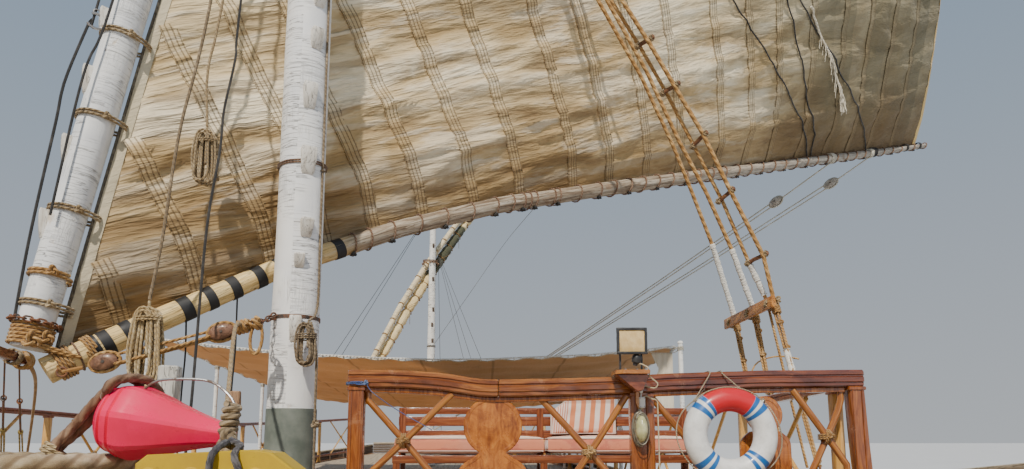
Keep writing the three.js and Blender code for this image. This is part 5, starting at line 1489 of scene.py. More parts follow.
# thick rope from the hitch down to the float, with knots
tr = [h0 + d12 * .02 - upv * .03, at_x(236, 326, 5.12), at_x(229, 385, 5.6), at_x(227, 415, 6.0), at_x(226, 447, 6.5)]
fl_end = at_x(224, 468, 6.80)
tr.append(fl_end)
P = smooth_path(tr, .03)
parts = [rope(P, .0125)]
for f, sz in ((.72, .032), (.86, .030), (.95, .034)):
    q = P[int(len(P) * f)]
    parts.append(knot(q, sz, .0125, axis=(1, 0, .2), rot=f * 7))
for k in range(7):
    a = k * .9
    e = P[int(len(P) * .86)]
    parts.append(rope(smooth_path([e, e + [.02 * math.cos(a), .03 * math.sin(a), -.05], e + [.03 * math.cos(a), .045 * math.sin(a), -.13]], .02), .004, sides=6, fine=False))
blended("float_line", parts, "rope")

# two thin lines from the boom down to the deck abaft
for i, (u, v0, x2) in enumerate(((235, 300, 231), (184, 322, 181))):
    a = at_rig(u, v0, .0)
    s = rig_s(a)
    a = V3(rig(s, .05, boom_z(s) - boom_r(s) * .5))
    b = at_x(x2, 398, a[0] - .25)
    b2_ = V3((b[0], b[1], deck_z(b[0]) + .01))
    ob = blended("boom_line_%d" % (i + 1), [rope(smooth_path([a, (a + b) / 2 + [0, .01, 0], b, b2_], .08), .0065, sides=7, fine=False)], "line_dark")

# ------------------------------------------------------------------ sheets
SH_FOOT = V3((MIZ_X + .13, .02, 1.72))
c1 = boom_px(830); c2_ = boom_px(869)
def under_boom(s, d=.0):
    return V3(rig(s, .0, boom_z(s) - boom_r(s) - .05 - d))
e1, e2 = under_boom(c1), under_boom(c2_)
low = [V3((MIZ_X + .16, .02 + .06 * k, 1.95 + .05 * k)) for k in range(4)]
shb = []
def at_column(a, b, x):
    """the point of the line a-b that shows at picture column x"""
    lo_f, hi_f = 0.0, .5
    for _ in range(40):
        m = (lo_f + hi_f) / 2
        if pix(a + (b - a) * m)[0] > x: lo_f = m
        else: hi_f = m
    return a + (b - a) * lo_f
blk1 = at_column(e1, low[1], 776)
blk2 = at_column(e2, low[3], 831)
for k, (a, b) in enumerate(((low[0], blk1 - [0, 0, .03]), (low[1], blk1 + [0, 0, .03]), (low[2], blk2 - [0, 0, .035]), (low[3], blk2 + [0, 0, .035]))):
    shb.append((*rope(sagged(a, b, .006, 40), .011, sides=7, fine=False), 1))
for bpt, e in ((blk1, e1), (blk2, e2)):
    shb += block_parts(bpt, e - bpt, (0, 0, 1), .20, .012)
    shb.append((*rope(np.array([bpt + unit(e - bpt) * .12, e + [0, 0, .04]]), .011, sides=7, fine=False), 1))
    s = rig_s(e)
    c, t, r = boom_c(s)
    shb.append((*rope(helix(c, t, r + .012, .024, 4, 18), .011, sides=7, fine=False), 1))
MATS["block_grey"] = make_plain_wood("block_grey", (.16, .14, .12), (.46, .42, .36), (.70, .66, .58), kind="Object", scale=(9, 9, 9), rough=.6)
blended("main_sheets", shb, ["block_grey", "rope_white", "iron"])
fb = block_parts(V3((MIZ_X + .16, .09, 1.90)), (0, .35, 1), (1, 0, 0), .2, .013)
fb.append((*rope(helix((MIZ_X, 0, 1.74), (0, 0, 1), .112, .026, 4, 22), .012, sides=8, fine=False), 1))
make("sheet_foot_block", fb, ["block_wood", "rope", "iron"], ROOT, slot="rope")

# ------------------------------------------------------------------ brails lying on the sail
def on_sail_line(uvs, off, n=40):
    out = []
    for (a, b), (c, d) in zip(uvs, uvs[1:]):
        for k in range(n):
            t = k / n
            out.append(on_sail(a + (c - a) * t, b + (d - b) * t, off))
    out.append(on_sail(*uvs[-1], off))
    return np.array(out)
br = []
for uvs in (((.714, .0), (.614, .055), (.514, .109), (.30, .26), (.14, .42)), ((.716, .004), (.655, .055), (.60, .109), (.42, .28), (.20, .46)), ((.857, .0), (.74, .055), (.621, .109), (.44, .28), (.24, .47))):
    br.append(rope(on_sail_line(uvs, .026), .0095, sides=7, fine=False, step=.05))
make("sail_brails", br, "line_dark", RIG, slot="rope")
fr = [rope(on_sail_line(((.643, .105), (.69, .075), (.743, .043)), .034), .0155, sides=8)]
tipf = on_sail(.743, .043, .03)
frl = on_sail_line(((.643, .105), (.69, .075), (.743, .043)), .034)
for k in range(26):
    a = k * 2.4; q = frl[int(len(frl) * (.30 + .70 * k / 26)) - 1]
    L = .10 + .10 * (k / 26) + .02 * (k % 3)
    fr.append(rope(smooth_path([q, q + [.025 * math.cos(a), .025 * math.sin(a), -.4 * L], q + [.050 * math.cos(a), .035 * math.sin(a), -L]], .03), .0052, sides=6, fine=False))
for k in range(9):
    a = k * .7
    fr.append(rope(smooth_path([tipf, tipf + [.02 * math.cos(a), .02 * math.sin(a), -.09], tipf + [.05 * math.cos(a), .03 * math.sin(a), -.2 - .02 * (k % 3)]], .03), .0055, sides=6, fine=False))
MATS["frayed"] = make_rope("frayed_rope", (.92, .86, .70), (.58, .50, .36), (1.0, .97, .88))
make("sail_frayed_line", fr, "frayed", RIG, slot="rope")

# ------------------------------------------------------------------ shrouds
SHR = {"port": [[2.7, 3.64, 140, 10.2], [3.17, 3.64, 105, 10.26], [3.6, 3.64, 68, 10.32]],
       "starboard": [[5.95, -3.41, -90, 11.4], [6.3, -3.33, -66, 11.46], [6.65, -3.22, -42, 11.52]]}
SFOOT = {"port": 1.52, "starboard": 1.68}
MATS["sleeve"] = make_cloth("sleeve_canvas", (.78, .76, .70), (.62, .60, .54), weave=200, stain=(.35, .30, .24), stain_amt=.45, wrinkle=1.0, wscale=(3, 14, 1))
MATS["board"] = make_board("varnished_board")
MATS["brace_old"] = make_plain_wood("cane", (.30, .14, .04), (.56, .32, .11), (.74, .50, .22), kind="Object", scale=(9, 9, 9), rough=.5)
MATS["rung_wood"] = make_plain_wood("rung_wood", (.05, .022, .012), (.17, .075, .035), (.30, .15, .07), kind="Object", scale=(4, 12, 12), rough=.6)
MATS["spread_board"] = make_plain_wood("spreader_board_wood", (.20, .060, .012), (.52, .215, .045), (.72, .36, .10), kind="Object", scale=(3, 16, 16), rough=.5, coat=.2)
def shroud_line(label, i):
    rows = SHR[label]
    x, y, deg, z = rows[i]
    a = math.radians(deg); r = .143
    foot = V3((x + .05 * (x - rows[1][0]), y, SFOOT[label]))
    return foot, V3((x, y, 2.88)), V3((MAST_X + r * math.cos(a), r * math.sin(a), z))
VIA = [[(736.7, 315), (712, 244), (689.5, 186), (672, 143), (641, 76), (598, 0)],
       [(753.3, 303.6), (731.6, 249), (706, 192), (680, 143), (647, 72), (607, 0)],
       [(779, 297), (763.5, 256), (730, 190), (702, 132), (681, 97), (650, 44), (622, 0)]]
LADDER = [(766, 299), (749.5, 264), (722.6, 201.5), (693, 144), (666.5, 93), (641, 48.5), (611, 0)]
def along_px(knee, head, row):
    """the point of the line knee-head that shows at a picture row"""
    lo_f, hi_f = -.2, 1.0
    for _ in range(44):
        m = (lo_f + hi_f) / 2
        if pix(knee + (head - knee) * m)[1] > row: lo_f = m
        else: hi_f = m
    return knee + (head - knee) * lo_f
def seen_path(knee, head, rows):
    """the photograph's own points, each as far off as the straight line is in that row"""
    return [at_x(u, v, along_px(knee, head, v)[0]) for u, v in rows]
def foot_for(knee, foot, u, v):
    """the foot moved along the rail until its lanyard shows at u, v"""
    lo_f, hi_f = foot[0] - .3, foot[0] + 1.2
    for _ in range(40):
        m = (lo_f + hi_f) / 2
        f = np.array([m, foot[1], foot[2]])
        if pix(along_px(f, knee, v))[0] < u: lo_f = m
        else: hi_f = m
    return np.array([lo_f, foot[1], foot[2]])
heads = []
for label in ("port", "starboard"):
    sg = 1 if label == "port" else -1
    low_parts = []; sleeves = []; rungs = []; rk = []
    lines = [shroud_line(label, i) for i in range(3)]
    paths = []
    for i, (foot, knee, head) in enumerate(lines):
        mid = seen_path(knee, head, VIA[i]) if label == "port" else [knee]
        if label == "port":
            foot = foot + (foot_for(knee, foot, (753, 774, 801)[i], (370, 370, 357)[i]) - foot) * .5
            lines[i] = (foot, knee, head)
        Q = [knee] + [p for p in mid if p[2] > knee[2] + .10] + [head]
        P = resample(np.array(Q), .05)
        P = np.vstack([resample(np.array([knee - (knee - foot) * .03, knee]), .02)[:-1], P])
        paths.append(P)
        make("shroud_%s_%d_rope" % (label, i + 1), [rope(P, .0190, pitch=.15, sides=9, step=.019)], "rope_gold", ROOT, replaces=("shroud_%s_%d" % (label, i + 1),), slot="rope")
        # seizing round the masthead
        heads.append(rope(helix((MAST_X, 0, head[2] + .02 * i), (0, 0, 1), mast_r(head[2]) + .018, .036, 2.2, 26), .0165, sides=8, fine=False))
        # lanyard from the board to the chain plate: four parts and a binding
        d = unit(foot - knee)
        for k, (ox, oy) in enumerate(((.022, 0), (-.022, 0), (0, .020), (0, -.020))):
            a_ = knee + np.array([ox, oy, -.02]); b_ = foot + np.array([ox * .5, oy * .5, .05])
            low_parts.append(rope(sagged(a_, b_, .001, 14), .0085, sides=8))
        m = knee + (foot - knee) * .5
        low_parts.append(rope(helix(m, d, .032, .018, 6, 16), .0085, sides=7))
        low_parts.append(rope(helix(knee + d * .06, d, .031, .018, 4, 16), .0085, sides=7))
        low_parts.append(knot(foot + np.array([0, 0, .08]), .03, .009, axis=(0, 1, 0), rot=i))
        for k in range(3):
            q = knee + (foot - knee) * (.12 + .16 * k)
            low_parts.append(knot(q + np.array([.02, 0, 0]), .022, .007, axis=(1, 0, .3), rot=k + i))
        # chafe sleeve above the board
        if label == "port" and i == 2: q = None
        elif label == "port": q = resample(np.array([knee + unit(mid[1] - knee) * .06] + [mid[1]]), .02)
        else: q = resample(np.array([knee + unit(head - knee) * .07, knee + unit(head - knee) * (.79 + .08 * i)]), .02)
        if q is not None: sleeves.append(q)
    if label == "port":
        # the fourth rope, which carries the rungs on its inner side
        foot, knee, head = lines[2]
        lad = seen_path(knee + [-.14, 0, 0], head, LADDER)
        lk = lad[0]
        a_ = math.radians(78)
        hd = V3((MAST_X + .143 * math.cos(a_), .143 * math.sin(a_), 10.08))
        PL = resample(np.array(lad + [hd]), .05)
        lf = V3((foot[0] - .18, foot[1], foot[2]))
        make("shroud_port_ladder_rope", [rope(PL, .0165, pitch=.14, sides=9, step=.019), rope(sagged(lk, lf + [0, 0, .04], .002, 20), .0085, sides=8), rope(sagged(lk + [.016, 0, 0], lf + [.012, 0, .04], .002, 20), .0085, sides=8),
                                         rope(helix(hd, (0, 0, 1), .02, .02, 2, 14), .008, sides=7, fine=False)], "rope_gold", ROOT, slot="rope")
        sleeves.append(resample(np.array([lk + unit(lad[1] - lk) * .04, lad[1]]), .02))
        sleeves.append(resample(np.array([knee + (foot - knee) * .30, knee + (foot - knee) * .48]), .02))
    sl_parts = []
    for i, q in enumerate(sleeves):
        R = [.0245 + .004 * mnoise.noise(Vector((0, 0, k * .55 + i * 9))) + (.003 if k % 9 == 0 else 0) for k in range(len(q))]
        R[0] = R[-1] = .021
        sl = tube(q, R, 16)
        sl[0][:] = sl[0] + np.array([[.003 * mnoise.noise(Vector((p[0] * 30, p[1] * 30, p[2] * 22 + k_))) for k_ in range(3)] for p in sl[0]])
        sl_parts.append(sl)
        for f in (.05, .5, .95):
            sl_parts.append(torus(q[int((len(q) - 1) * f)], unit(q[-1] - q[0]), .0255, .0032, 16, 6))
    make("shroud_lanyards_" + label, low_parts, "rope_gold", ROOT, slot="rope")
    make("shroud_sleeves_" + label, sl_parts, "sleeve", ROOT, slot="sail_cloth", angle=80)
    # chain plates on the rail
    plates = []
    for foot, knee, head in lines:
        plates.append(boxr(foot + [-.03, -.012 * 1, -.19], foot + [.03, .012, .03], .004))
        plates.append(torus(foot + [0, 0, .045], (0, 1, 0), .026, .009, 18, 8))
    make("chain_plates_" + label, plates, "iron", ROOT, slot="iron")
    # rungs between the two forward lines
    up = unit(lines[1][2] - lines[1][1])
    if label == "port":
        ends = []
        for (u0, v0), (u1, v1) in (((638, 46), (651, 38)), ((663, 93), (677, 84)), ((693, 146), (705, 134)), ((719, 201), (732, 190)), ((748, 263), (765, 254))):
            ends.append((at_x(u0, v0, along_px(lk, hd, v0)[0]), at_x(u1, v1, along_px(lines[2][1], lines[2][2], v1)[0])))
        for k in range(5):
            f = .52 + .07 * k
            ends.append((PL[int(f * (len(PL) - 1))], paths[2][int(f * (len(paths[2]) - 1))]))
    else:
        ends = [(lines[1][1] + (lines[1][2] - lines[1][1]) * (.17 + k * .085), lines[2][1] + (lines[2][2] - lines[2][1]) * (.17 + k * .085)) for k in range(9)]
    for k, (a_, b_) in enumerate(ends):
        w = b_ - a_
        if np.linalg.norm(w) < .07: break
        e = unit(w)
        rungs.append(beam(a_ - e * .030, b_ + e * .030, .026, .032, .008, seed=k, wob=.003))
        for q_ in (a_, b_):
            rk.append(rope(helix(q_, e, .026, .013, 3, 14), .0062, sides=7, fine=False))
            rk.append(rope(helix(q_, up, .025, .013, 2, 14), .0062, sides=7, fine=False))
    make("shroud_rungs_" + label, rungs, "rung_wood", ROOT, slot="rail_varnish")
    make("shroud_rung_lashings_" + label, rk, "rope", ROOT, slot="rope")
    # spreader board with its lashings
    rows = SHR[label]
    p, q = rows[0], rows[2]
    ln = math.hypot(q[0] - p[0], q[1] - p[1]); dx, dy = (q[0] - p[0]) / ln, (q[1] - p[1]) / ln
    inw = sg * (.018 + .0175 + .022)
    ox, oy = inw * dy, -inw * dx
    A_ = V3((p[0] + ox - dx * .125, p[1] + oy - dy * .125, 2.88)); B_ = V3((q[0] + ox + dx * .115, q[1] + oy + dy * .115, 2.88))
    make("shroud_board_%s_wood" % label, [beam(A_, B_, .036, .098, .010, n=12, wob=.0015, seed=4)], "spread_board", ROOT, replaces=("shroud_board_" + label,), slot="board_varnish")
    lash = []
    for foot, knee, head in lines:
        c_ = knee + V3((ox, oy, 0)) * .5
        lash.append(rope(helix(c_ + np.array([0, 0, .0]), (dx, dy, 0), .052, .016, 4, 22), .0078, sides=7))
        lash.append(knot(knee + V3((ox, oy, 0)) * -.55 + np.array([0, 0, .035]), .026, .008, axis=(dy, -dx, 0)))
    make("shroud_board_lashings_" + label, lash, "rope", ROOT, slot="rope")
make("shroud_heads", heads, "rope_gold", ROOT, slot="rope")
# a bent cane lashed over the port lanyards
cane = smooth_path([at_x(752, 371, 3.02), at_x(757, 363, 3.04), at_x(770, 357.5, 3.10), at_x(785, 356.5, 3.20), at_x(799, 359, 3.30)], .01)
make("lanyard_cane", [tube(cane, .0075, 9)], "brace_old", ROOT, slot="rail_varnish")

# ------------------------------------------------------------------ hanks and the mooring rope
def hank_path(c, H, W, r, a_list, layers, T, exit_pt, seed=0, limit=None, neck=.6):
    """one rope: out of exit_pt, wound in long loops side by side and layer behind layer, gathered at the top"""
    c = V3(c); pts = []
    rr = random.Random(seed)
    N = 28
    nt = len(a_list)
    amax = W / 2 - r - .002
    shift = [-(amax - a_list[-1]), (amax - a_list[-1]), 0.0]
    oy = [shift[l % 3] * (1 - .12 * rr.random()) for l in range(layers)]
    zb = [rr.uniform(-.5, 1.0) * .06 * H for _ in range(layers * nt)]
    xs = [(T / 2 - r - .002) - l * (T - 2 * r - .004) / max(1, layers - 1) for l in range(layers)]
    total = layers * nt
    for q in range(total * N + 1):
        f = q / N
        i = min(total - 1, int(f)); t = f - i
        l = i // nt; k = i % nt
        a_of = lambda i_: a_list[(i_ % nt) if (i_ // nt) % 2 == 0 else nt - 1 - (i_ % nt)]
        e = max(0.0, (t - .62) / .38); e = e * e * (3 - 2 * e)
        i2 = min(total - 1, i + 1); l2 = i2 // nt
        a = a_of(i) * (1 - e) + a_of(i2) * e
        yo = oy[l] * (1 - e) + oy[l2] * e
        x = xs[l] * (1 - e) + xs[l2] * e
        zz = zb[i] * (1 - e) + zb[i2] * e
        half = H / 2 - a_list[-1]
        if t < .25: y, z = a, -half + 2 * half * t / .25
        elif t < .5:
            u = (t - .25) / .25 * math.pi; y, z = a * math.cos(u), half + a * math.sin(u)
        elif t < .75: y, z = -a, half - 2 * half * (t - .5) / .25
        else:
            u = (t - .75) / .25 * math.pi; y, z = -a * math.cos(u), -half - a * math.sin(u)
        w = min(1, max(0, (z + H / 2) / H))
        g = 1 - (1 - neck) * (max(0, w - .45) / .55) ** 1.3
        low = 1 - w
        y = (y + yo) * g + .010 * mnoise.noise(Vector((i * 1.7 + seed, z * 5, 2))) * math.sin(math.pi * min(1, low * 1.2))
        x = x * (1 + .25 * (1 - g)) + .005 * mnoise.noise(Vector((i * 1.1 + 5, z * 6, seed)))
        pts.append(c + [x, y, z - zz * low])
    P = np.array(pts)
    lead = [V3(exit_pt), V3(exit_pt) * .55 + P[0] * .45 + [.0, 0, .03]]
    P = smooth_path(lead + [p for k_, p in enumerate(P[2:]) if k_ % 2 == 0], .02)
    if limit:
        L = np.concatenate([[0], np.cumsum(np.linalg.norm(np.diff(P, axis=0), axis=1))])
        P = P[L <= limit]
    return P
def hank(name, node, c, H, W, r, a_list, layers, T, exit_pt, body, matn, seed, wraps, limit, neck=.6):
    P = hank_path(c, H, W, r, a_list, layers, T, exit_pt, seed=seed, limit=limit, neck=neck)
    ob = make(name, [rope(P, r, pitch=7.5 * r, sides=8, step=7.5 * r / 7)], matn, body, replaces=(node,), slot="rope")
    c = V3(c)
    end = P[-1]
    wr = []
    for dz, n_, k_ in wraps:
        q = helix(c + [0, 0, dz], (0, 0, 1), 1.0, r * 1.7, n_, 28)
        for k in range(len(q)):
            d = q[k] - (c + [0, 0, dz])
            q[k][0] = c[0] + d[0] * (T / 2 + r * .9)
            q[k][1] = c[1] + d[1] * (W / 2 * k_ + r * .9)
        wr.append(rope(q, r * .7, sides=7))
    wrap = make(name + "_seizing", wr + [knot(end, r * 1.9, r * .8, axis=(1, 0, 0))], matn, body, slot="rope")
    tuple(map(float, P[0]))
    [tuple(map(float, p)) for p in P]
    return ob, P
h1, hp1 = hank("line_hank_1_rope", "line_hank_1", (5.07, -.73, 2.305), .45, .196, .0092, [.044, .064], 5, .098, p_h1 + [0, 0, .262], RIG, "rope_hank", 3, [(.155, 2.2, .70)], 12.0, neck=.62)
h2, hp2 = hank("line_hank_2_rope", "line_hank_2", (4.93, -.52, 3.525), .34, .156, .0075, [.034, .050], 5, .085, p_h2 + [0, 0, .192], RIG, "rope", 5, [(.10, 2.2, .75)], 8.0, neck=.7)
h3, hp3 = hank("line_hank_3_rope", "line_hank_3", (4.83, .13, 2.355), .26, .136, .0075, [.030, .046], 4, .066, (4.80, .135, 2.505), ROOT, "rope_grey", 8, [(.045, 3.2, .86)], 5.2, neck=.72)

# halyard down the port side of the mast, to the hank and on to the deck
hal = []
def mast_side(z):
    r = mast_r(z) + .011
    y = r * .93
    return V3((MAST_X + math.sqrt(max(0, r * r - y * y)), y, z))
Pm = [mast_side(10.9)] + [mast_side(z) for z in np.linspace(10.0, 2.62, 16)] + [V3((4.80, .135, 2.505))]
hal.append(rope(smooth_path(Pm, .05), .0085, sides=8))
Pl = [V3((4.80, .15, 2.50)), V3((4.80, .19, 2.3)), V3((4.795, .195, 2.0)), V3((4.79, .20, 1.6)), V3((4.79, .205, deck_z(4.79) + .012))]
hal.append(rope(smooth_path(Pl, .03), .0085, sides=8))
hal.append(knot((4.79, .2, 1.86), .022, .0085, axis=(1, 0, 0)))
for z in (9.2, 7.1, 5.0, 3.55):
    hal.append(torus(mast_side(z), (0, 0, 1), .014, .005, 14, 6))
make("halyard_fall", hal, "rope_grey", ROOT, slot="rope")

# hawser: made fast on the bitts' starboard post, coiled down beside them
MR = .031
def mooring_path():
    cx, cy, z0 = 6.78, -.28, 1.4695
    pts = [V3((7.15 - .062 - MR, .335, 1.530)), V3((7.035, .28, 1.520)), V3((7.02, .19, 1.512)), V3((7.0, .12, z0 + MR + .010)), V3((6.955, .045, z0 + MR))]
    R0, R1 = .2 + MR + .002, .42 - MR - .002
    layers, per, nt = 3, 28, 2.5
    ang = math.atan2(.02 - cy, 6.90 - cx)
    zz = z0 + MR
    for l in range(layers):
        N = int(nt * per)
        for q in range(N):
            f = q / N
            k = (1 - f) if l % 2 == 0 else f
            R = R0 + (R1 - R0) * k
            up = max(0.0, (q / per) - (nt - .3)) / .3
            z = zz + up * (2 * MR) * .97 + .0025 * mnoise.noise(Vector((R * 9, ang * .7, l)))
            pts.append(V3((cx + R * math.cos(ang), cy + R * math.sin(ang), z)))
            ang -= 2 * math.pi / per
        zz += 2 * MR * .97
    # a last turn and a bit lies on top, its end by the float
    R = R0
    for q in range(int(per * 1.05)):
        R = min(R1, R + (R1 - R0) / (per * .45))
        pts.append(V3((cx + R * math.cos(ang), cy + R * math.sin(ang), zz + .004 * math.sin(ang * 2))))
        ang -= 2 * math.pi / per
    return pts, ang
_mp, _ma = mooring_path()
MPATH = smooth_path(_mp, .035)
mrope = make("mooring_hawser", [rope(MPATH, MR, pitch=.165, sides=14, step=.0165)], "hawser", ROOT, replaces=("mooring_rope_coil",), slot="rope")
mt = MPATH[-1] - MPATH[-3]
mend = make("mooring_hawser_whipping", [rope(helix(MPATH[-3], unit(mt), MR + .003, .0068, 6, 22), .0034, sides=6)], "rope", ROOT, slot="rope")
make("mooring_turn_on_bitts", [rope(helix(V3((7.15, .34, 1.530)), (0, 0, 1), .060 * 1.28 + MR, 2 * MR, 1.0, 30, start=(-1, 0, 0), h0=-MR), MR, pitch=.165, sides=14, step=.0165)], "hawser", ROOT, slot="rope")

# the float lies on the coil in a doubled sling
FC = V3((6.94, .235, 1.80)); FA = unit((0, math.cos(math.radians(8)), -math.sin(math.radians(8))))
FLOAT = [(.0, -.190), (.045, -.187), (.078, -.174), (.098, -.158), (.103, -.151), (.098, -.147), (.104, -.143), (.112, -.128), (.1155, -.120), (.110, -.115), (.1165, -.110), (.1200, -.090), (.1185, -.068), (.098, .000), (.078, .055), (.060, .110), (.046, .160), (.040, .195), (.034, .208), (.0, .210)]
def float_r(l):
    return float(np.interp(l, [h for r_, h in FLOAT], [r_ for r_, h in FLOAT]))
FW_ = unit(np.array([0, 0, 1.0]) - FA * FA[2])
def on_float(l, th, off):
    """point off the float's skin: l along its axis, th from straight up towards the bow"""
    return FC + FA * l + (FW_ * math.cos(th) + np.array([1.0, 0, 0]) * math.sin(th)) * (float_r(l) + off)
SR = .0155
ztop = 1.4695 + 4 * 2 * MR - .004
g1 = at_x(57, 448, 6.86); g2 = at_x(66, 452, 6.90)
sp1 = [V3((6.994, -.046, 1.694)), at_x(57, 450, 6.985), at_x(80, 430, 6.97), at_x(102, 406, 6.96), on_float(-.150, .62, SR + .010), on_float(-.120, .15, SR + .004), on_float(-.085, -.35, SR + .003), on_float(-.070, -1.0, SR + .004), on_float(-.085, -1.7, SR + .004)]
sp2 = [on_float(-.125, -1.75, SR + .006), on_float(-.135, -1.0, SR + .005), on_float(-.128, -.35, SR + .005), on_float(-.152, .12, SR + .008), at_x(95, 402, 6.985), at_x(74, 426, 7.0), at_x(54, 446, 7.02), V3((7.02, -.052, 1.700))]
SPATH = smooth_path(sp1 + sp2, .012)
strop = make("float_sling", [rope(SPATH, SR, pitch=.092, sides=10, step=.0095)], "rope_brown", ROOT, slot="rope")
sz = make("float_sling_seizing", [rope(helix((SPATH[2] + SPATH[-3]) / 2, unit(SPATH[8] - SPATH[1]), SR * 2.15, .011, 3, 20), .0058, sides=7)], "rope_hank", ROOT, slot="rope")

# ------------------------------------------------------------------ foreground: float, bitts, tack beam and what hangs there
def float_material():
    q = Mat("float_plastic_new", rough=.30, spec=.5, coat=.25, coat_rough=.2)
    v = q.co("Object")
    t = q.noise(v, 9, 5, .6)
    c = q.mix(q.rng(t, .3, .75), (.92, .007, .105), (.78, .004, .070))
    sc = q.rng(q.noise(q.co("Object", scale=(5, 30, 30)), 4.0, 7, .75), .60, .70)
    c = q.mix(q.mth("MULTIPLY", sc, .24), c, (.95, .22, .24))
    dirt = q.rng(q.noise(v, 24, 6, .75), .64, .76)
    c = q.mix(q.mth("MULTIPLY", dirt, .5), c, (.30, .02, .02))
    return q.done(c, q.rng(t, .3, .7, .22, .42), q.bump(q.noise(v, 60, 4, .6), .18, .002))
MATS["float"] = float_material()
def float_mesh():
    sides = 7; sub = 6
    A = FA; w0 = FW_; u0 = np.array([1.0, 0, 0])
    V = []; rows = []
    prof = FLOAT[1:-1]
    ang0 = math.radians(22.5 + 8)
    n = sides * sub
    for r_, h in prof:
        row = []
        for k in range(n):
            th = 2 * math.pi * k / n
            loc = ((th - ang0) % (2 * math.pi / sides)) - math.pi / sides
            flat = math.cos(math.pi / sides) / math.cos(loc)      # regular heptagon
            kx = .96 if h > -.10 else .96 * max(0, (h + .19) / .09)   # domed end is rounder
            rad = r_ * (1 + (flat * 1.035 - 1) * kx)
            rad = min(rad, r_ * 1.0)
            row.append(len(V)); V.append(FC + A * h + (w0 * math.cos(th) + u0 * math.sin(th)) * rad)
        rows.append(row)
    F = []; U = []
    for i in range(len(rows) - 1):
        for k in range(n):
            k2 = (k + 1) % n
            F.append([rows[i][k], rows[i][k2], rows[i + 1][k2], rows[i + 1][k]])
            U += [[k / n, prof[i][1]], [(k + 1) / n, prof[i][1]], [(k + 1) / n, prof[i + 1][1]], [k / n, prof[i + 1][1]]]
    for row, h, fl in ((rows[0], FLOAT[0][1], True), (rows[-1], FLOAT[-1][1], False)):
        c = len(V); V.append(FC + A * h)
        for k in range(n):
            k2 = (k + 1) % n
            F.append([c, row[k2], row[k]] if fl else [c, row[k], row[k2]])
            U += [[.5, .5], [k / n, 0], [(k + 1) / n, 0]]
    return np.array(V), F, np.array(U)
tip = FC + FA * .21
make("float_body", [float_mesh(), torus(FC + FA * .214 , (1, 0, 0), .016, .0055, 20, 8)], "float", ROOT, replaces=("float",), slot="float_plastic", angle=14)
MATS["bitts"] = make_paint("bitts_paint_new", (.54, .365, .007), (.43, .27, .010), (.22, .13, .04), rough=.5, amount=.7, scale=8)
# bitts: cross piece with canted ends, two posts, bolts
bo = [(.292, 1.555), (.292, 1.690), (.322, 1.715), (.60, 1.7285), (.66, 1.720), (.730, 1.668), (.730, 1.555)]
def bevelled(outline, x0, x1, b=.006):
    n = len(outline)
    cy = sum(p[0] for p in outline) / n; cz = sum(p[1] for p in outline) / n
    def ring(x, inset):
        out = []
        for i, (a, c) in enumerate(outline):
            d = np.array([cy - a, cz - c]); d /= max(1e-9, np.linalg.norm(d))
            out.append((x, a + d[0] * inset, c + d[1] * inset))
        return out
    rows = [ring(x0, b), ring(x0 + b, 0), ring(x1 - b, 0), ring(x1, b)]
    V = [p for r_ in rows for p in r_]; F = []; U = []
    for i in range(3):
        for k in range(n):
            k2 = (k + 1) % n
            F.append([i * n + k, (i + 1) * n + k, (i + 1) * n + k2, i * n + k2]); U += [[0, 0], [.1, 0], [.1, .1], [0, .1]]
    F.append(list(range(n))); U += [[p[0], p[1]] for p in outline]
    F.append([3 * n + k for k in range(n)][::-1]); U += [[p[0], p[1]] for p in outline][::-1]
    return np.array(V), F, np.array(U, float)
zd = deck_z(7.15) + .0005
bp = [bevelled(bo, 7.082, 7.218)]
for y in (.34, .60):
    P = np.array([(7.15, y, zd), (7.15, y, 1.50), (7.15, y, 1.60)])
    bp.append(sweep(P, rounded_section(.118, .118, .012, 2), (1, 0, 0), ends=.003))
    bp.append(boxr((7.075, y - .085, zd), (7.225, y + .085, zd + .05), .008))
    bp.append(beam((7.10, y, zd + .03), (6.92, y, zd + .012), .07, .05, .008))
for (y, z, r_) in ((.330, 1.655, .026), (.445, 1.652, .030), (.62, 1.650, .030)):
    bp.append(lathe([(0, -.004), (r_, -.004), (r_, .004), (r_ * .86, .008), (r_ * .5, .008), (r_ * .5, .018), (r_ * .34, .021), (0, .021)], (7.215, y, z), (1, 0, 0), 20))
make("bitts_timber", bp, "bitts", ROOT, replaces=("bitts",), slot="bitts_paint", angle=28)
# tack beam from the stem head to the yard's heel, on its two posts
MATS["tack_wood"] = make_varnish("tack_beam_wood", dark=(.06, .016, .01), mid=(.15, .04, .022), light=(.27, .09, .045), coat=.25)
ta, tb = V3((10.415, -.05, 2.33)), V3((5.2, -1.33, 2.2))
tp = [beam(ta, tb, .052, .052, .009, n=40, wob=.0018, seed=3)]
for t_ in (.12, .66):
    c = ta + (tb - ta) * t_
    tp.append(beam((c[0], c[1], deck_z(c[0]) + .0005), (c[0], c[1], c[2] - .02), .058, .058, .008, up=(1, 0, 0), n=8, wob=.001))
    tp.append(boxr((c[0] - .05, c[1] - .05, deck_z(c[0]) + .0005), (c[0] + .05, c[1] + .05, deck_z(c[0]) + .05), .006))
make("tack_beam_timber", tp, "tack_wood", ROOT, replaces=("tack_beam",), slot="rail_varnish", angle=32)
tl = []
for t_ in (.12, .66, .97):
    c = ta + (tb - ta) * t_
    tl.append(rope(helix(c, tb - ta, .040, .014, 4, 18), .0065, sides=7))
make("tack_beam_lashings", tl, "rope", ROOT, slot="rope")
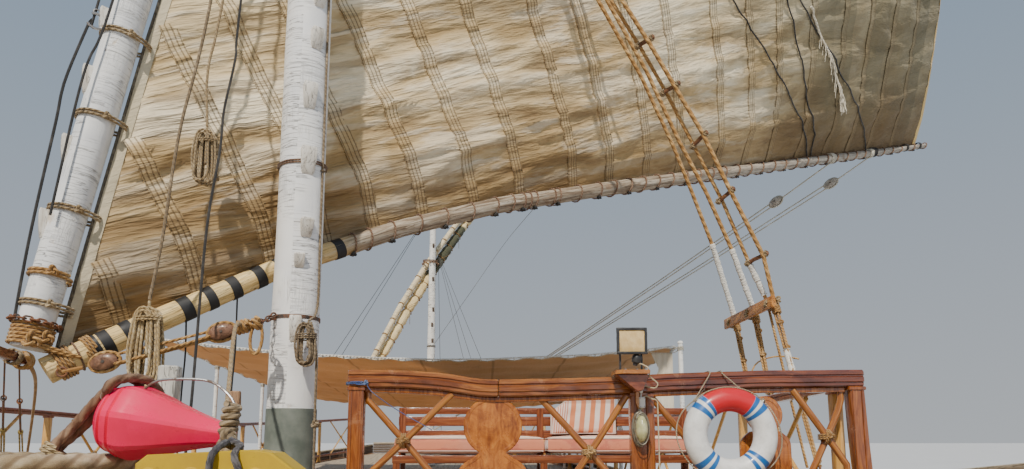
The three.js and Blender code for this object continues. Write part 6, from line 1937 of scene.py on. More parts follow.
# two rigging screws and a rope from the tack beam's end down to the bulwark
def land(u, v):
    r_ = ray(u, v)
    for t_ in np.linspace(1.5, 9, 1500):
        p = E0 + r_ * t_
        if -p[1] >= half_beam(p[0]) - .075: return p
    return p
MATS["brass"] = make_metal("brass_dull", (.50, .36, .10), (.20, .17, .07), rough=.42, metal=.85, amount=.6)
rs_i = []; rs_b = []; rs_r = []
for (u0_, u1_, u2_, um) in ((13, 9, 4, 12), (30, 27, 24, 29)):
    bot = land(u2_ + 2, 441)
    bot = V3((bot[0], bot[1], deck_z(bot[0]) + .245))
    c = ta + (tb - ta) * (.985 if u0_ > 20 else .95)
    X = bot[0]
    top = c + [0, 0, -.02]
    ringp = top + (bot - top) * .20
    d = unit(bot - top)
    rs_i.append(tube(np.array([top + [0, 0, .04], ringp - d * .018]), .005, 8))
    rs_i.append(torus(ringp, (1, 0, 0), .016, .0055, 20, 8))
    r1 = top + (bot - top) * .42; r2 = top + (bot - top) * .93
    rs_i.append(tube(np.array([ringp + d * .014, r1]), .0075, 8))
    for s_ in (-1, 1):
        off = np.array([.0, .011 * s_, 0])
        rs_b.append(tube(resample([r1 + off * .9, (r1 + r2) / 2 + off * 1.1, r2 + off * .9], .03), .007, 8))
    rs_b.append(lathe([(0, -.03), (.013, -.03), (.019, -.015), (.019, .015), (.013, .03), (0, .03)], r1, d, 14))
    rs_b.append(lathe([(0, -.03), (.012, -.03), (.017, -.015), (.017, .015), (.012, .03), (0, .03)], r2, d, 14))
    rs_i.append(tube(np.array([r2, bot + [0, 0, .004]]), .0075, 8))
    rs_i.append(boxr(bot + [-.03, -.014, -.004], bot + [.03, .014, .006], .002))
lr = [V3(tb) + [.0, .0, .045], V3(tb) + [.03, .05, -.02]]
bot = land(27, 441); bot = V3((bot[0], bot[1], deck_z(bot[0]) + .255))
lr += [at_x(35, 395, (V3(tb)[0] + bot[0]) / 2 + .02), bot + [0, 0, .02], bot + [-.02, -.02, -.01]]
rs_r.append(rope(smooth_path(lr, .02), .0125, sides=9))
rs_r.append(rope(helix(V3(tb) + [.02, .005, 0], tb - ta, .044, .024, 2.2, 18), .0115, sides=8))
make("rigging_screw_iron", rs_i, "iron", ROOT, slot="iron")
make("rigging_screw_brass", rs_b, "brass", ROOT, slot="iron")
make("tack_beam_rope", rs_r, "rope_gold", ROOT, slot="rope")
# thin wire over the float, and the fall's end made up round the float's eye and the bitts
wr_ = smooth_path([at_x(143, 390, 6.97), at_x(157, 381, 6.98), at_x(180, 379, 6.99), at_x(209, 381, 7.0), at_x(226, 392, 7.02), at_x(235, 406, 7.03), at_x(233, 428, 7.05)], .02)
MATS["wire"] = make_metal("wire_grey", (.34, .35, .36), (.16, .11, .08), rough=.4, metal=.9, amount=.5)
make("bent_wire", [tube(wr_, .0042, 8)], "wire", ROOT, slot="iron")
c0 = at_x(229, 436, 7.08)
fe = [rope(helix(at_x(230, 420, 7.06), (0, .12, 1), .020, .021, 4.5, 18), .0105, sides=8),
      knot(at_x(228, 440, 7.09), .024, .011, axis=(1, 0, .2), sides=9, rot=.5)]
fe.append(rope(smooth_path([at_x(231, 440, 7.11), at_x(241, 446, 7.17), V3((7.235, .565, 1.715)), V3((7.236, .585, 1.66)), V3((7.236, .590, 1.61)), V3((7.232, .583, 1.56))], .015), .0105, sides=8))
fe.append(rope(smooth_path([at_x(228, 443, 7.11), V3((7.17, .512, 1.745)), V3((7.234, .505, 1.715)), V3((7.237, .500, 1.65)), V3((7.233, .503, 1.585))], .015), .0105, sides=8))
MATS["rope_dark"] = make_rope("rope_dark_blue", (.12, .11, .12), (.04, .038, .045), (.30, .28, .27))
make("float_lashing", fe[:2], "rope_grey", ROOT, slot="rope")
make("float_lashing_tails", fe[2:], "rope_dark", ROOT, slot="rope")
# two stub posts on deck ahead of the mast
stp = []
for (u, v0, X, w, lean, idx) in ((171, 366, 6.05, .085, .03, 0), (236, 391, 6.1, .045, .02, 1)):
    top = at_x(u, v0, X)
    base = V3((X, top[1] - lean, deck_z(X) + .0005))
    P = np.array([base + (top - base) * t_ for t_ in np.linspace(0, 1, 10)])
    g = sweep(P, rounded_section(w, w * .8, .010, 2), (1, 0, 0), wob=.002, seed=idx, ends=.006)
    stp.append((g[0], g[1], g[2], idx))
MATS["grey_post"] = make_plain_wood("grey_post_wood", (.34, .32, .28), (.58, .56, .50), (.76, .75, .70), kind="Object", scale=(16, 16, 2.2), rough=.8, bump=.8)
MATS["brown_post"] = make_plain_wood("brown_post_wood", (.16, .09, .05), (.34, .20, .11), (.48, .31, .19), kind="Object", scale=(16, 16, 2.2), rough=.8, bump=.8)
make("deck_stub_posts", stp, ["grey_post", "brown_post"], ROOT, slot="bitts_paint")

# ------------------------------------------------------------------ railing, bench and fittings
MATS["varnish"] = make_varnish("rail_varnish_new", dark=(.060, .015, .005), mid=(.19, .052, .012), light=(.42, .155, .034), scale=(10, 1.5, 1), coat=.7)
# a darker, redder copy of the rail varnish: painted shade for the cap's starboard run
MATS["varnish_shaded"] = make_varnish("rail_varnish_painted_shade", dark=(.040, .009, .005), mid=(.120, .026, .010), light=(.27, .070, .020), scale=(10, 1.5, 1), coat=.75)
MATS["varnish_z"] = make_varnish("rail_varnish_upright", dark=(.075, .018, .006), mid=(.235, .064, .013), light=(.47, .17, .036), kind="Object", scale=(16, 16, 1.6), coat=.6)
MATS["brace"] = make_varnish("brace_varnish", dark=(.11, .028, .008), mid=(.33, .115, .024), light=(.57, .26, .060), coat=.45)
def handrail_section(w, d):
    """moulded cap: rounded top, a bead and a groove on both faces"""
    h = d / 2; x = w / 2
    return [(x - .012, h), (-x + .012, h), (-x, h - .010), (-x, h - .026), (-x + .007, h - .031), (-x + .007, h - .037), (-x, h - .043), (-x, -h + .030), (-x + .008, -h + .024), (-x + .008, -h + .008), (-x + .016, -h),
            (x - .016, -h), (x - .008, -h + .008), (x - .008, -h + .024), (x, -h + .030), (x, h - .043), (x - .007, h - .037), (x - .007, h - .031), (x, h - .026), (x, h - .010)]
RT_Y = (.45, .52, .78, 1.01, 1.24, 1.465, 1.92, 2.15, 2.26, 2.83, 3.40)
RT_Z = (.034, .037, .034, .020, -.018, -.014, -.002, .010, .020, .040, .047)
def rail_top(y):
    """the cap isn't straight: it sags between its posts and rises to port"""
    return 2.115 + float(np.interp(y, RT_Y, RT_Z))
RTOP = 2.115
zr0 = deck_z(RX + .08) + .0005
rail = []
sec = handrail_section(.105, .098)
def rail_run(y0, y1, seed):
    n = 26
    Y = np.linspace(y0, y1, n)
    Z = np.array([sum(rail_top(y + d) for d in (-.06, -.03, 0, .03, .06)) / 5 for y in Y])
    P = [V3((RX + .002 * math.sin(k * 1.1 + seed), Y[k], Z[k] - .049)) for k in range(n)]
    return sweep(np.array(P), sec, (0, 0, 1), wob=.0007, seed=seed, ends=.005)
rail.append((*rail_run(.484, 1.322, 1), 0))
rail.append((*rail_run(1.326, 2.10, 2), 0))
# the starboard run of the cap takes the darker copy of the varnish: painted shade
rail.append((*rail_run(2.10, 3.428, 3), 1))
make("front_rail_cap", rail, ["varnish", "varnish_shaded"], ROOT, replaces=("front_rail",), slot="rail_varnish", angle=32)
posts = []
for k, y in enumerate((.53, 2.118, 3.385)):
    w = .086; tz = rail_top(y)
    lean = (0, 0, .020)[k]
    P = [(RX, y + lean, zr0), (RX, y + lean * .9, zr0 + .25), (RX, y + lean * .5, 1.75), (RX, y, tz - .095)]
    posts.append(sweep(np.array(P), rounded_section(w, w, .010, 2), (1, 0, 0), wob=.0012, seed=k, ends=.003))
    posts.append(boxr((RX - .052, y + lean - .052, zr0), (RX + .052, y + lean + (.098 if k == 1 else .052), zr0 + .055), .006))
    if k == 1:                                       # a second, narrower timber stands beside the middle post
        posts.append(sweep(np.array([(RX - .006, y + .0705, zr0 + .002), (RX - .006, y + .0705, 1.75), (RX - .006, y + .0705, tz - .096)]), rounded_section(.060, .050, .012, 2), (0, 1, 0), wob=.0012, seed=17, ends=.003))
    posts.append(sweep(np.array([(RX, y, tz - .118), (RX, y, tz - .096)]), rounded_section(.102, .102, .008, 2), (1, 0, 0), ends=.004))
    if k != 1:
        # the outer posts carry the same moulding as the cap
        for dy in (-.027, .027):
            posts.append(sweep(np.array([(RX + .040, y + dy, zr0 + .06), (RX + .040, y + dy, 1.75), (RX + .040, y + dy, tz - .12)]), rounded_section(.014, .018, .005, 2), (1, 0, 0), wob=.0006, seed=k, ends=.003))
Y_ = np.linspace(.575, 3.325, 24)
posts.append(beam((RX, .575, zr0 + .155), (RX, 3.325, zr0 + .155), .058, .068, .008, n=20, wob=.001))
posts.append(sweep(np.array([(RX, y, rail_top(y) - .112) for y in Y_]), rounded_section(.040, .028, .005, 2), (0, 0, 1), wob=.0006, seed=5, ends=.003))
make("front_rail_posts", posts, "varnish_z", ROOT, slot="rail_varnish", angle=32)
br_ = []; lash = []
lo_ = zr0 + .17
def brace_px(u0, v0, u1, v1, dx, k):
    """a brace between two picture points in the railing's plane, run on to the sub-rail and the foot rail"""
    a, b = at_x(u0, v0, RX + dx), at_x(u1, v1, RX + dx)
    if a[2] < b[2]: a, b = b, a
    d = (b - a) / (b[2] - a[2])
    hi = rail_top(a[1]) - .11
    p, q = a + d * (hi - a[2]), a + d * (lo_ - a[2])
    P = np.array([p + (q - p) * t + np.array([0, 0, 0]) + V3((0, .006 * math.sin(t * 3.1), 0)) for t in np.linspace(0, 1, 10)])
    P[:, 1] = np.clip(P[:, 1], .59, 3.31)
    R = [.0195 + .0016 * mnoise.noise(Vector((k * 5, t_, 2))) for t_ in range(10)]
    return tube(P, R, 14)
BRACES = [((366, 398), (403, 441)), ((450, 396), (403, 441)), ((540, 398), (589, 452.5)), ((626, 396), (589, 452.5)), ((651, 397), (680, 432)), ((790, 387), (826, 437)), ((848, 385), (826, 437))]
for k, ((u0, v0), (u1, v1)) in enumerate(BRACES):
    br_.append(brace_px(u0, v0, u1, v1, .012 if k % 2 else -.012, k))
for k, (u, v) in enumerate(((403, 441), (589, 452.5), (826, 437))):
    c = at_x(u, v, RX)
    lash.append(rope(helix(c, (0, 1, .02), .041, .011, 3, 18), .0055, sides=7))
    lash.append(rope(helix(c, (0, .02, 1), .041, .011, 3, 18), .0055, sides=7))
    lash.append(knot(c + [.045, .01, .008], .016, .0055, axis=(1, 0, 0), rot=k))
make("front_rail_braces", br_, "brace", ROOT, slot="rail_varnish")
make("brace_lashings", lash, "rope_gold", ROOT, slot="rope")
# a short blue cord on the left post
bk_ = at_x(366, 383, RX + .060)
blue = [rope(helix((RX, .53, bk_[2]), (0, 0, 1), .064, .008, 2, 20), .004, sides=6, fine=False), knot(bk_ + [.004, 0, 0], .013, .004, axis=(1, 0, 0)),
        rope(smooth_path([bk_, at_x(360, 385, RX + .066), at_x(353, 383, RX + .055), at_x(350, 386, RX + .02)], .01), .0030, sides=6, fine=False),
        rope(smooth_path([bk_, at_x(372, 392, RX + .064), at_x(394, 408, RX + .058), at_x(416, 421, RX + .056), at_x(432, 430, RX + .054)], .02), .0026, sides=6, fine=False)]
MATS["cord_blue"] = make_rope("cord_blue", (.10, .20, .52), (.03, .06, .20), (.45, .58, .78))
make("rail_cord_lashing", blue, "cord_blue", ROOT, slot="rope")
# keyhole boards
def keyhole(y, r, neck, shoulder, seed, zc=1.838, zs=1.585):
    zl = zr0 + .19 + .0005
    o = [(-shoulder, zl), (shoulder, zl), (shoulder, zs)]
    for k in range(1, 6):
        t = k / 6; o.append((shoulder - (shoulder - neck - .012) * (t ** 1.6), zs + .085 * t ** .8))
    o.append((neck, zc - math.sqrt(max(0, r * r - neck * neck)) - .006))
    a0 = -math.acos(min(1, neck / r))
    for k in range(31):
        a = a0 + (math.pi - 2 * a0) * k / 30
        o.append((r * math.cos(a), zc + r * math.sin(a)))
    o.append((-neck, zc - math.sqrt(max(0, r * r - neck * neck)) - .006))
    for k in range(5, 0, -1):
        t = k / 6; o.append((-(shoulder - (shoulder - neck - .012) * (t ** 1.6)), zs + .085 * t ** .8))
    o.append((-shoulder, zs))
    parts = []
    n = len(o)
    c = (0, sum(p[1] for p in o) / n)
    def ring(x, inset):
        out = []
        for i, (a, b) in enumerate(o):
            pa, pb = o[i - 1], o[(i + 1) % n]
            tx, tz = pb[0] - pa[0], pb[1] - pa[1]
            l = math.hypot(tx, tz) or 1
            nx, nz = tz / l, -tx / l
            out.append((RX + x, y + a - nx * inset, b - nz * inset))
        return out
    rows = [ring(-.013, .004), ring(-.009, 0), ring(.009, 0), ring(.013, .004), ring(.013, .020), ring(.0105, .024), ring(.0105, .030)]
    V = [p for r_ in rows for p in r_]
    F = []; U = []
    for i in range(len(rows) - 1):
        for k in range(n):
            k2 = (k + 1) % n
            F.append([i * n + k, i * n + k2, (i + 1) * n + k2, (i + 1) * n + k])
            U += [[0, 0]] * 4
    F.append(list(range(n))[::-1]); U += [[0, 0]] * n
    b = (len(rows) - 1) * n
    F.append([b + k for k in range(n)]); U += [[0, 0]] * n
    return np.array(V), F, np.array(U, float)
make("rail_board_1_wood", [keyhole(1.295, .165, .0785, .19, 1)], "board", ROOT, replaces=("rail_board_1",), slot="board_varnish", angle=30)
make("rail_board_2_wood", [keyhole(2.85, .105, .055, .145, 2, 1.905, 1.735)], "board", ROOT, replaces=("rail_board_2",), slot="board_varnish", angle=30)

# lifebuoy: white ring with a red head, two blue bands, each between white stripes, and a grab line
LC = V3((RX + .125, 2.606, 1.787)); LR, Lr = .196, .066
def ring_material():
    q = Mat("lifebuoy_paint", rough=.38, spec=.45, coat=.2)
    uv = q.co("UV")
    a = q.sep(uv, 0)          # 0..1 round the ring, from the top towards port
    tone = q.noise(q.co("Object"), 18, 5, .65)
    white = q.mix(q.rng(tone, .35, .75), (.80, .80, .78), (.62, .62, .60))
    def seg(lo, hi):
        return q.mth("MULTIPLY", q.rng(a, lo - .002, lo + .002), q.rng(a, hi - .002, hi + .002, 1, 0))
    c = white
    c = q.mix(q.mth("MAXIMUM", seg(-.1, .094), seg(.904, 1.1)), c, (.58, .012, .022))
    for lo, hi in ((.094, .113), (.127, .150), (.850, .873), (.887, .904), (.355, .378), (.392, .412), (.588, .608), (.622, .645)):
        c = q.mix(seg(lo, hi), c, (.015, .13, .40))
    scuff = q.rng(q.noise(q.co("Object"), 55, 6, .75), .62, .72)
    c = q.mix(q.mth("MULTIPLY", scuff, .5), c, (.30, .28, .26))
    return q.done(c, q.rng(tone, .3, .7, .3, .5), q.bump(q.noise(q.co("Object"), 90, 4, .6), .2, .002))
MATS["ring"] = ring_material()
def ring_mesh():
    n, m = 96, 26
    V = []; F = []; U = []
    for i in range(n):
        a = 2 * math.pi * i / n          # from the top towards port (+Y)
        cdir = np.array([0, math.sin(a), math.cos(a)])
        c = LC + cdir * LR
        for k in range(m):
            t = 2 * math.pi * k / m
            sq = 1.0 - .05 * (math.cos(t) ** 4)
            V.append(c + cdir * (math.cos(t) * Lr * 1.0) + np.array([1.0, 0, 0]) * (math.sin(t) * Lr * sq * .96))
    for i in range(n):
        i2 = (i + 1) % n
        for k in range(m):
            k2 = (k + 1) % m
            F.append([i * m + k, i2 * m + k, i2 * m + k2, i * m + k2])
            U += [[i / n, k / m], [(i + 1) / n, k / m], [(i + 1) / n, (k + 1) / m], [i / n, (k + 1) / m]]
    return np.array(V), F, np.array(U)
make("lifebuoy_ring", [ring_mesh()], "ring", ROOT, replaces=("lifebuoy",), slot="ring_plastic")
gl = []; ey = []
MATS["line_tan"] = make_rope("line_tan", (.60, .50, .34), (.30, .23, .14), (.78, .70, .52))
for k in range(4):
    a0 = math.radians(45 + 90 * k)
    cd = np.array([0, math.sin(a0), math.cos(a0)])
    ey.append(torus(LC + cd * (LR + Lr + .004), np.cross(cd, [1.0, 0, 0]), .009, .0035, 14, 7))
    gl.append(knot(LC + cd * (LR + Lr + .009) + np.array([.006, 0, 0]), .009, .0036, axis=(1, 0, 0), rot=k))
    a1 = a0 + math.pi / 2
    pts = []
    for t in np.linspace(0, 1, 15):
        a = a0 + (a1 - a0) * t
        slack = (.030 if k == 2 else .014) * math.sin(math.pi * t) - (.012 * math.sin(2 * math.pi * t) if k == 2 else 0)
        rr = LR + Lr + .009 + slack
        cc_ = np.array([0, math.sin(a), math.cos(a)])
        q = LC + cc_ * rr + np.array([.010 * math.sin(math.pi * t), 0, -.020 * math.sin(math.pi * t)])
        pts.append(q)
    gl.append(rope(smooth_path(pts, .01), .0040, sides=7))
make("lifebuoy_grab_line", gl, "line_tan", ROOT, slot="rope")
make("lifebuoy_eyes", ey, "steel", ROOT, slot="iron")
lh = []
for (u0, v0), aim in (((709.6, 373.4), math.radians(-45)), ((722.0, 372.5), math.radians(14))):
    y = float(at_x(u0, v0, RX + .056)[1]); zt_ = rail_top(y)
    cd = np.array([0, math.sin(aim), math.cos(aim)])
    end = LC + cd * (LR + Lr + .008) + np.array([-.012, 0, 0])
    ftop, fbot = V3((RX + .0585, y, zt_ - .012)), V3((RX + .0585, y + .3 * (end[1] - y), zt_ - .100))
    pts = [end, end + (ftop - end) * .5 + [.004, 0, 0], ftop, V3((RX + .046, y, zt_ + .0045)), V3((RX, y, zt_ + .0055)), V3((RX - .046, y, zt_ + .0045)), V3((RX - .0585, y, zt_ - .012)),
           V3((RX - .0585, y, zt_ - .090)), V3((RX - .046, y, zt_ - .1045)), V3((RX, y, zt_ - .1055)), V3((RX + .046, fbot[1], zt_ - .1045)), fbot + [0, 0, .004], end + [-.004, .006, .006]]
    lh.append(rope(smooth_path(pts, .01), .0036, sides=7))
make("lifebuoy_hangers", lh, "line_tan", ROOT, slot="rope")

# ------------------------------------------------------------------ lamp shelf, floodlight, junction box and caged bulkhead lamp
MATS["frame_black"] = make_paint("frame_black", (.018, .018, .019), (.05, .05, .052), (.20, .19, .17), rough=.42, amount=.5, scale=14)
MATS["cable_cream"] = make_paint("cable_cream", (.58, .50, .34), (.44, .36, .22), (.22, .16, .09), rough=.5, amount=.4, scale=20)
def glass_material(name, base, shade):
    q = Mat(name, rough=.12, spec=.6, coat=.8, coat_rough=.04)
    t = q.noise(q.co("Object"), 30, 4, .6)
    c = q.mix(q.rng(t, .3, .7), base, shade)
    ribs = q.wave(q.co("Object"), 90, .4, 1, 2, "Z")
    return q.done(c, q.rng(t, .3, .7, .08, .25), q.bump(ribs, .12, .001))
MATS["lamp_glass"] = glass_material("lamp_glass", (.72, .52, .24), (.60, .40, .15))
MATS["lamp_frost"] = glass_material("lamp_frost", (.62, .60, .34), (.40, .40, .18))
MATS["shelf"] = make_varnish("shelf_varnish", dark=(.20, .055, .012), mid=(.50, .20, .045), light=(.74, .40, .12), kind="Object", scale=(9, 3, 9), coat=.4)
MATS["lamp_frame"] = make_metal("lamp_frame_metal", (.30, .28, .23), (.17, .11, .06), rough=.45, metal=.7, amount=.5)
# a darker copy of the shelf's varnish: painted shade for the wedge under the board
MATS["shelf_shaded"] = make_varnish("shelf_underside_painted_shade", dark=(.060, .012, .006), mid=(.17, .038, .012), light=(.34, .10, .030), kind="Object", scale=(9, 3, 9), coat=.5)
def prism(outline, x0_, x1_, mi):
    """a closed board cut to an outline in the railing's plane, bevelled a little along both faces"""
    n = len(outline); c = np.mean(np.array(outline), axis=0)
    V = []; F = []; U = []
    for x, k in ((x0_, .004), (x0_ + .004, 0), (x1_ - .004, 0), (x1_, .004)):
        for y, z in outline:
            d = np.array([y, z]) - c; l = np.linalg.norm(d) or 1
            V.append((x, y - d[0] / l * k, z - d[1] / l * k))
    for r_ in range(3):
        for k in range(n):
            k2 = (k + 1) % n
            F.append([r_ * n + k, r_ * n + k2, (r_ + 1) * n + k2, (r_ + 1) * n + k]); U += [[0, 0]] * 4
    F.append(list(range(n))[::-1]); U += [[0, 0]] * n
    F.append([3 * n + k for k in range(n)]); U += [[0, 0]] * n
    return (*fix_closed((np.array(V), F, np.array(U, float))), mi)
# a thin board with a pointed end over a wedge that carries it on the post
shelf = [(*boxr((5.275, 2.012, 2.1185), (5.438, 2.148, 2.1395), .006), 0)]
pl = [(5.275, 1.962), (5.275, 2.016), (5.438, 2.016), (5.438, 2.000), (5.400, 1.964)]
V_ = []
for z_ in (2.1185, 2.1395):
    V_ += [(x_, y_, z_) for x_, y_ in pl]
F_ = [[4, 3, 2, 1, 0], [5, 6, 7, 8, 9]] + [[k, (k + 1) % 5, 5 + (k + 1) % 5, 5 + k] for k in range(5)]
shelf.append((*fix_closed((np.array(V_), F_, np.zeros((sum(len(f) for f in F_), 2)))), 0))
# the wedge under the board takes the darker copy: painted shade
shelf.append(prism([(1.972, 2.1175), (2.146, 2.1175), (2.146, 2.098), (2.116, 2.030), (2.086, 2.022), (2.040, 2.058)], 5.290, 5.398, 1))
shelf.append(prism([(2.098, 2.10), (2.118, 2.10), (2.112, 1.93), (2.096, 1.965)], 5.276, 5.296, 0))
make("lamp_shelf_board", shelf, ["shelf", "shelf_shaded"], ROOT, replaces=("lamp_shelf",), slot="rail_varnish", angle=32)
fl = []
x0, x1, y0, y1, z0, z1 = 5.312, 5.388, 1.978, 2.148, 2.2305, 2.3798
fl.append((*boxr((x0 + .018, y0 + .008, z0 + .008), (x1 - .014, y1 - .008, z1 - .008), .010), 0))
for k in range(9):                                  # cooling fins behind
    y = y0 + .019 + k * .0165
    fl.append((*boxr((x0, y - .0022, z0 + .020), (x0 + .022, y + .0022, z1 - .020), .001), 0))
for a, b in (((x1 - .020, y0, z1 - .015), (x1, y1, z1)), ((x1 - .020, y0, z0), (x1, y1, z0 + .015)), ((x1 - .020, y0, z0 + .010), (x1, y0 + .015, z1 - .010)), ((x1 - .020, y1 - .015, z0 + .010), (x1, y1, z1 - .010))):
    fl.append((*boxr(a, b, .003), 0))
fl.append((*boxr((x1 - .014, y0 + .013, z0 + .013), (x1 - .006, y1 - .013, z1 - .013), .002), 1))
fl.append((*boxr((x1 - .024, y0 + .040, z0 + .045), (x1 - .013, y1 - .040, z1 - .045), .004), 1))
for y in (2.0015, 2.1225):                           # bracket legs and foot
    fl.append((*boxr((5.335, y - .0045, 2.146), (5.352, y + .0045, 2.300), .002), 0))
    fl.append((*lathe([(0, -.006), (.012, -.006), (.012, .004), (.008, .008), (0, .008)], (5.349, y + (.006 if y > 2.1 else -.006), 2.305), (0, 1 if y > 2.1 else -1, 0), 16), 2))
fl.append((*boxr((5.330, 1.9965, 2.1403), (5.368, 2.1275, 2.1465), .002), 0))
# the gland and connection box under its right side
fl.append((*lathe([(0, -.034), (.012, -.034), (.014, -.022), (.024, -.016), (.027, .004), (.025, .020), (.018, .030), (0, .031)], (5.352, 2.092, 2.203), (.1, .25, 1), 20), 0))
for y in (2.03, 2.095):
    fl.append((*lathe([(0, 0), (.008, 0), (.008, .005), (.005, .008), (0, .008)], (5.349, y, 2.1465), (0, 0, 1), 6), 2))
make("floodlight_lamp", fl, ["frame_black", "lamp_glass", "steel"], ROOT, replaces=("floodlight",), slot="lamp_metal", angle=34)
jb = [(*boxr((5.268, 2.112, 1.938), (5.302, 2.148, 2.000), .006), 0), (*boxr((5.300, 2.115, 1.941), (5.306, 2.145, 1.997), .003), 0),
      (*boxr((5.270, 2.118, 2.024), (5.292, 2.138, 2.078), .004), 0), (*tube(np.array([(5.281, 2.128, 2.0), (5.281, 2.128, 2.026)]), .0045, 8), 0)]
for y, z in ((2.119, 1.946), (2.141, 1.946), (2.119, 1.992), (2.141, 1.992)):
    jb.append((*lathe([(0, 0), (.0032, 0), (.0032, .002), (0, .0025)], (5.306, y, z), (1, 0, 0), 10), 1))
MATS["grey_plastic"] = make_paint("grey_plastic", (.78, .77, .72), (.62, .60, .54), (.12, .12, .12), rough=.55, amount=.4, scale=16)
make("junction_box", jb, ["grey_plastic", "steel"], ROOT, slot="lamp_metal", angle=34)
# the caged lamp: base plate, gland, frosted glass and a wire guard
BL = V3((5.325, 2.118, 1.822))
def oval(P, sy, sz):
    V, F, U = P
    V = V.copy(); V[:, 1] = BL[1] + (V[:, 1] - BL[1]) * sy; V[:, 2] = BL[2] + (V[:, 2] - BL[2]) * sz
    return V, F, U
bl = [(*oval(lathe([(0, -.056), (.055, -.056), (.055, -.050), (.053, -.040), (.047, -.030), (.044, -.030), (.044, -.034), (0, -.034)], BL, (1, 0, 0), 36), .86, 1.88), 0)]
bl.append((*oval(lathe([(0, -.034), (.040, -.034), (.040, -.010), (.036, .012), (.026, .030), (.012, .040), (0, .042)], BL, (1, 0, 0), 36), .88, 1.9), 1))
def bl_ring(x, r):
    th = np.linspace(0, 2 * math.pi, 41)
    return np.array([(BL[0] + x, BL[1] + .87 * r * math.cos(t), BL[2] + r * 1.89 * math.sin(t)) for t in th])
for x, r, w in ((-.030, .050, .0042), (.012, .0465, .0030)):
    bl.append((*tube(bl_ring(x, r), w, 8), 0))
for ang in (90, 45, 135, 0):                          # guard bars over the glass
    a = math.radians(ang)
    pts = []
    for t in np.linspace(-1, 1, 21):
        h = .050 * math.cos(abs(t) ** 1.4 * math.pi / 2) - .028
        pts.append((BL[0] + h + .006, BL[1] + .0445 * t * math.cos(a), BL[2] + .051 * 1.89 * t * math.sin(a)))
    bl.append((*tube(np.array(pts), .0029, 8), 0))
bl.append((*tube(np.array([BL + [-.045, 0, .098], BL + [-.045, 0, .118]]), .011, 14), 0))
make("caged_lamp", bl, ["lamp_frame", "lamp_frost"], ROOT, replaces=("bulkhead_lamp",), slot="lamp_metal", angle=34)
cb = [tube(smooth_path([(5.285, 2.128, 1.939), (5.292, 2.132, 1.934), (5.288, 2.124, 1.931), BL + [-.045, 0, .116]], .005), .0042, 8),
      tube(smooth_path([(5.281, 2.128, 2.077), (5.293, 2.150, 2.062), (5.318, 2.186, 2.048), (5.330, 2.205, 2.052), (5.334, 2.213, 2.072), (5.330, 2.196, 2.090), (5.345, 2.166, 2.112), (5.402, 2.146, 2.150), (5.372, 2.118, 2.176), (5.356, 2.100, 2.180)], .006), .0040, 8),
      tube(smooth_path([(5.285, 2.140, 1.999), (5.290, 2.158, 2.006), (5.286, 2.185, 1.990), (5.281, 2.215, 1.985), (5.281, 2.222, 1.960), (5.281, 2.222, 1.80), (5.281, 2.223, 1.60), (5.281, 2.222, 1.45), (5.281, 2.222, zr0 + .26), (5.27, 2.216, zr0 + .235), (5.252, 2.205, zr0 + .222)], .02), .0040, 8)]
make("lamp_cables", cb, "cable_cream", ROOT, slot="lamp_metal")
cl = [torus((5.279, 2.222, z), (0, 0, 1), .006, .0016, 12, 6) for z in (1.90, 1.70, 1.52)]
make("cable_clips", cl, "steel", ROOT, slot="lamp_metal")

# ------------------------------------------------------------------ bench and its striped cushions
MATS["bench_wood"] = make_varnish("bench_wood", dark=(.075, .018, .008), mid=(.20, .052, .018), light=(.38, .135, .045), coat=.35)
zb0 = deck_z(4.40) + .003
bn = []
nsl = 4
for k in range(nsl):
    xa = 4.046 + k * .079
    bn.append(beam((xa + .036, .622, 1.6485), (xa + .036, 2.748, 1.6485), .070, .022, .005, n=18, wob=.0007, seed=k))
bn.append(beam((4.345, .622, 1.632), (4.345, 2.748, 1.632), .026, .054, .005, n=18, wob=.0006, seed=9))
bn.append(beam((4.045, .622, 1.630), (4.045, 2.748, 1.630), .022, .050, .004, n=18, wob=.0006, seed=10))
for k, z in enumerate((1.70, 1.80, 1.90, 1.975)):
    bn.append(beam((4.021, .622, z), (4.021, 2.748, z), .022, .070 if k < 3 else .048, .006, n=18, wob=.0007, seed=20 + k))
for y in (.65, 1.655, 2.72):
    bn.append(beam((4.020, y, zb0), (4.020, y, 1.995), .038, .050, .006, up=(0, 1, 0), n=8, wob=.0006))
    bn.append(beam((4.330, y, zb0), (4.330, y, 1.640), .050, .050, .006, up=(0, 1, 0), n=6, wob=.0006))
    bn.append(beam((4.030, y, 1.615), (4.340, y, 1.615), .034, .040, .005, n=5))
    bn.append(beam((4.035, y, zb0 + .10), (4.325, y, zb0 + .10), .028, .030, .004, n=5))
for y0, y1 in ((.680, 1.625), (1.685, 2.692)):      # boards that close the seat in front
    for k in range(2):
        bn.append(beam((4.338, y0, 1.495 - .132 * k), (4.338, y1, 1.495 - .132 * k), .018, .124, .004, n=16, wob=.0006, seed=40 + k))
make("bench_frame", bn, "bench_wood", ROOT, replaces=("bench",), slot="bench_timber", angle=32)
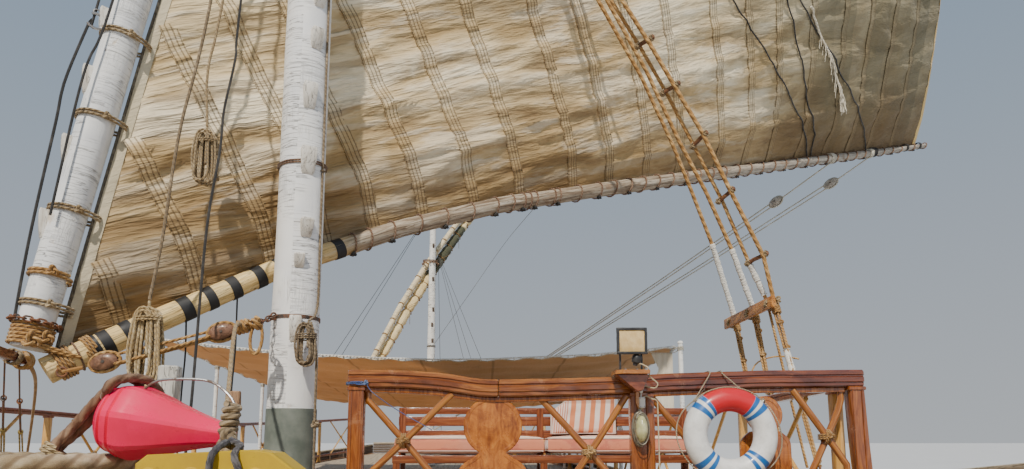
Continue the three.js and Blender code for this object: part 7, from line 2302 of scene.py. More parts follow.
def stripe_cloth(name, axis, pitch):
    q = Mat(name, rough=.9, spec=.15, sheen=.35)
    g = q.co("Object")
    dist = q.noise(g, 9, 4, .6)
    a = q.mth("ADD", q.sep(g, axis), q.mth("MULTIPLY", q.mth("SUBTRACT", dist, .5), .012))
    w = q.mth("PINGPONG", q.mth("MULTIPLY", a, 1.0 / pitch), .5)
    fine = q.mth("PINGPONG", q.mth("MULTIPLY", a, 4.0 / pitch), .5)
    c = q.mix(q.rng(w, .20, .24), (.84, .70, .56), (.72, .26, .15))
    c = q.mix(q.mth("MULTIPLY", q.rng(fine, .40, .46), .55), c, (.52, .13, .10))
    t = q.noise(g, 3.0, 6, .65)
    c = q.mix(q.rng(t, .45, .8, 0, .45), c, (.50, .33, .27))
    wv = q.mth("ADD", q.wave(g, 260, .5, 1, 4, "X"), q.wave(g, 260, .5, 1, 4, "Z"))
    nrm = q.bump(q.noise(g, 14, 5, .6), .35, .010)
    return q.done(c, None, q.bump(wv, .18, .001, nrm))
MATS["cushion_stripe"] = stripe_cloth("cushion_stripe", 0, .072)
def back_cushion_material():
    """broad stripes on its face, fine ones on the side that turns away"""
    q = Mat("cushion_stripe_back", rough=.9, spec=.15, sheen=.35)
    g = q.co("Object")
    dist = q.noise(g, 9, 4, .6)
    lean = q.mth("MULTIPLY", q.mth("SUBTRACT", q.sep(g, 2), 1.95), -.10)
    a = q.mth("ADD", q.mth("ADD", q.sep(g, 1), lean), q.mth("MULTIPLY", q.mth("SUBTRACT", dist, .5), .008))
    w = q.mth("PINGPONG", q.mth("MULTIPLY", a, 1 / .071), .5)
    fine = q.mth("PINGPONG", q.mth("MULTIPLY", a, 1 / .0165), .5)
    broad = q.mix(q.rng(w, .22, .27), (.80, .70, .62), (.70, .25, .11))
    thin = q.mix(q.rng(fine, .24, .34), (.78, .64, .56), (.62, .22, .14))
    c = q.mix(q.rng(a, 1.842, 1.850), thin, broad)
    low = q.rng(q.sep(g, 2), 2.015, 2.035)
    c = q.mix(q.mth("MULTIPLY", low, .45), c, (.26, .10, .07))
    t = q.noise(g, 3.0, 6, .65)
    c = q.mix(q.rng(t, .45, .8, 0, .35), c, (.50, .33, .27))
    wv = q.mth("ADD", q.wave(g, 260, .5, 1, 4, "Y"), q.wave(g, 260, .5, 1, 4, "Z"))
    nrm = q.bump(q.noise(g, 14, 5, .6), .35, .010)
    return q.done(c, None, q.bump(wv, .18, .001, nrm))
MATS["cushion_stripe_x"] = back_cushion_material()
MATS["piping"] = make_cloth("piping", (.70, .58, .50), (.55, .40, .34), kind="Object", weave=300, stain_amt=.2, wscale=(9, 9, 9))
def cushion(lo, hi, crown, round_, seed, top_axis=2, tufts=()):
    """crowned closed form: a grid per face of a box, its sides pulled in between the corners"""
    lo, hi = V3(lo), V3(hi); c = (lo + hi) / 2; h = (hi - lo) / 2
    t_ax = top_axis; ax = [k for k in range(3) if k != t_ax]
    n1 = max(8, int(2 * h[ax[0]] / .022)); n2 = max(8, int(2 * h[ax[1]] / .022)); n3 = 9
    key = {}; V = []
    def place(a, b, t):
        k = (round(a, 5), round(b, 5), round(t, 5))
        if k in key: return key[k]
        p = np.zeros(3)
        ca, cb = 1 - a * a, 1 - b * b
        puff = (max(0, ca) ** .42) * (max(0, cb) ** .42)
        hh = h[t_ax] - crown * (1 - puff)                      # thinner towards the border
        ra = a * (h[ax[0]] - round_ * (1 - (1 if abs(a) < .999 else math.sqrt(max(0, 1 - min(1, abs(t)) ** 4)))))
        rb = b * (h[ax[1]] - round_ * (1 - (1 if abs(b) < .999 else math.sqrt(max(0, 1 - min(1, abs(t)) ** 4)))))
        ra *= 1 - .018 * (cb ** .5 if abs(a) > .999 else 0)
        rb *= 1 - .018 * (ca ** .5 if abs(b) > .999 else 0)
        z = t * hh
        w = mnoise.noise(Vector((a * h[ax[0]] * 13 + seed, b * h[ax[1]] * 13, t * 1.5))) * .0028 + mnoise.noise(Vector((a * h[ax[0]] * 34 + seed, b * h[ax[1]] * 34, t * 3 + 4))) * .0012
        z += w * (1 if t > 0 else -.3)
        for (ta, tb, depth) in tufts:
            d = math.hypot((a - ta) * h[ax[0]], (b - tb) * h[ax[1]])
            z -= depth * math.exp(-(d / .032) ** 2) * (1 if t > 0 else -1) * abs(t)
        p[ax[0]], p[ax[1]], p[t_ax] = ra, rb, z
        key[k] = len(V); V.append(c + p)
        return key[k]
    A = np.linspace(-1, 1, n1 + 1); B = np.linspace(-1, 1, n2 + 1); T = np.linspace(-1, 1, n3 + 1)
    F = []
    for t in (-1, 1):
        for i in range(n1):
            for j in range(n2):
                f = [place(A[i], B[j], t), place(A[i + 1], B[j], t), place(A[i + 1], B[j + 1], t), place(A[i], B[j + 1], t)]
                F.append(f if t > 0 else f[::-1])
    for s in (-1, 1):
        for i in range(n1):
            for k in range(n3):
                f = [place(A[i], s, T[k]), place(A[i + 1], s, T[k]), place(A[i + 1], s, T[k + 1]), place(A[i], s, T[k + 1])]
                F.append(f if s < 0 else f[::-1])
        for j in range(n2):
            for k in range(n3):
                f = [place(s, B[j], T[k]), place(s, B[j + 1], T[k]), place(s, B[j + 1], T[k + 1]), place(s, B[j], T[k + 1])]
                F.append(f[::-1] if s < 0 else f)
    V = np.array(V)
    U = []
    for f in F:
        for i in f: U.append([V[i][ax[1]], V[i][ax[0]]])
    def border(t, inset=0.0):
        out = []
        per = [(a, -1) for a in np.linspace(-1, 1, 26)] + [(1, b) for b in np.linspace(-1, 1, 26)[1:]] + [(a, 1) for a in np.linspace(1, -1, 26)[1:]] + [(-1, b) for b in np.linspace(1, -1, 26)[1:]]
        for a, b in per:
            p = np.zeros(3)
            ca, cb = 1 - a * a, 1 - b * b
            hh = h[t_ax] - crown
            ra = a * (h[ax[0]] - round_ * .35) * (1 - .018 * (cb ** .5 if abs(a) > .999 else 0))
            rb = b * (h[ax[1]] - round_ * .35) * (1 - .018 * (ca ** .5 if abs(b) > .999 else 0))
            p[ax[0]], p[ax[1]], p[t_ax] = ra, rb, t * (hh - .004)
            out.append(c + p)
        return np.array(out)
    return (V, F, np.array(U)), border
def slope_top(V):
    """the pad slumps: its top is cut off aslant on the starboard side and rounded to port"""
    V = np.array(V, float)
    y0_, y1_, zb, zt_ = 1.724, 2.197, 1.806, 2.126
    f = np.interp(V[:, 1], [y0_, y0_ + .03, y0_ + .17, y0_ + .26, y1_ - .06, y1_], [.50, .56, .90, .985, 1.0, .955])
    V[:, 2] = zb + (V[:, 2] - zb) * f
    return V
CUSH = []
for k, (lo, hi, ta, cr, tf) in enumerate([((4.052, .634, 1.662), (4.352, 1.656, 1.798), 2, .022, [(0, -.5, .012), (0, 0, .012), (0, .5, .012)]),
                                          ((4.052, 1.684, 1.662), (4.352, 2.736, 1.798), 2, .022, [(0, -.5, .012), (0, 0, .012), (0, .5, .012)]),
                                          ((4.050, 1.724, 1.806), (4.166, 2.197, 2.126), 0, .020, [(-.35, 0, .012), (.35, 0, .012)])]):
    body, border = cushion(lo, hi, cr, .012, k * 3.1, ta, tf)
    nm = ("bench_seat_cushion_1", "bench_seat_cushion_2", "bench_back_cushion")[k]
    if k == 2:
        body = (slope_top(body[0]), body[1], body[2])
    ob = make(nm + "_pad", [fix_closed(body)], "cushion_stripe" if k < 2 else "cushion_stripe_x", ROOT, replaces=(nm,), slot="cushion_cloth", angle=70)
    CUSH.append(ob)
    seams = []
    for t in (1, -1):
        b = border(t)
        if k == 2: b = slope_top(b)
        seams.append(tube(smooth_path(list(b[:-1]), .012, closed=False), .0042, 7))
    make(nm + "_piping", seams, "piping", ROOT, slot="cushion_cloth")

# ------------------------------------------------------------------ awning, its poles and lacing, side curtain
AX0, AX1, AY0, AY1 = .6, -5.9, -2.75, 3.62
def awn_surf(x, y):
    t = (AX0 - x) / (AX0 - AX1)
    e = (y - .7) / 3.1
    z = awn_z(x, y)
    # taut ridges over the spreaders, slack between, small drawn creases at the borders
    z += .014 * math.cos(2 * math.pi * 9 * t) * (.35 + .65 * min(1, abs(e)))
    z += .010 * mnoise.noise(Vector((x * 1.1, y * 1.3, 3))) + .005 * mnoise.noise(Vector((x * 5, y * 2.2, 7)))
    d = min(AX0 - x, x - AX1)
    z += .010 * math.sin(y * 2 * math.pi / .34) * math.exp(-d / .12)
    d2 = min(y - AY0, AY1 - y)
    z += .010 * math.sin(x * 2 * math.pi / .36) * math.exp(-d2 / .14)
    return z
def edge_pull(x, y):
    """the border is scalloped: drawn in between its eyelets"""
    dx = dy = 0.0
    a = min(AX0 - x, x - AX1); b = min(y - AY0, AY1 - y)
    s = .020 * (1 - abs(math.cos(y * math.pi / .34))) * math.exp(-a / .10)
    dx = -s if (AX0 - x) < (x - AX1) else s
    s = .020 * (1 - abs(math.cos(x * math.pi / .36))) * math.exp(-b / .10)
    dy = s if (y - AY0) < (AY1 - y) else -s
    return dx, dy
def build_awning():
    nx, ny = 84, 84
    xs = np.linspace(AX0, AX1, nx + 1); ys = np.linspace(AY0, AY1, ny + 1)
    top = np.zeros((nx + 1, ny + 1, 3))
    for i, x in enumerate(xs):
        for j, y in enumerate(ys):
            dx, dy = edge_pull(x, y)
            top[i, j] = (x + dx, y + dy, awn_surf(x, y))
    th = .0035
    N = (nx + 1) * (ny + 1)
    V = np.vstack([top.reshape(-1, 3) + [0, 0, th / 2], top.reshape(-1, 3) - [0, 0, th / 2]])
    I = lambda i, j: i * (ny + 1) + j
    F = []; U = []
    def uv(*ids):
        for k in ids:
            k = k % N
            U.append([ys[k % (ny + 1)], xs[k // (ny + 1)]])
    for i in range(nx):
        for j in range(ny):
            q = [I(i, j), I(i + 1, j), I(i + 1, j + 1), I(i, j + 1)]
            F.append(q[::-1]); uv(*q[::-1])
            q2 = [N + k for k in q]
            F.append(q2); uv(*q2)
    for i in range(nx):
        for j, s in ((0, 1), (ny, -1)):
            q = [I(i, j), I(i + 1, j), N + I(i + 1, j), N + I(i, j)]
            if s < 0: q = q[::-1]
            F.append(q); uv(*q)
    for j in range(ny):
        for i, s in ((0, -1), (nx, 1)):
            q = [I(i, j), I(i, j + 1), N + I(i, j + 1), N + I(i, j)]
            if s < 0: q = q[::-1]
            F.append(q); uv(*q)
    e1 = np.linalg.norm(np.diff(top, axis=0), axis=2).sum(0).mean(); e2 = np.linalg.norm(np.diff(top, axis=1), axis=2).sum(1).mean()
    d1 = top[1:, :-1] - top[:-1, :-1]; d2 = top[:-1, 1:] - top[:-1, :-1]
    area = float(np.linalg.norm(np.cross(d1, d2), axis=2).sum())
    return fix_closed((V, F, np.array(U))), float(e1), float(e2), area
def awning_material(name="awning_cloth_new", light=(.76, .52, .27), shade=(.62, .385, .17), through=.35):
    q = Mat(name, rough=.9, spec=.12, sheen=.2)
    v = q.co("UV")
    t = q.noise(v, 1.2, 6, .6)
    c = q.mix(q.rng(t, .3, .72), light, shade)
    # panel seams every .9 m across, with double stitching
    s = q.sep(v, 0)
    w = q.mth("PINGPONG", q.mth("MULTIPLY", s, 1 / .9), .5)
    c = q.mix(q.rng(w, .475, .49, 0, .5), c, (.30, .17, .08))
    st = q.rng(q.noise(q.co("UV", loc=(2, 9, 0)), 1.6, 7, .7, .8), .55, .78)
    c = q.mix(q.mth("MULTIPLY", st, .45), c, (.34, .20, .10))
    l = q.rng(q.noise(q.co("UV", scale=(1, 9, 1)), 2.2, 5, .6), .55, .75)
    c = q.mix(q.mth("MULTIPLY", l, .3), c, (.78, .58, .36))
    wv = q.mth("ADD", q.wave(v, 330, .6, 1, 4, "X"), q.wave(v, 330, .6, 1, 4, "Y"))
    n = q.bump(q.noise(q.co("UV", scale=(6, 1.4, 1)), 3, 5, .6, .5), .5, .02)
    # light through the cloth
    tr = q.n("ShaderNodeBsdfTranslucent"); q.put(tr.inputs["Color"], q.mix(.35, c, (.95, .55, .25)))
    mx = q.n("ShaderNodeMixShader"); mx.inputs[0].default_value = through
    m = q.done(c, None, q.bump(wv, .15, .001, n))
    q.t.links.new(q.b.outputs[0], mx.inputs[1]); q.t.links.new(tr.outputs[0], mx.inputs[2]); q.t.links.new(mx.outputs[0], q.out.inputs[0])
    return m
MATS["awning"] = awning_material()
# a lighter, more translucent copy of the awning cloth: painted light for the faces that look down
MATS["awning_under_lit"] = awning_material("awning_cloth_under_painted_light", (.81, .60, .35), (.67, .47, .24), .55)
MATS["lacing_white"] = make_rope("lacing_white", (.90, .89, .85), (.62, .60, .55), (.96, .96, .94))
_aw, _e1, _e2, _aa = build_awning()
awn = make("awning_canopy", [_aw], ["awning", "awning_under_lit"], ROOT, replaces=("awning",), slot="awning_cloth", angle=60)
# hem cord, eyelets and lacing on an edge line round the awning
hem = []; eye = []; lace = []; cordw = []
def edge_pt(k, side):
    if side == "near": x, y = AX0, AY0 + (AY1 - AY0) * k
    elif side == "far": x, y = AX1, AY0 + (AY1 - AY0) * k
    elif side == "star": x, y = AX0 + (AX1 - AX0) * k, AY0
    else: x, y = AX0 + (AX1 - AX0) * k, AY1
    dx, dy = edge_pull(x, y)
    return V3((x + dx, y + dy, awn_surf(x, y)))
for side, L, out, lim in (("near", AY1 - AY0, (1, 0, 0), None), ("far", AY1 - AY0, (-1, 0, 0), None), ("star", AX0 - AX1, (0, -1, 0), None), ("port", AX0 - AX1, (0, 1, 0), None)):
    n = int(L / .06)
    P = [edge_pt(k / n, side) for k in range(n + 1)]
    hem.append(tube(np.array(P), .0060, 7))
    o = V3(out)
    m = int(round(L / (.34 if side in ("near", "far") else .36)))
    line = []
    for k in range(m + 1):
        p = edge_pt(min(1, k / m), side)
        line.append(p + o * .036 + [0, 0, .020 + .006 * (k % 2)])
    cordw.append(rope(smooth_path(line, .04), .0120, sides=8, step=.02))
    for k in range(m * 4 + 1):
        f = k / (m * 4)
        p = edge_pt(f, side)
        q = V3([np.interp(f * m, range(m + 1), [l_[c_] for l_ in line]) for c_ in range(3)])
        inn = p - o * .016
        eye.append(torus(inn + [0, 0, .001], (0, 0, 1), .0085, .0028, 8, 4))
        lace.append(tube(smooth_path([inn + [0, 0, .004], (inn + q) / 2 + [0, 0, .010], q + o * .010 + [0, 0, .004], q + o * .006 + [0, 0, -.012], (inn + q) / 2 + [0, 0, -.010], inn + [0, 0, -.005]], .006), .0055, 6))
e1p = make("awning_hem", hem, "rope_white", ROOT, slot="awning_cloth")
e2p = make("awning_eyelets", eye, "brass", ROOT, slot="iron")
e3p = make("awning_edge_line", cordw + lace, "lacing_white", ROOT, slot="rope")
# the faces that look down take the lighter copy: painted light on the underside
for pg in awn.data.polygons:                         # the faces that look down
    if pg.normal[2] < -.3: pg.material_index = 1
round(min(_aa, _e1 * _e2), 2)
# poles: painted tube with a foot plate, a cap and two lashings
def pole(name, x, y, top, k, lift=0.0):
    z0 = deck_z(x) + .003 + lift + max(0, max(deck_z(x - .03), deck_z(x + .03)) - deck_z(x))
    P = [spar_tube([(x, y, z0), (x, y, top)], [.0295, .0285], 18, .15, .0007, k),
         lathe([(0, 0), (.055, 0), (.055, .006), (.036, .012), (.034, .045), (0, .045)], (x, y, z0), (0, 0, 1), 20),
         lathe([(0, -.004), (.034, -.004), (.034, .014), (.020, .026), (0, .028)], (x, y, top - .022), (0, 0, 1), 18)]
    make(name + "_tube", P, "mizzen_white", ROOT, replaces=(name,), slot="pole_paint", angle=34)
    zt = min(top - .06, awn_surf(min(AX0 - .01, max(AX1 + .01, x)), min(AY1 - .01, max(AY0 + .01, y))))
    L = [rope(helix((x, y, zt - .02), (0, 0, 1), .036, .011, 4, 16), .005, sides=7)]
    cx = min(AX0 - .02, max(AX1 + .02, x)); cy = min(AY1 - .02, max(AY0 + .02, y))
    e = V3((cx, cy, awn_surf(cx, cy)))
    if np.linalg.norm(e[:2] - [x, y]) > .035:
        L.append(rope(smooth_path([V3((x, y, zt - .01)) + unit(e - V3((x, y, zt))) * .034, (V3((x, y, zt)) + e) / 2 + [0, 0, -.008], e + [0, 0, .004]], .01), .005, sides=7))
    make(name + "_lashing", L, "rope_white", ROOT, slot="rope")
for side in (1, -1):
    for k, x in enumerate((.72, -1.5, -3.7, -6.02)):
        if side > 0 and k == 0:
            pole("awning_pole_port_1", .76, 3.645, 2.975, 0, lift=.240)
        elif side > 0:
            y = min(3.38, half_beam(x) - .33)
            top = 3.02 - .04 * k if k in (0, 3) else awn_z(x, y) - .02
            pole(f"awning_pole_port_{k + 1}", x, y, top, k)
        else:
            pole(f"awning_pole_starboard_{k + 1}", x, -2.80, 3.02 - .04 * k, k + 5)
# side curtain: hung cloth across the corner, with folds, a torn side and a ragged foot
CX_, CY0, CY1, CZ0, CZ1 = .56, 3.325, 3.602, 2.092, 2.850
def build_curtain():
    ny, nz = 46, 70
    th = .0028
    foot = [CZ0 + .008 + .055 * abs(mnoise.noise(Vector((k * .42, 2.2, 1)))) + .020 * abs(mnoise.noise(Vector((k * 1.3, 1, 1)))) for k in range(ny + 1)]
    def left(z):
        """the torn starboard side: full width at the top, eaten away further down"""
        t = (CZ1 - z) / (CZ1 - CZ0)
        e = .02 + .55 * max(0, .5 - abs(t - .25) * 2.2) + .16 * t + .05 * mnoise.noise(Vector((z * 9, 4, 1))) + .03 * mnoise.noise(Vector((z * 30, 7, 2)))
        return CY0 + (CY1 - CY0) * min(.62, max(0, e))
    def pt(i, j, s):
        a = i / ny; low = j / nz
        z = CZ1 + (foot[i] - CZ1) * low
        yl = left(z)
        y = yl + (CY1 - .004 - yl) * a
        x = CX_ + .0062 * math.sin((y - CY0) * 2 * math.pi / .075 + .8 * math.sin(low * 3)) * (.3 + .7 * low) + .0022 * mnoise.noise(Vector((y * 12, z * 3, 1)))
        x = min(.5686, max(.5514, x))
        return (x + s * th / 2, y, z)
    V = [pt(i, j, s) for s in (1, -1) for i in range(ny + 1) for j in range(nz + 1)]
    N = (ny + 1) * (nz + 1); I = lambda i, j: i * (nz + 1) + j
    F = []; U = []
    for i in range(ny):
        for j in range(nz):
            q = [I(i, j), I(i + 1, j), I(i + 1, j + 1), I(i, j + 1)]
            for f in (q, [N + k for k in q][::-1]):
                F.append(f); U += [[V[k][1], V[k][2]] for k in f]
    def rim(a, b):
        f = [a, N + a, N + b, b]; F.append(f); U.extend([[V[k][1], V[k][2]] for k in f])
    for i in range(ny): rim(I(i, 0), I(i + 1, 0)); rim(I(i + 1, nz), I(i, nz))
    for j in range(nz): rim(I(0, j + 1), I(0, j)); rim(I(ny, j), I(ny, j + 1))
    P = np.array(V).reshape(2, ny + 1, nz + 1, 3)[0]
    w = np.linalg.norm(np.diff(P, axis=0), axis=2).sum(0).max(); l = np.linalg.norm(np.diff(P, axis=1), axis=2).sum(1)
    ar = float(np.linalg.norm(np.cross(P[1:, :-1] - P[:-1, :-1], P[:-1, 1:] - P[:-1, :-1]), axis=2).sum())
    return fix_closed((np.array(V), F, np.array(U))), float(w), float(l.max()), ar
MATS["curtain"] = make_cloth("curtain_new", (.74, .68, .55), (.50, .42, .31), weave=330, stain=(.30, .22, .13), stain_amt=.5, wrinkle=.7, wscale=(9, 1.2, 1))
_cu, _cw, _cl, _ca = build_curtain()
cur = make("side_curtain_cloth", [_cu], "curtain", ROOT, replaces=("side_curtain",), slot="curtain_cloth", angle=60)
_pc = V3((.76, 3.645, 2.872))
ct = [rope(smooth_path([(.560, 3.26, awn_surf(.56, 3.26) - .006), (.560, 3.33, 2.858), (.560, 3.45, 2.854), (.562, 3.60, 2.856), (.62, 3.617, 2.860), _pc + [-.030, -.006, 0]], .02), .005, sides=7),
      rope(helix(_pc, (0, 0, 1), .035, .011, 2, 18), .005, sides=7)]
for k in range(6):
    y = 3.335 + .255 * k / 5
    ct.append(torus((.560, y, 2.8465), (0, 1, 0), .0095, .0028, 14, 6))
ctp = make("side_curtain_line", ct, "rope_white", ROOT, slot="rope")
round(min(_ca, _cw * _cl), 3)

# ------------------------------------------------------------------ mizzen mast, yard and furled sail
MZ1 = max(deck_z(MIZ_X - .12), deck_z(MIZ_X), deck_z(MIZ_X + .12)) + .0005
mm = [spar_tube([(MIZ_X, 0, MZ1), (MIZ_X, 0, 4.0), (MIZ_X, 0, 7.29)], [.099, .087, .068], 30, .10, .0022, 8),
      lathe([(0, 0), (.135, 0), (.140, .02), (.135, .045), (.112, .055), (.108, .09), (0, .09)], (MIZ_X, 0, MZ1), (0, 0, 1), 30),
      lathe([(0, 0), (.080, 0), (.088, .012), (.080, .03), (.045, .045), (0, .048)], (MIZ_X, 0, 7.245), (0, 0, 1), 24)]
make("mizzen_mast_white", mm, "mizzen_white", ROOT, replaces=("mizzen_mast",), slot="mast_paint")
mk = []
for k, (z, a) in enumerate(((4.05, .35), (4.42, .2), (4.78, .45), (5.5, .3), (2.9, .3), (6.3, .25))):
    o = unit([math.cos(a), math.sin(a), 0])
    mk.append(cleat(V3((MIZ_X, 0, z)) + o * (float(np.interp(z, [1.2, 4, 7.3], [.1, .087, .07])) + .002), (0, 0, 1), o, w=.045, h=.10, d=.026))
MATS["cleat_dark"] = make_plain_wood("cleat_dark", (.05, .04, .035), (.12, .09, .07), (.24, .19, .15), kind="Object", scale=(14, 14, 3), rough=.8)
make("mizzen_cleats", mk, "cleat_dark", ROOT, slot="boom_timber")
myd = [[-1.6, 3.15, .055], [-.72, 4.8, .065], [.02, 5.95, .068], [.9, 7.15, .062], [2.2, 8.8, .05], [3.4, 10.2, .036]]
MATS["mizzen_yard"] = make_white_paint("mizzen_yard_paint", base=(.80, .70, .48), hue=(.66, .54, .34), crack=.6, bare=.6)
make("mizzen_yard_spar", [spar_tube([miz(s, 0, z) for s, z, r in myd], [r for s, z, r in myd], 24, .10, .002, 12)], "mizzen_yard", MIZ, replaces=("mizzen_yard",), slot="mast_paint")
# the sail rolled along it: one long cloth wound round itself, gathered by gaskets
rows = [[-1.6, 3.15, .055, .1], [-.72, 4.8, .065, .135], [.02, 5.95, .068, .14], [.9, 7.15, .062, .12], [2.2, 8.8, .05, .09], [3.4, 10.2, .036, .06]]
rc = []
for i, (s, z, ry, rr_) in enumerate(rows):
    d = ry + rr_ + .02
    pull = .12 if i == 0 else (-.12 if i == len(rows) - 1 else 0)
    rc.append((V3(miz(s + .84 * d + .54 * pull, -.07, z - .54 * d + .84 * pull)), rr_))
RC = np.array([c for c, _ in rc]); RCR = [r for _, r in rc]
RL = np.concatenate([[0], np.cumsum(np.linalg.norm(np.diff(RC, axis=0), axis=1))])
RTOT = float(RL[-1])
def roll_at(l):
    c = np.array([np.interp(l, RL, RC[:, k]) for k in range(3)])
    return c, float(np.interp(l, RL, RCR))
GASK = [.16 + k * .415 for k in range(int((RTOT - .2) / .415) + 1)]
def roll_axis():
    e = 1e-3
    return [unit(roll_at(min(RTOT, l + .3))[0] - roll_at(max(0, l - .3))[0]) for l in np.linspace(0, RTOT, 60)]
_ra = roll_axis()
def roll_frame(l):
    q = l / RTOT * 59; i = min(58, int(q)); t = unit(_ra[i] * (1 - (q - i)) + _ra[i + 1] * (q - i))
    n = unit(np.array([MN[0], MN[1], 0]) - t * np.dot(t, [MN[0], MN[1], 0]))
    return t, n, np.cross(t, n)
def build_roll():
    nl = int(RTOT / .065); nt = 72; turns = 3.4
    th = .0036
    top = np.zeros((nl + 1, nt + 1, 3)); nor = np.zeros((nl + 1, nt + 1, 3))
    for i in range(nl + 1):
        l = RTOT * i / nl
        c, R = roll_at(l)
        t, n, b = roll_frame(l)
        g = min(abs(l - q) for q in GASK)
        pin = 1 - .30 * math.exp(-(g / .045) ** 2)
        fat = .90 + .10 * math.sin(math.pi * min(1, g / .2))
        taper = min(1, .45 + .55 * min(l, RTOT - l) / .25)
        for k in range(nt + 1):
            f = k / nt
            a = 2 * math.pi * turns * f + .25 * math.sin(l * 1.1)
            r0 = .16 + .84 * f ** .9
            aa = a
            fold = .085 * mnoise.noise(Vector((math.cos(aa) * 1.7, math.sin(aa) * 1.7, l * .9))) + .06 * mnoise.noise(Vector((math.cos(aa) * 4.2, math.sin(aa) * 4.2, l * 1.7 + 3))) + .022 * mnoise.noise(Vector((math.cos(aa) * 9, math.sin(aa) * 9, l * 6 + 7)))
            r = R * r0 * (pin * fat * taper * (1 + fold * 1.7 * (.6 + .4 * r0)))
            r = min(r, R * 1.06)
            p = c + (n * math.cos(aa) * 1.04 + b * math.sin(aa) * .94) * r
            top[i, k] = p
            nor[i, k] = unit(n * math.cos(aa) + b * math.sin(aa))
    N = (nl + 1) * (nt + 1)
    V = np.vstack([(top + nor * th / 2).reshape(-1, 3), (top - nor * th / 2).reshape(-1, 3)])
    I = lambda i, k: i * (nt + 1) + k
    wk = np.concatenate([[0], np.cumsum(np.linalg.norm(np.diff(top, axis=1), axis=2).mean(0))])
    ll = RTOT * np.arange(nl + 1) / nl
    F = []; U = []
    def put(q):
        F.append(q)
        for v in q:
            v = v % N
            U.append([wk[v % (nt + 1)], ll[v // (nt + 1)]])
    for i in range(nl):
        for k in range(nt):
            q = [I(i, k), I(i + 1, k), I(i + 1, k + 1), I(i, k + 1)]
            put(q); put([N + v for v in q][::-1])
    for i in range(nl):
        put([I(i, 0), N + I(i, 0), N + I(i + 1, 0), I(i + 1, 0)]); put([I(i, nt), I(i + 1, nt), N + I(i + 1, nt), N + I(i, nt)])
    for k in range(nt):
        put([I(0, k), I(0, k + 1), N + I(0, k + 1), N + I(0, k)]); put([I(nl, k), N + I(nl, k), N + I(nl, k + 1), I(nl, k + 1)])
    ar = float(np.linalg.norm(np.cross(top[1:, :-1] - top[:-1, :-1], top[:-1, 1:] - top[:-1, :-1]), axis=2).sum())
    wmax = float(np.linalg.norm(np.diff(top, axis=1), axis=2).sum(1).max()); lmax = float(np.linalg.norm(np.diff(top, axis=0), axis=2).sum(0).max())
    return fix_closed((V, F, np.array(U))), wmax, lmax, ar
def furled_material():
    q = Mat("furled_cloth_new", rough=.9, spec=.12, sheen=.25)
    v = q.co("UV")
    t = q.noise(v, 2.5, 6, .65)
    c = q.mix(q.rng(t, .3, .72), (.88, .74, .44), (.68, .52, .26))
    st = q.rng(q.noise(q.co("Object"), 3.5, 7, .7, .5), .55, .75)
    c = q.mix(q.mth("MULTIPLY", st, .5), c, (.46, .34, .18))
    # where the roll passes the mast it is coloured dark green-black
    l = q.sep(v, 1)
    m = q.mth("MULTIPLY", q.rng(q.mth("ADD", l, q.mth("MULTIPLY", q.noise(v, 6, 4, .6), .25)), 2.95, 3.02), q.rng(l, 4.55, 4.60, 1, 0))
    c = q.mix(q.mth("MULTIPLY", m, .93), c, (.035, .050, .038))
    w = q.mth("ADD", q.wave(v, 300, .6, 1, 4, "X"), q.wave(v, 300, .6, 1, 4, "Y"))
    n = q.bump(q.noise(q.co("UV", scale=(7, 1.1, 1)), 3.5, 6, .65, .6), .7, .02)
    return q.done(c, None, q.bump(w, .12, .001, n))
MATS["furled"] = furled_material()
_fr, _fw, _fl, _fa = build_roll()
fsail = make("mizzen_sail_rolled", [_fr], "furled", MIZ, replaces=("mizzen_sail_furled",), slot="furled_cloth", angle=75)
gk = []; gkn = []
for k, l in enumerate(GASK):
    c, R = roll_at(l); t, n, b = roll_frame(l)
    # the gasket goes round roll and yard together
    best = min((np.linalg.norm(V3(miz(float(np.interp(zz, [r_[1] for r_ in myd], [r_[0] for r_ in myd])), 0, zz)) - c), zz) for zz in np.linspace(max(3.15, c[2] - .6), min(10.2, c[2] + .6), 61))
    yc = V3(miz(float(np.interp(best[1], [r_[1] for r_ in myd], [r_[0] for r_ in myd])), 0, best[1]))
    yr = float(np.interp(best[1], [r_[1] for r_ in myd], [r_[2] for r_ in myd]))
    e1 = unit(yc - c); e2 = unit(np.cross(t, e1))
    dist = float(np.linalg.norm(yc - c))
    rr2 = R * .80 + .006
    pts = []
    for w in range(2):
        off = t * (.016 * (w - .5))
        for a in np.linspace(-100, 100, 14): pts.append(c + off - (e1 * math.cos(math.radians(a)) + e2 * math.sin(math.radians(a))) * rr2)
        for a in np.linspace(-75, 75, 10): pts.append(yc + off + (e1 * math.cos(math.radians(a)) - e2 * math.sin(math.radians(a))) * (yr + .007))
    pts.append(pts[0] + t * .016)
    gk.append(rope(smooth_path(pts, .02), .0058, sides=7))
    gk.append(knot(c - e1 * (rr2 + .006) * math.cos(.5) + e2 * (rr2 + .006) * math.sin(.5), .017, .0055, axis=e1, rot=k))
    if k % 3 == 1:
        p0 = c - e1 * (rr2 + .01)
        gk.append(rope(smooth_path([p0, p0 + [0, 0, -.10] - e1 * .02, p0 + [.01, .01, -.24]], .02), .005, sides=6))
# long marling line along the roll
ml = []
for l in np.linspace(.1, RTOT - .1, 150):
    c, R = roll_at(l); t, n, b = roll_frame(l)
    a = -2.2 + l * 4.2
    g = min(abs(l - q) for q in GASK)
    ml.append(c + (n * math.cos(a) * 1.04 + b * math.sin(a) * .94) * (R * (1.0 - .26 * math.exp(-(g / .06) ** 2)) + .008))
gk.append(rope(smooth_path(ml, .04), .0045, sides=6, fine=False))
gko = make("mizzen_gaskets", gk, "rope_gold", MIZ, slot="rope")
round(min(_fa, _fw * _fl), 2)
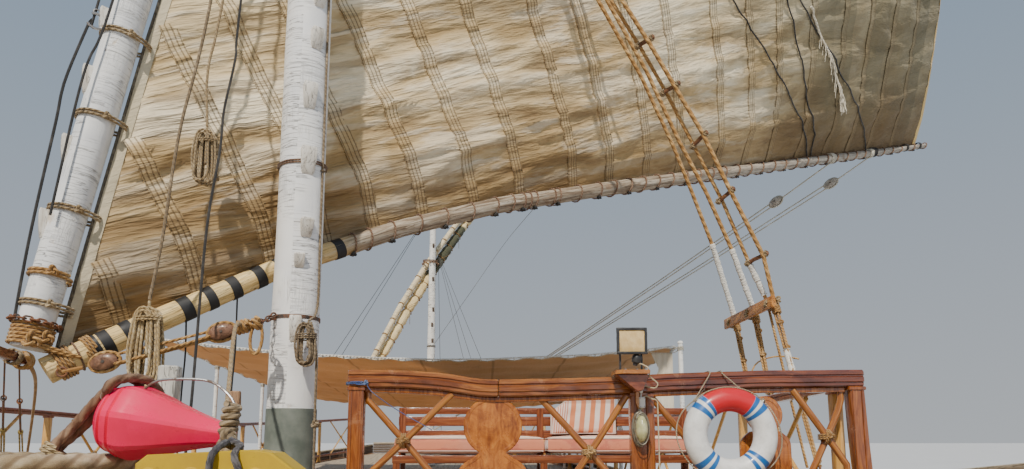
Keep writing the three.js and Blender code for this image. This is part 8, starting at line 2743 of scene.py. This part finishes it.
# parrel of the mizzen yard at its mast
pr = [rope(helix(V3((MIZ_X - .07, -.05, 5.95)), unit([.1, .08, 1]), .175, .020, 3, 26), .0095, sides=8)]
for k in range(14):
    a = k / 14 * 2 * math.pi
    pr.append(lathe([(0, -.018), (.016, -.013), (.019, 0), (.016, .013), (0, .018)], V3((MIZ_X - .07, -.05, 5.90)) + [.190 * math.cos(a), .190 * math.sin(a), -.01], (-math.sin(a), math.cos(a), 0), 10))
make("mizzen_parrel", pr, "rope_brown", MIZ, slot="rope")
# stays and tackles of the mizzen, from the yard's sling to the port and starboard bulwarks
top = V3((MIZ_X - .10, .13, 6.02))
feet = []
for k, (u, v, X) in enumerate(((440, 355, -6.4), (463, 357, -5.6), (470, 357, -5.2), (480, 358, -4.7))):
    w = at_x(u, v, X)
    d = unit(w - top)
    # run on to the bulwark's inner face
    t_ = 0; p = w
    for q in np.linspace(0, 9, 900):
        p = top + d * q
        if p[2] < deck_z(p[0]) + .20 or p[1] > half_beam(p[0]) - .14: break
    foot = V3((p[0], min(p[1], half_beam(p[0]) - .14), max(p[2], deck_z(p[0]) + .03)))
    ob = blended("mizzen_stay_port_%d" % (k + 1), [tube(sagged(top + [0, .01 * k, .02 * k], foot, .004, 60), .0048, 7), knot(foot + [0, 0, .02], .016, .0055, axis=(1, 0, 0))], "line_dark")
for k, (x, y) in enumerate(((-5.2, -(half_beam(-5.2) - .14)), (-6.0, -(half_beam(-6.0) - .14)))):
    foot = V3((x, y, deck_z(x) + .16)); tp_ = V3((MIZ_X, -.08, 7.18))
    make("mizzen_shroud_starboard_%d" % (k + 1), [tube(sagged(tp_, foot, .003, 60), .0055, 7), rope(helix(tp_, (0, 0, 1), .082, .014, 2, 18), .006, sides=7, fine=False), knot(foot + [0, 0, .02], .018, .006, axis=(1, 0, 0))], "line_dark", ROOT, slot="rope")
# a thin line led from the mizzen mast up to the boom's end
dg = [V3((MIZ_X + .11, .05, 3.93)), at_x(468, 296, -5.9), at_x(490, 265, -5.3), at_x(505, 243, -5.0)]
ends_ = [at_rig(560, 178, -.05)]
MATS["line_grey"] = make_rope("line_grey", (.16, .15, .14), (.07, .065, .06), (.30, .28, .25), strands=False, rough=.6)
blended("mizzen_diagonal_line", [tube(smooth_path([dg[0], (dg[0] + dg[3]) / 2, dg[3], ends_[0]], .08), .0045, 7), rope(helix((MIZ_X, 0, 3.93), (0, 0, 1), .098, .012, 3, 20), .0055, sides=7, fine=False)], "line_grey")

# ------------------------------------------------------------------ hull: planking, keel, deck, bulwarks, rails, rudder
def side_profile(x):
    """(y, z) down one side, from the deck edge to the keel"""
    _, bD, zD, bT, zT, bB, zB, zBot, zK = [tab(x, k) for k in range(9)]
    return [(bD, zD), (bT, zT), (bB, zB), (KEEL, zBot), (KEEL, zK)]
def hull_shell():
    xs = np.unique(np.concatenate([np.linspace(-10.3, 10.95, 84), [s[0] for s in SECTIONS]]))
    planks = [7, 5, 5]                     # strakes between the profile's corners
    per = 4
    rowsets = []
    V = []; 
    rows = None
    for x in xs:
        P = side_profile(x)
        ring = []
        run = 0
        for seg, n in enumerate(planks):
            a = np.array(P[seg]); b = np.array(P[seg + 1])
            for k in range(n * per):
                f = k / (n * per)
                p = a + (b - a) * f
                # belly between the corners, never outside the CAD's own faces
                nrm = np.array([b[1] - a[1], -(b[0] - a[0])]); nrm = nrm / max(1e-9, np.linalg.norm(nrm))
                if nrm[0] < 0: nrm = -nrm
                j = k % per
                inset = {0: .009, 1: .0015, 2: 0.0, 3: .0015}[j]
                inset += .0025 * (.5 + .5 * mnoise.noise(Vector((x * .8, seg * 7 + k // per, 3))))
                p = p - nrm * inset
                ring.append((p[0], p[1]))
        ring.append((KEEL - .002, P[3][1])); ring.append((KEEL - .004, P[3][1] - .02)); ring.append((KEEL - .006, P[4][1] + .012)); ring.append((KEEL - .018, P[4][1] + .001))
        rowsets.append(ring)
    m = len(rowsets[0])
    full = []
    for x, ring in zip(xs, rowsets):
        # right round: port deck edge -> keel -> starboard deck edge, then the deck
        for y, z in ring: full.append((x, y, z))
        for y, z in ring[::-1]: full.append((x, -y, z))
        zD = tab(x, 2); b = ring[0][0]
        for k in range(1, 12): full.append((x, -b + 2 * b * k / 12, zD - .022))
    n = 2 * m + 11
    V = np.array(full)
    # the ring begins at the deck edge
    for i in range(len(xs)):
        V[i * n][2] -= .001; V[i * n + 2 * m - 1][2] -= .001
    F = []; U = []
    arc = [0]
    for k in range(1, m): arc.append(arc[-1] + float(np.linalg.norm(V[75 * n + k] - V[75 * n + k - 1])))
    def a_of(k): return arc[k] if k < m else (arc[2 * m - 1 - k] if k < 2 * m else .1 * (k - 2 * m))
    for i in range(len(xs) - 1):
        for k in range(n):
            k2 = (k + 1) % n
            F.append([i * n + k, (i + 1) * n + k, (i + 1) * n + k2, i * n + k2])
            U += [[a_of(k), xs[i]], [a_of(k), xs[i + 1]], [a_of(k2), xs[i + 1]], [a_of(k2), xs[i]]]
    for i, s in ((0, 1), (len(xs) - 1, -1)):
        c = len(V); V = np.vstack([V, [xs[i], 0, np.mean([tab(xs[i], 2), tab(xs[i], 8)])]])
        for k in range(n):
            k2 = (k + 1) % n
            f = [c, i * n + k, i * n + k2]
            F.append(f if s > 0 else f[::-1]); U += [[0, 0], [a_of(k), 0], [a_of(k2), 0]]
    return fix_closed((V, F, np.array(U)))
def hull_material():
    q = Mat("hull_planking", rough=.55, spec=.4, coat=.12)
    v = q.co("UV", scale=(9, .55, 1))
    g = q.noise(v, 3.0, 8, .65, .8)
    c = q.ramp(g, [(.25, (.075, .034, .018)), (.5, (.17, .085, .042)), (.75, (.29, .16, .085))])
    # butts of the planks and iron nails
    seam = q.noise(q.co("UV", scale=(2.2, 2.0, 1)), 1.0, 1, .5)
    st = q.rng(q.noise(q.co("UV", loc=(3, 1, 0)), 1.5, 7, .7, .4), .52, .78)
    c = q.mix(q.mth("MULTIPLY", st, .5), c, (.055, .040, .030))
    nail = q.rng(q.vor(q.co("UV", scale=(8, 4.2, 1)), 1.0, rand=.15), .03, .05, 1, 0)
    c = q.mix(q.mth("MULTIPLY", nail, .75), c, (.03, .018, .012))
    z = q.sep(q.co("Object"), 2)
    wob = q.mth("MULTIPLY", q.mth("SUBTRACT", q.noise(q.co("Object"), 4, 5, .6), .5), .035)
    zz = q.mth("ADD", z, wob)
    # lime and tallow below the waterline, with a darker wet band and some growth
    lime = q.mix(q.rng(q.noise(q.co("Object"), 5, 6, .65), .3, .7), (.58, .56, .50), (.42, .42, .37))
    grow = q.rng(q.noise(q.co("Object", scale=(2, 2, 6)), 4, 7, .7), .5, .7)
    lime = q.mix(q.mth("MULTIPLY", grow, .45), lime, (.20, .22, .12))
    c = q.mix(q.rng(zz, .015, .035, 1, 0), c, lime)
    band = q.mth("MULTIPLY", q.rng(zz, .03, .05), q.rng(zz, .12, .16, 1, 0))
    c = q.mix(q.mth("MULTIPLY", band, .75), c, (.60, .58, .52))
    n = q.bump(q.mth("SUBTRACT", g, q.mth("MULTIPLY", nail, .6)), .5, .005)
    return q.done(c, q.rng(g, .3, .7, .42, .66), n)
MATS["hull_new"] = hull_material()
make("hull_shell", [hull_shell()], "hull_new", ROOT, replaces=("hull",), slot="hull_paint", angle=26)
# stem, keel shoe, sternpost facings, rubbing strakes
MATS["strake"] = make_plain_wood("strake_wood", (.10, .045, .022), (.24, .115, .055), (.38, .21, .11), scale=(20, 1.2, 1), rough=.5, coat=.25)
st_ = []
for s in (1, -1):
    for f, w, d in ((.07, .075, .045), (.34, .06, .035)):
        P = []
        for x in np.linspace(-10.25, 10.55, 90):
            a = np.array(side_profile(x)[0]); b = np.array(side_profile(x)[1])
            p = a + (b - a) * f
            P.append((x, s * (p[0] + .004), p[1]))
        g = sweep(np.array(P), rounded_section(.040, w, .012, 2), (0, 0, 1), wob=.001, seed=int(f * 100), ends=.004)
        st_.append(g)
make("rubbing_strakes", st_, "strake", ROOT, slot="hull_paint", angle=32)
# deck planks
def deck_plank_material():
    q = Mat("deck_planks", rough=.8, spec=.25)
    v = q.co("Object", scale=(1.1, 20, 1))
    g = q.noise(v, 2.2, 8, .65, .7)
    c = q.ramp(g, [(.25, (.22, .165, .115)), (.5, (.40, .32, .23)), (.75, (.56, .47, .36))])
    st = q.rng(q.noise(q.co("Object"), 1.7, 7, .7), .5, .75)
    c = q.mix(q.mth("MULTIPLY", st, .45), c, (.19, .13, .085))
    nail = q.rng(q.vor(q.co("Object", scale=(3.0, 8.2, .001)), 1.0, rand=.1), .03, .045, 1, 0)
    c = q.mix(q.mth("MULTIPLY", nail, .7), c, (.07, .05, .04))
    return q.done(c, q.rng(st, 0, 1, .7, .88), q.bump(q.mth("SUBTRACT", g, nail), .5, .004))
MATS["deck"] = deck_plank_material()
dk = []
pw = .122
hb_max = 3.70
ny = int(2 * hb_max / pw)
bx = [s[0] for s in SECTIONS]
for j in range(ny + 1):
    y = -hb_max + j * pw + pw / 2
    lim = abs(y) + pw / 2 + .02
    xs = [x for x in np.linspace(-10.28, 10.9, 400) if half_beam(x) > lim]
    if len(xs) < 4: continue
    x0, x1 = xs[0], xs[-1]
    rr = random.Random(j)
    cuts = [x0]; c_ = x0 + rr.uniform(1.2, 4.4)
    while c_ < x1 - 1.2: cuts.append(c_); c_ += rr.uniform(3.6, 5.2)
    cuts.append(x1)
    for a, b in zip(cuts, cuts[1:]):
        inner = [x for x in bx if a + .05 < x < b - .05]
        X = sorted(set([a + .0015, b - .0015] + inner))
        dz = rr.uniform(-.0006, .0)
        P = np.array([(x, y, deck_z(x) - .0125 + dz) for x in X])
        w = pw - .005; h = .0245
        sec_ = [(w / 2 - .002, h / 2), (-w / 2 + .002, h / 2), (-w / 2, h / 2 - .002), (-w / 2, -h / 2), (w / 2, -h / 2), (w / 2, h / 2 - .002)]
        dk.append(sweep(P, sec_, (0, 0, 1), ends=.0))
make("deck_planking", dk, "deck", ROOT, angle=30)
# caulking between the planks and the margin planks along the side
MATS["caulk"] = make_paint("caulk_pitch", (.03, .028, .026), (.055, .05, .045), (.12, .10, .08), rough=.7, amount=.3, scale=12)
ck = []
for s in (1, -1):
    P = [(x, s * (half_beam(x) - .145), deck_z(x) - .004) for x in np.linspace(-10.2, 10.4, 110)]
    ck.append((*sweep(np.array(P), rounded_section(.20, .020, .004, 1), (0, 0, 1), ends=.0), 1))
V_ = []; F_ = []; U_ = []
XX = np.unique(np.concatenate([np.linspace(-10.29, 10.93, 60), bx[1:-1]]))
for x in XX:
    b = half_beam(x) - .025; z = deck_z(x) - .008
    V_ += [(x, -b, z), (x, b, z), (x, b, z - .012), (x, -b, z - .012)]
for i in range(len(XX) - 1):
    for k in range(4):
        k2 = (k + 1) % 4
        F_.append([i * 4 + k, (i + 1) * 4 + k, (i + 1) * 4 + k2, i * 4 + k2]); U_ += [[0, 0], [0, 1], [1, 1], [1, 0]]
F_.append([0, 1, 2, 3]); U_ += [[0, 0]] * 4
e_ = (len(XX) - 1) * 4
F_.append([e_ + 3, e_ + 2, e_ + 1, e_]); U_ += [[0, 0]] * 4
ck.append((*fix_closed((np.array(V_, float), F_, np.array(U_, float))), 0))
make("deck_caulking", ck, ["caulk", "strake"], ROOT, angle=30)

# bulwarks: three strakes and a weathered cap rail, stanchions inside
MATS["bul_wood"] = make_plain_wood("bulwark_wood", (.06, .042, .032), (.135, .10, .075), (.25, .20, .155), scale=(18, 1.0, 1), rough=.75, bump=.7)
MATS["cap_wood"] = make_plain_wood("bulwark_cap_wood", (.28, .22, .15), (.50, .42, .30), (.68, .60, .46), scale=(20, 1.0, 1), rough=.78, bump=.7)
for s, nm in ((1, "bulwark_port"), (-1, "bulwark_starboard")):
    parts = []
    X = np.unique(np.concatenate([np.linspace(-10.3, 10.29, 100), bx[1:-1]]))
    for k in range(3):
        z0_, z1_ = .0015 + k * .0665, .0015 + (k + 1) * .0665 - .004
        P = [(x, s * (half_beam(x) - .015 - .05), deck_z(x) + (z0_ + z1_) / 2) for x in X]
        parts.append((*sweep(np.array(P), rounded_section(.086, z1_ - z0_, .006, 1), (0, 0, 1), wob=.0006, seed=k + 5 * s, ends=.0), 0))
    P = [(x, s * (half_beam(x) - .015 - .05), deck_z(x) + .2185) for x in X]
    parts.append((*sweep(np.array(P), rounded_section(.100, .038, .012, 2), (0, 0, 1), wob=.001, seed=31 + s, ends=.003), 1))
    for x in np.arange(-9.8, 10.0, .62):
        y = half_beam(x) - .118
        parts.append((*beam((x, s * (y - .002), deck_z(x) + .001), (x, s * (y - .002), deck_z(x) + .199), .05, .022, .005, up=(1, 0, 0), n=3), 0))
    make(nm + "_planks", parts, ["bul_wood", "cap_wood"], ROOT, replaces=(nm,), slot="hull_paint", angle=30)
# taffrail and stem head
tf = []
for k in range(4):
    z = 1.4525 + .001 + k * .063
    tf.append((*beam((-10.24, -1.782, z + .031), (-10.24, 1.782, z + .031), .100, .059, .006, n=30, wob=.0006, seed=k), 0))
tf.append((*beam((-10.24, -1.783, 1.722), (-10.24, 1.783, 1.722), .120, .036, .012, n=30, wob=.001, seed=9), 1))
make("taffrail_planks", tf, ["bul_wood", "cap_wood"], ROOT, replaces=("taffrail",), slot="hull_paint", angle=30)
sh = []
rs = []
for z, xa, xb, w in ((1.843, 10.425, 10.925, .098), (2.05, 10.515, 10.96, .094), (2.25, 10.602, 10.998, .088), (2.42, 10.715, 11.05, .078), (2.52, 10.785, 11.085, .072), (2.56, 10.812, 11.098, .076), (2.60, 10.842, 11.112, .074), (2.618, 10.87, 11.112, .055)):
    ring = []
    for a in np.linspace(0, 2 * math.pi, 29)[:-1]:
        ca, sa = math.cos(a), math.sin(a)
        ex = lambda q: math.copysign(abs(q) ** .45, q)
        ring.append(((xa + xb) / 2 + ex(ca) * (xb - xa) / 2, ex(sa) * w, z))
    rs.append(ring)
m = 28
Vs = np.array([p for r_ in rs for p in r_]); Fs = []; Us = []
for i in range(len(rs) - 1):
    for k in range(m):
        k2 = (k + 1) % m
        Fs.append([i * m + k, i * m + k2, (i + 1) * m + k2, (i + 1) * m + k])
        Us += [[k * .05, Vs[i * m][2]], [(k + 1) * .05, Vs[i * m][2]], [(k + 1) * .05, Vs[(i + 1) * m][2]], [k * .05, Vs[(i + 1) * m][2]]]
Fs.append(list(range(m))[::-1]); Us += [[Vs[k][0], Vs[k][1]] for k in range(m)][::-1]
Fs.append([(len(rs) - 1) * m + k for k in range(m)]); Us += [[Vs[k][0], Vs[k][1]] for k in range(m)]
sh.append(fix_closed((Vs, Fs, np.array(Us))))
make("stem_head_timber", sh, "strake", ROOT, replaces=("stem_head",), slot="rail_varnish", angle=32)

# side rails: moulded handrail on posts with crossed braces, as at the bow rail
MATS["rail_dark"] = make_varnish("side_rail_dark", dark=(.07, .018, .010), mid=(.20, .052, .024), light=(.36, .13, .055), coat=.35)
MATS["post_gold"] = make_varnish("side_rail_post", dark=(.30, .13, .03), mid=(.62, .33, .08), light=(.80, .50, .17), kind="Object", scale=(14, 14, 2.0), coat=.3)
for s, nm in ((1, "side_rail_port"), (-1, "side_rail_starboard")):
    A = []; lsh = []
    N = 8
    xx = [5.05 + (-9.6 - 5.05) * i / N for i in range(N + 1)]
    at = lambda x: (x, s * (half_beam(x) - .24))
    hi = lambda x: min(1.0, .8 + .06 * (5.05 - x))
    zt = lambda x: deck_z(x) + hi(x)
    for i, x in enumerate(xx):
        X_, Y_ = at(x)
        zb_ = max(deck_z(x - .035), deck_z(x), deck_z(x + .035)) + .0005
        A.append((*sweep(np.array([(X_, Y_, zb_), (X_, Y_, zb_ + .3), (X_, Y_, zt(x) - .060)]), rounded_section(.064, .064, .008, 2), (1, 0, 0), wob=.001, seed=i, ends=.003), 1))
        A.append((*boxr((X_ - .045, Y_ - .045, zb_), (X_ + .045, Y_ + .045, zb_ + .04), .006), 1))
        A.append((*boxr((X_ - .040, Y_ - .040, zt(x) - .075), (X_ + .040, Y_ + .040, zt(x) - .056), .004), 0))
        if i == N: break
        x2 = xx[i + 1]; X2, Y2 = at(x2)
        P = [V3((X_ + (X2 - X_) * t, Y_ + (Y2 - Y_) * t, zt(x) + (zt(x2) - zt(x)) * t - .034)) for t in np.linspace(.0 if i else -.015, 1.0 if i < N - 1 else 1.015, 14)]
        ms = [(.030, .034), (-.030, .034), (-.037, .026), (-.037, .010), (-.031, .005), (-.037, 0), (-.037, -.020), (-.028, -.026), (.028, -.026), (.037, -.020), (.037, 0), (.031, .005), (.037, .010), (.037, .026)]
        A.append((*sweep(np.array(P), ms, (0, 0, 1), wob=.0008, seed=40 + i, ends=.0), 0))
        A.append((*beam((X_, Y_, deck_z(x) + .15), (X2, Y2, deck_z(x2) + .15), .042, .052, .007, n=14, wob=.0008, seed=60 + i), 0))
        f = lambda t: (X_ + (X2 - X_) * t, Y_ + (Y2 - Y_) * t, deck_z(x) + (deck_z(x2) - deck_z(x)) * t)
        for j, (p, q) in enumerate(((.25, .75), (.75, .25))):
            a = f(p); b = f(q)
            o = s * (.009 if j else -.009)
            P = np.array([V3((a[0], a[1] + o, a[2] + .16)) + (V3((b[0], b[1] + o, zt(b[0]) - .062)) - V3((a[0], a[1] + o, a[2] + .16))) * t for t in np.linspace(0, 1, 8)])
            A.append((*tube(P, .0165, 10), 1))
        c = f(.5); cz = (c[2] + .16 + zt(c[0]) - .062) / 2
        lsh.append(rope(helix((c[0], c[1], cz), (0, 0, 1), .032, .010, 3, 16), .005, sides=6))
        lsh.append(rope(helix((c[0], c[1], cz), (1, 0, 0), .032, .010, 2, 16), .005, sides=6))
    make(nm + "_timber", A, ["rail_dark", "post_gold"], ROOT, replaces=(nm,), slot="rail_varnish", angle=32)
    make(nm + "_lashings", lsh, "rope_gold", ROOT, slot="rope")

# rudder, tiller, gudgeons
RXX = -10.44
MATS["rudder"] = make_plain_wood("rudder_wood", (.09, .045, .025), (.20, .11, .06), (.33, .20, .12), kind="Object", scale=(1.3, 12, 5), rough=.65)
rd = []
stock = lathe([(0, -.92), (.062, -.92), (.065, -.90), (.065, 1.955), (.060, 1.98), (0, 1.98)], (RXX, 0, 0), (0, 0, 1), 28)
rd.append((*stock, 0))
out = [(0.02, -.919), (-1.45, -.86), (-1.57, .1), (-1.131, .42), (-.35, .75), (0.02, 1.235)]
def inside_plank(zlo, zhi):
    """outline of the blade between two heights"""
    pts = out
    def clip(poly, z, keep_above):
        res = []
        for i in range(len(poly)):
            a, b = poly[i], poly[(i + 1) % len(poly)]
            ia = (a[1] >= z) if keep_above else (a[1] <= z); ib = (b[1] >= z) if keep_above else (b[1] <= z)
            if ia: res.append(a)
            if ia != ib:
                t = (z - a[1]) / (b[1] - a[1]); res.append((a[0] + (b[0] - a[0]) * t, z))
        return res
    return clip(clip(pts, zlo, True), zhi, False)
edges = [-.919, -.60, -.28, .04, .36, .70, 1.235]
for k in range(len(edges) - 1):
    poly = inside_plank(edges[k] + (.0025 if k else 0), edges[k + 1] - (.0025 if k < len(edges) - 2 else 0))
    if len(poly) < 3: continue
    cx = sum(p[0] for p in poly) / len(poly); cz = sum(p[1] for p in poly) / len(poly)
    def rg(y, ins):
        o_ = []
        for a, b in poly:
            d = np.array([cx - a, cz - b]); d /= max(1e-9, np.linalg.norm(d))
            o_.append((RXX + a + d[0] * ins, y, b + d[1] * ins))
        return o_
    R_ = [rg(-.0345, .006), rg(-.029, 0), rg(.029, 0), rg(.0345, .006)]
    n = len(poly)
    Vp = np.array([p for r_ in R_ for p in r_]); Fp = []; Up = []
    for i in range(3):
        for q in range(n):
            q2 = (q + 1) % n
            Fp.append([i * n + q, i * n + q2, (i + 1) * n + q2, (i + 1) * n + q]); Up += [[0, 0], [.2, 0], [.2, .1], [0, .1]]
    Fp.append(list(range(n))[::-1]); Up += [[0, 0]] * n
    Fp.append([3 * n + q for q in range(n)]); Up += [[0, 0]] * n
    rd.append((*fix_closed((Vp, Fp, np.array(Up, float))), 0))
for z, L in ((-.62, 1.30), (.20, 1.05), (.62, .45)):   # iron straps with clenched bolts
    for y in (-1, 1):
        rd.append((*boxr((RXX - L, y * .0345 - .003, z - .022), (RXX - .04, y * .0345 + .003, z + .022), .002), 1))
        for q in range(int(L / .22)):
            rd.append((*lathe([(0, 0), (.012, 0), (.010, .006), (0, .008)], (RXX - .15 - q * .22, y * .0375, z), (0, y, 0), 12), 1))
make("rudder_timber", rd, ["rudder", "iron"], RUD, replaces=("rudder_blade",), slot="rudder_timber", angle=32)
zt_ = 1.89
tl_ = [spar_tube([(RXX + .066, 0, zt_), (RXX + .9, 0, zt_ - .02), (RXX + 1.7, 0, zt_ + .02), (RXX + 2.3, 0, zt_ + .12)], [.049, .044, .035, .029], 24, .04, .0010, 4)]
hd = []
n = 36; Vh = []; Fh = []; Uh = []
prof = [(.0660, -.0645), (.098, -.0645), (.1045, -.058), (.1045, -.020), (.1015, -.016), (.1015, .016), (.1045, .020), (.1045, .058), (.098, .0645), (.0660, .0645)]
for r_, h in prof:
    for k in range(n):
        a = 2 * math.pi * k / n; Vh.append((RXX + r_ * math.cos(a), r_ * math.sin(a), zt_ + h))
for i in range(len(prof)):
    i2 = (i + 1) % len(prof)
    for k in range(n):
        k2 = (k + 1) % n
        Fh.append([i * n + k, i * n + k2, i2 * n + k2, i2 * n + k]); Uh += [[k * .018, i * .02], [(k + 1) * .018, i * .02], [(k + 1) * .018, i * .02 + .02], [k * .018, i * .02 + .02]]
tl_.append(fix_closed((np.array(Vh, float), Fh, np.array(Uh, float))))
tl_.append(lathe([(0, 0), (.034, 0), (.038, .02), (.034, .045), (.018, .058), (0, .06)], (RXX + 2.245, 0, zt_ + .1122), unit((.6, 0, .1)), 20))
make("tiller_timber", tl_, "rail_dark", RUD, replaces=("tiller",), slot="rail_varnish", angle=34)
for nm in ("rudder_gudgeon_upper", "rudder_gudgeon_lower"):
    o = NODES[nm]
    o.data.materials.clear(); o.data.materials.append(MATS["iron"])
gb = []
for z in (1.33, 0.0):
    for x in (-10.36, -10.33):
        for y in (-.105, .105):
            gb.append(lathe([(0, 0), (.010, 0), (.009, .005), (0, .007)], (x, y, z + .035), (0, 0, 1), 8))
make("gudgeon_bolts", gb, "iron", ROOT, slot="iron")
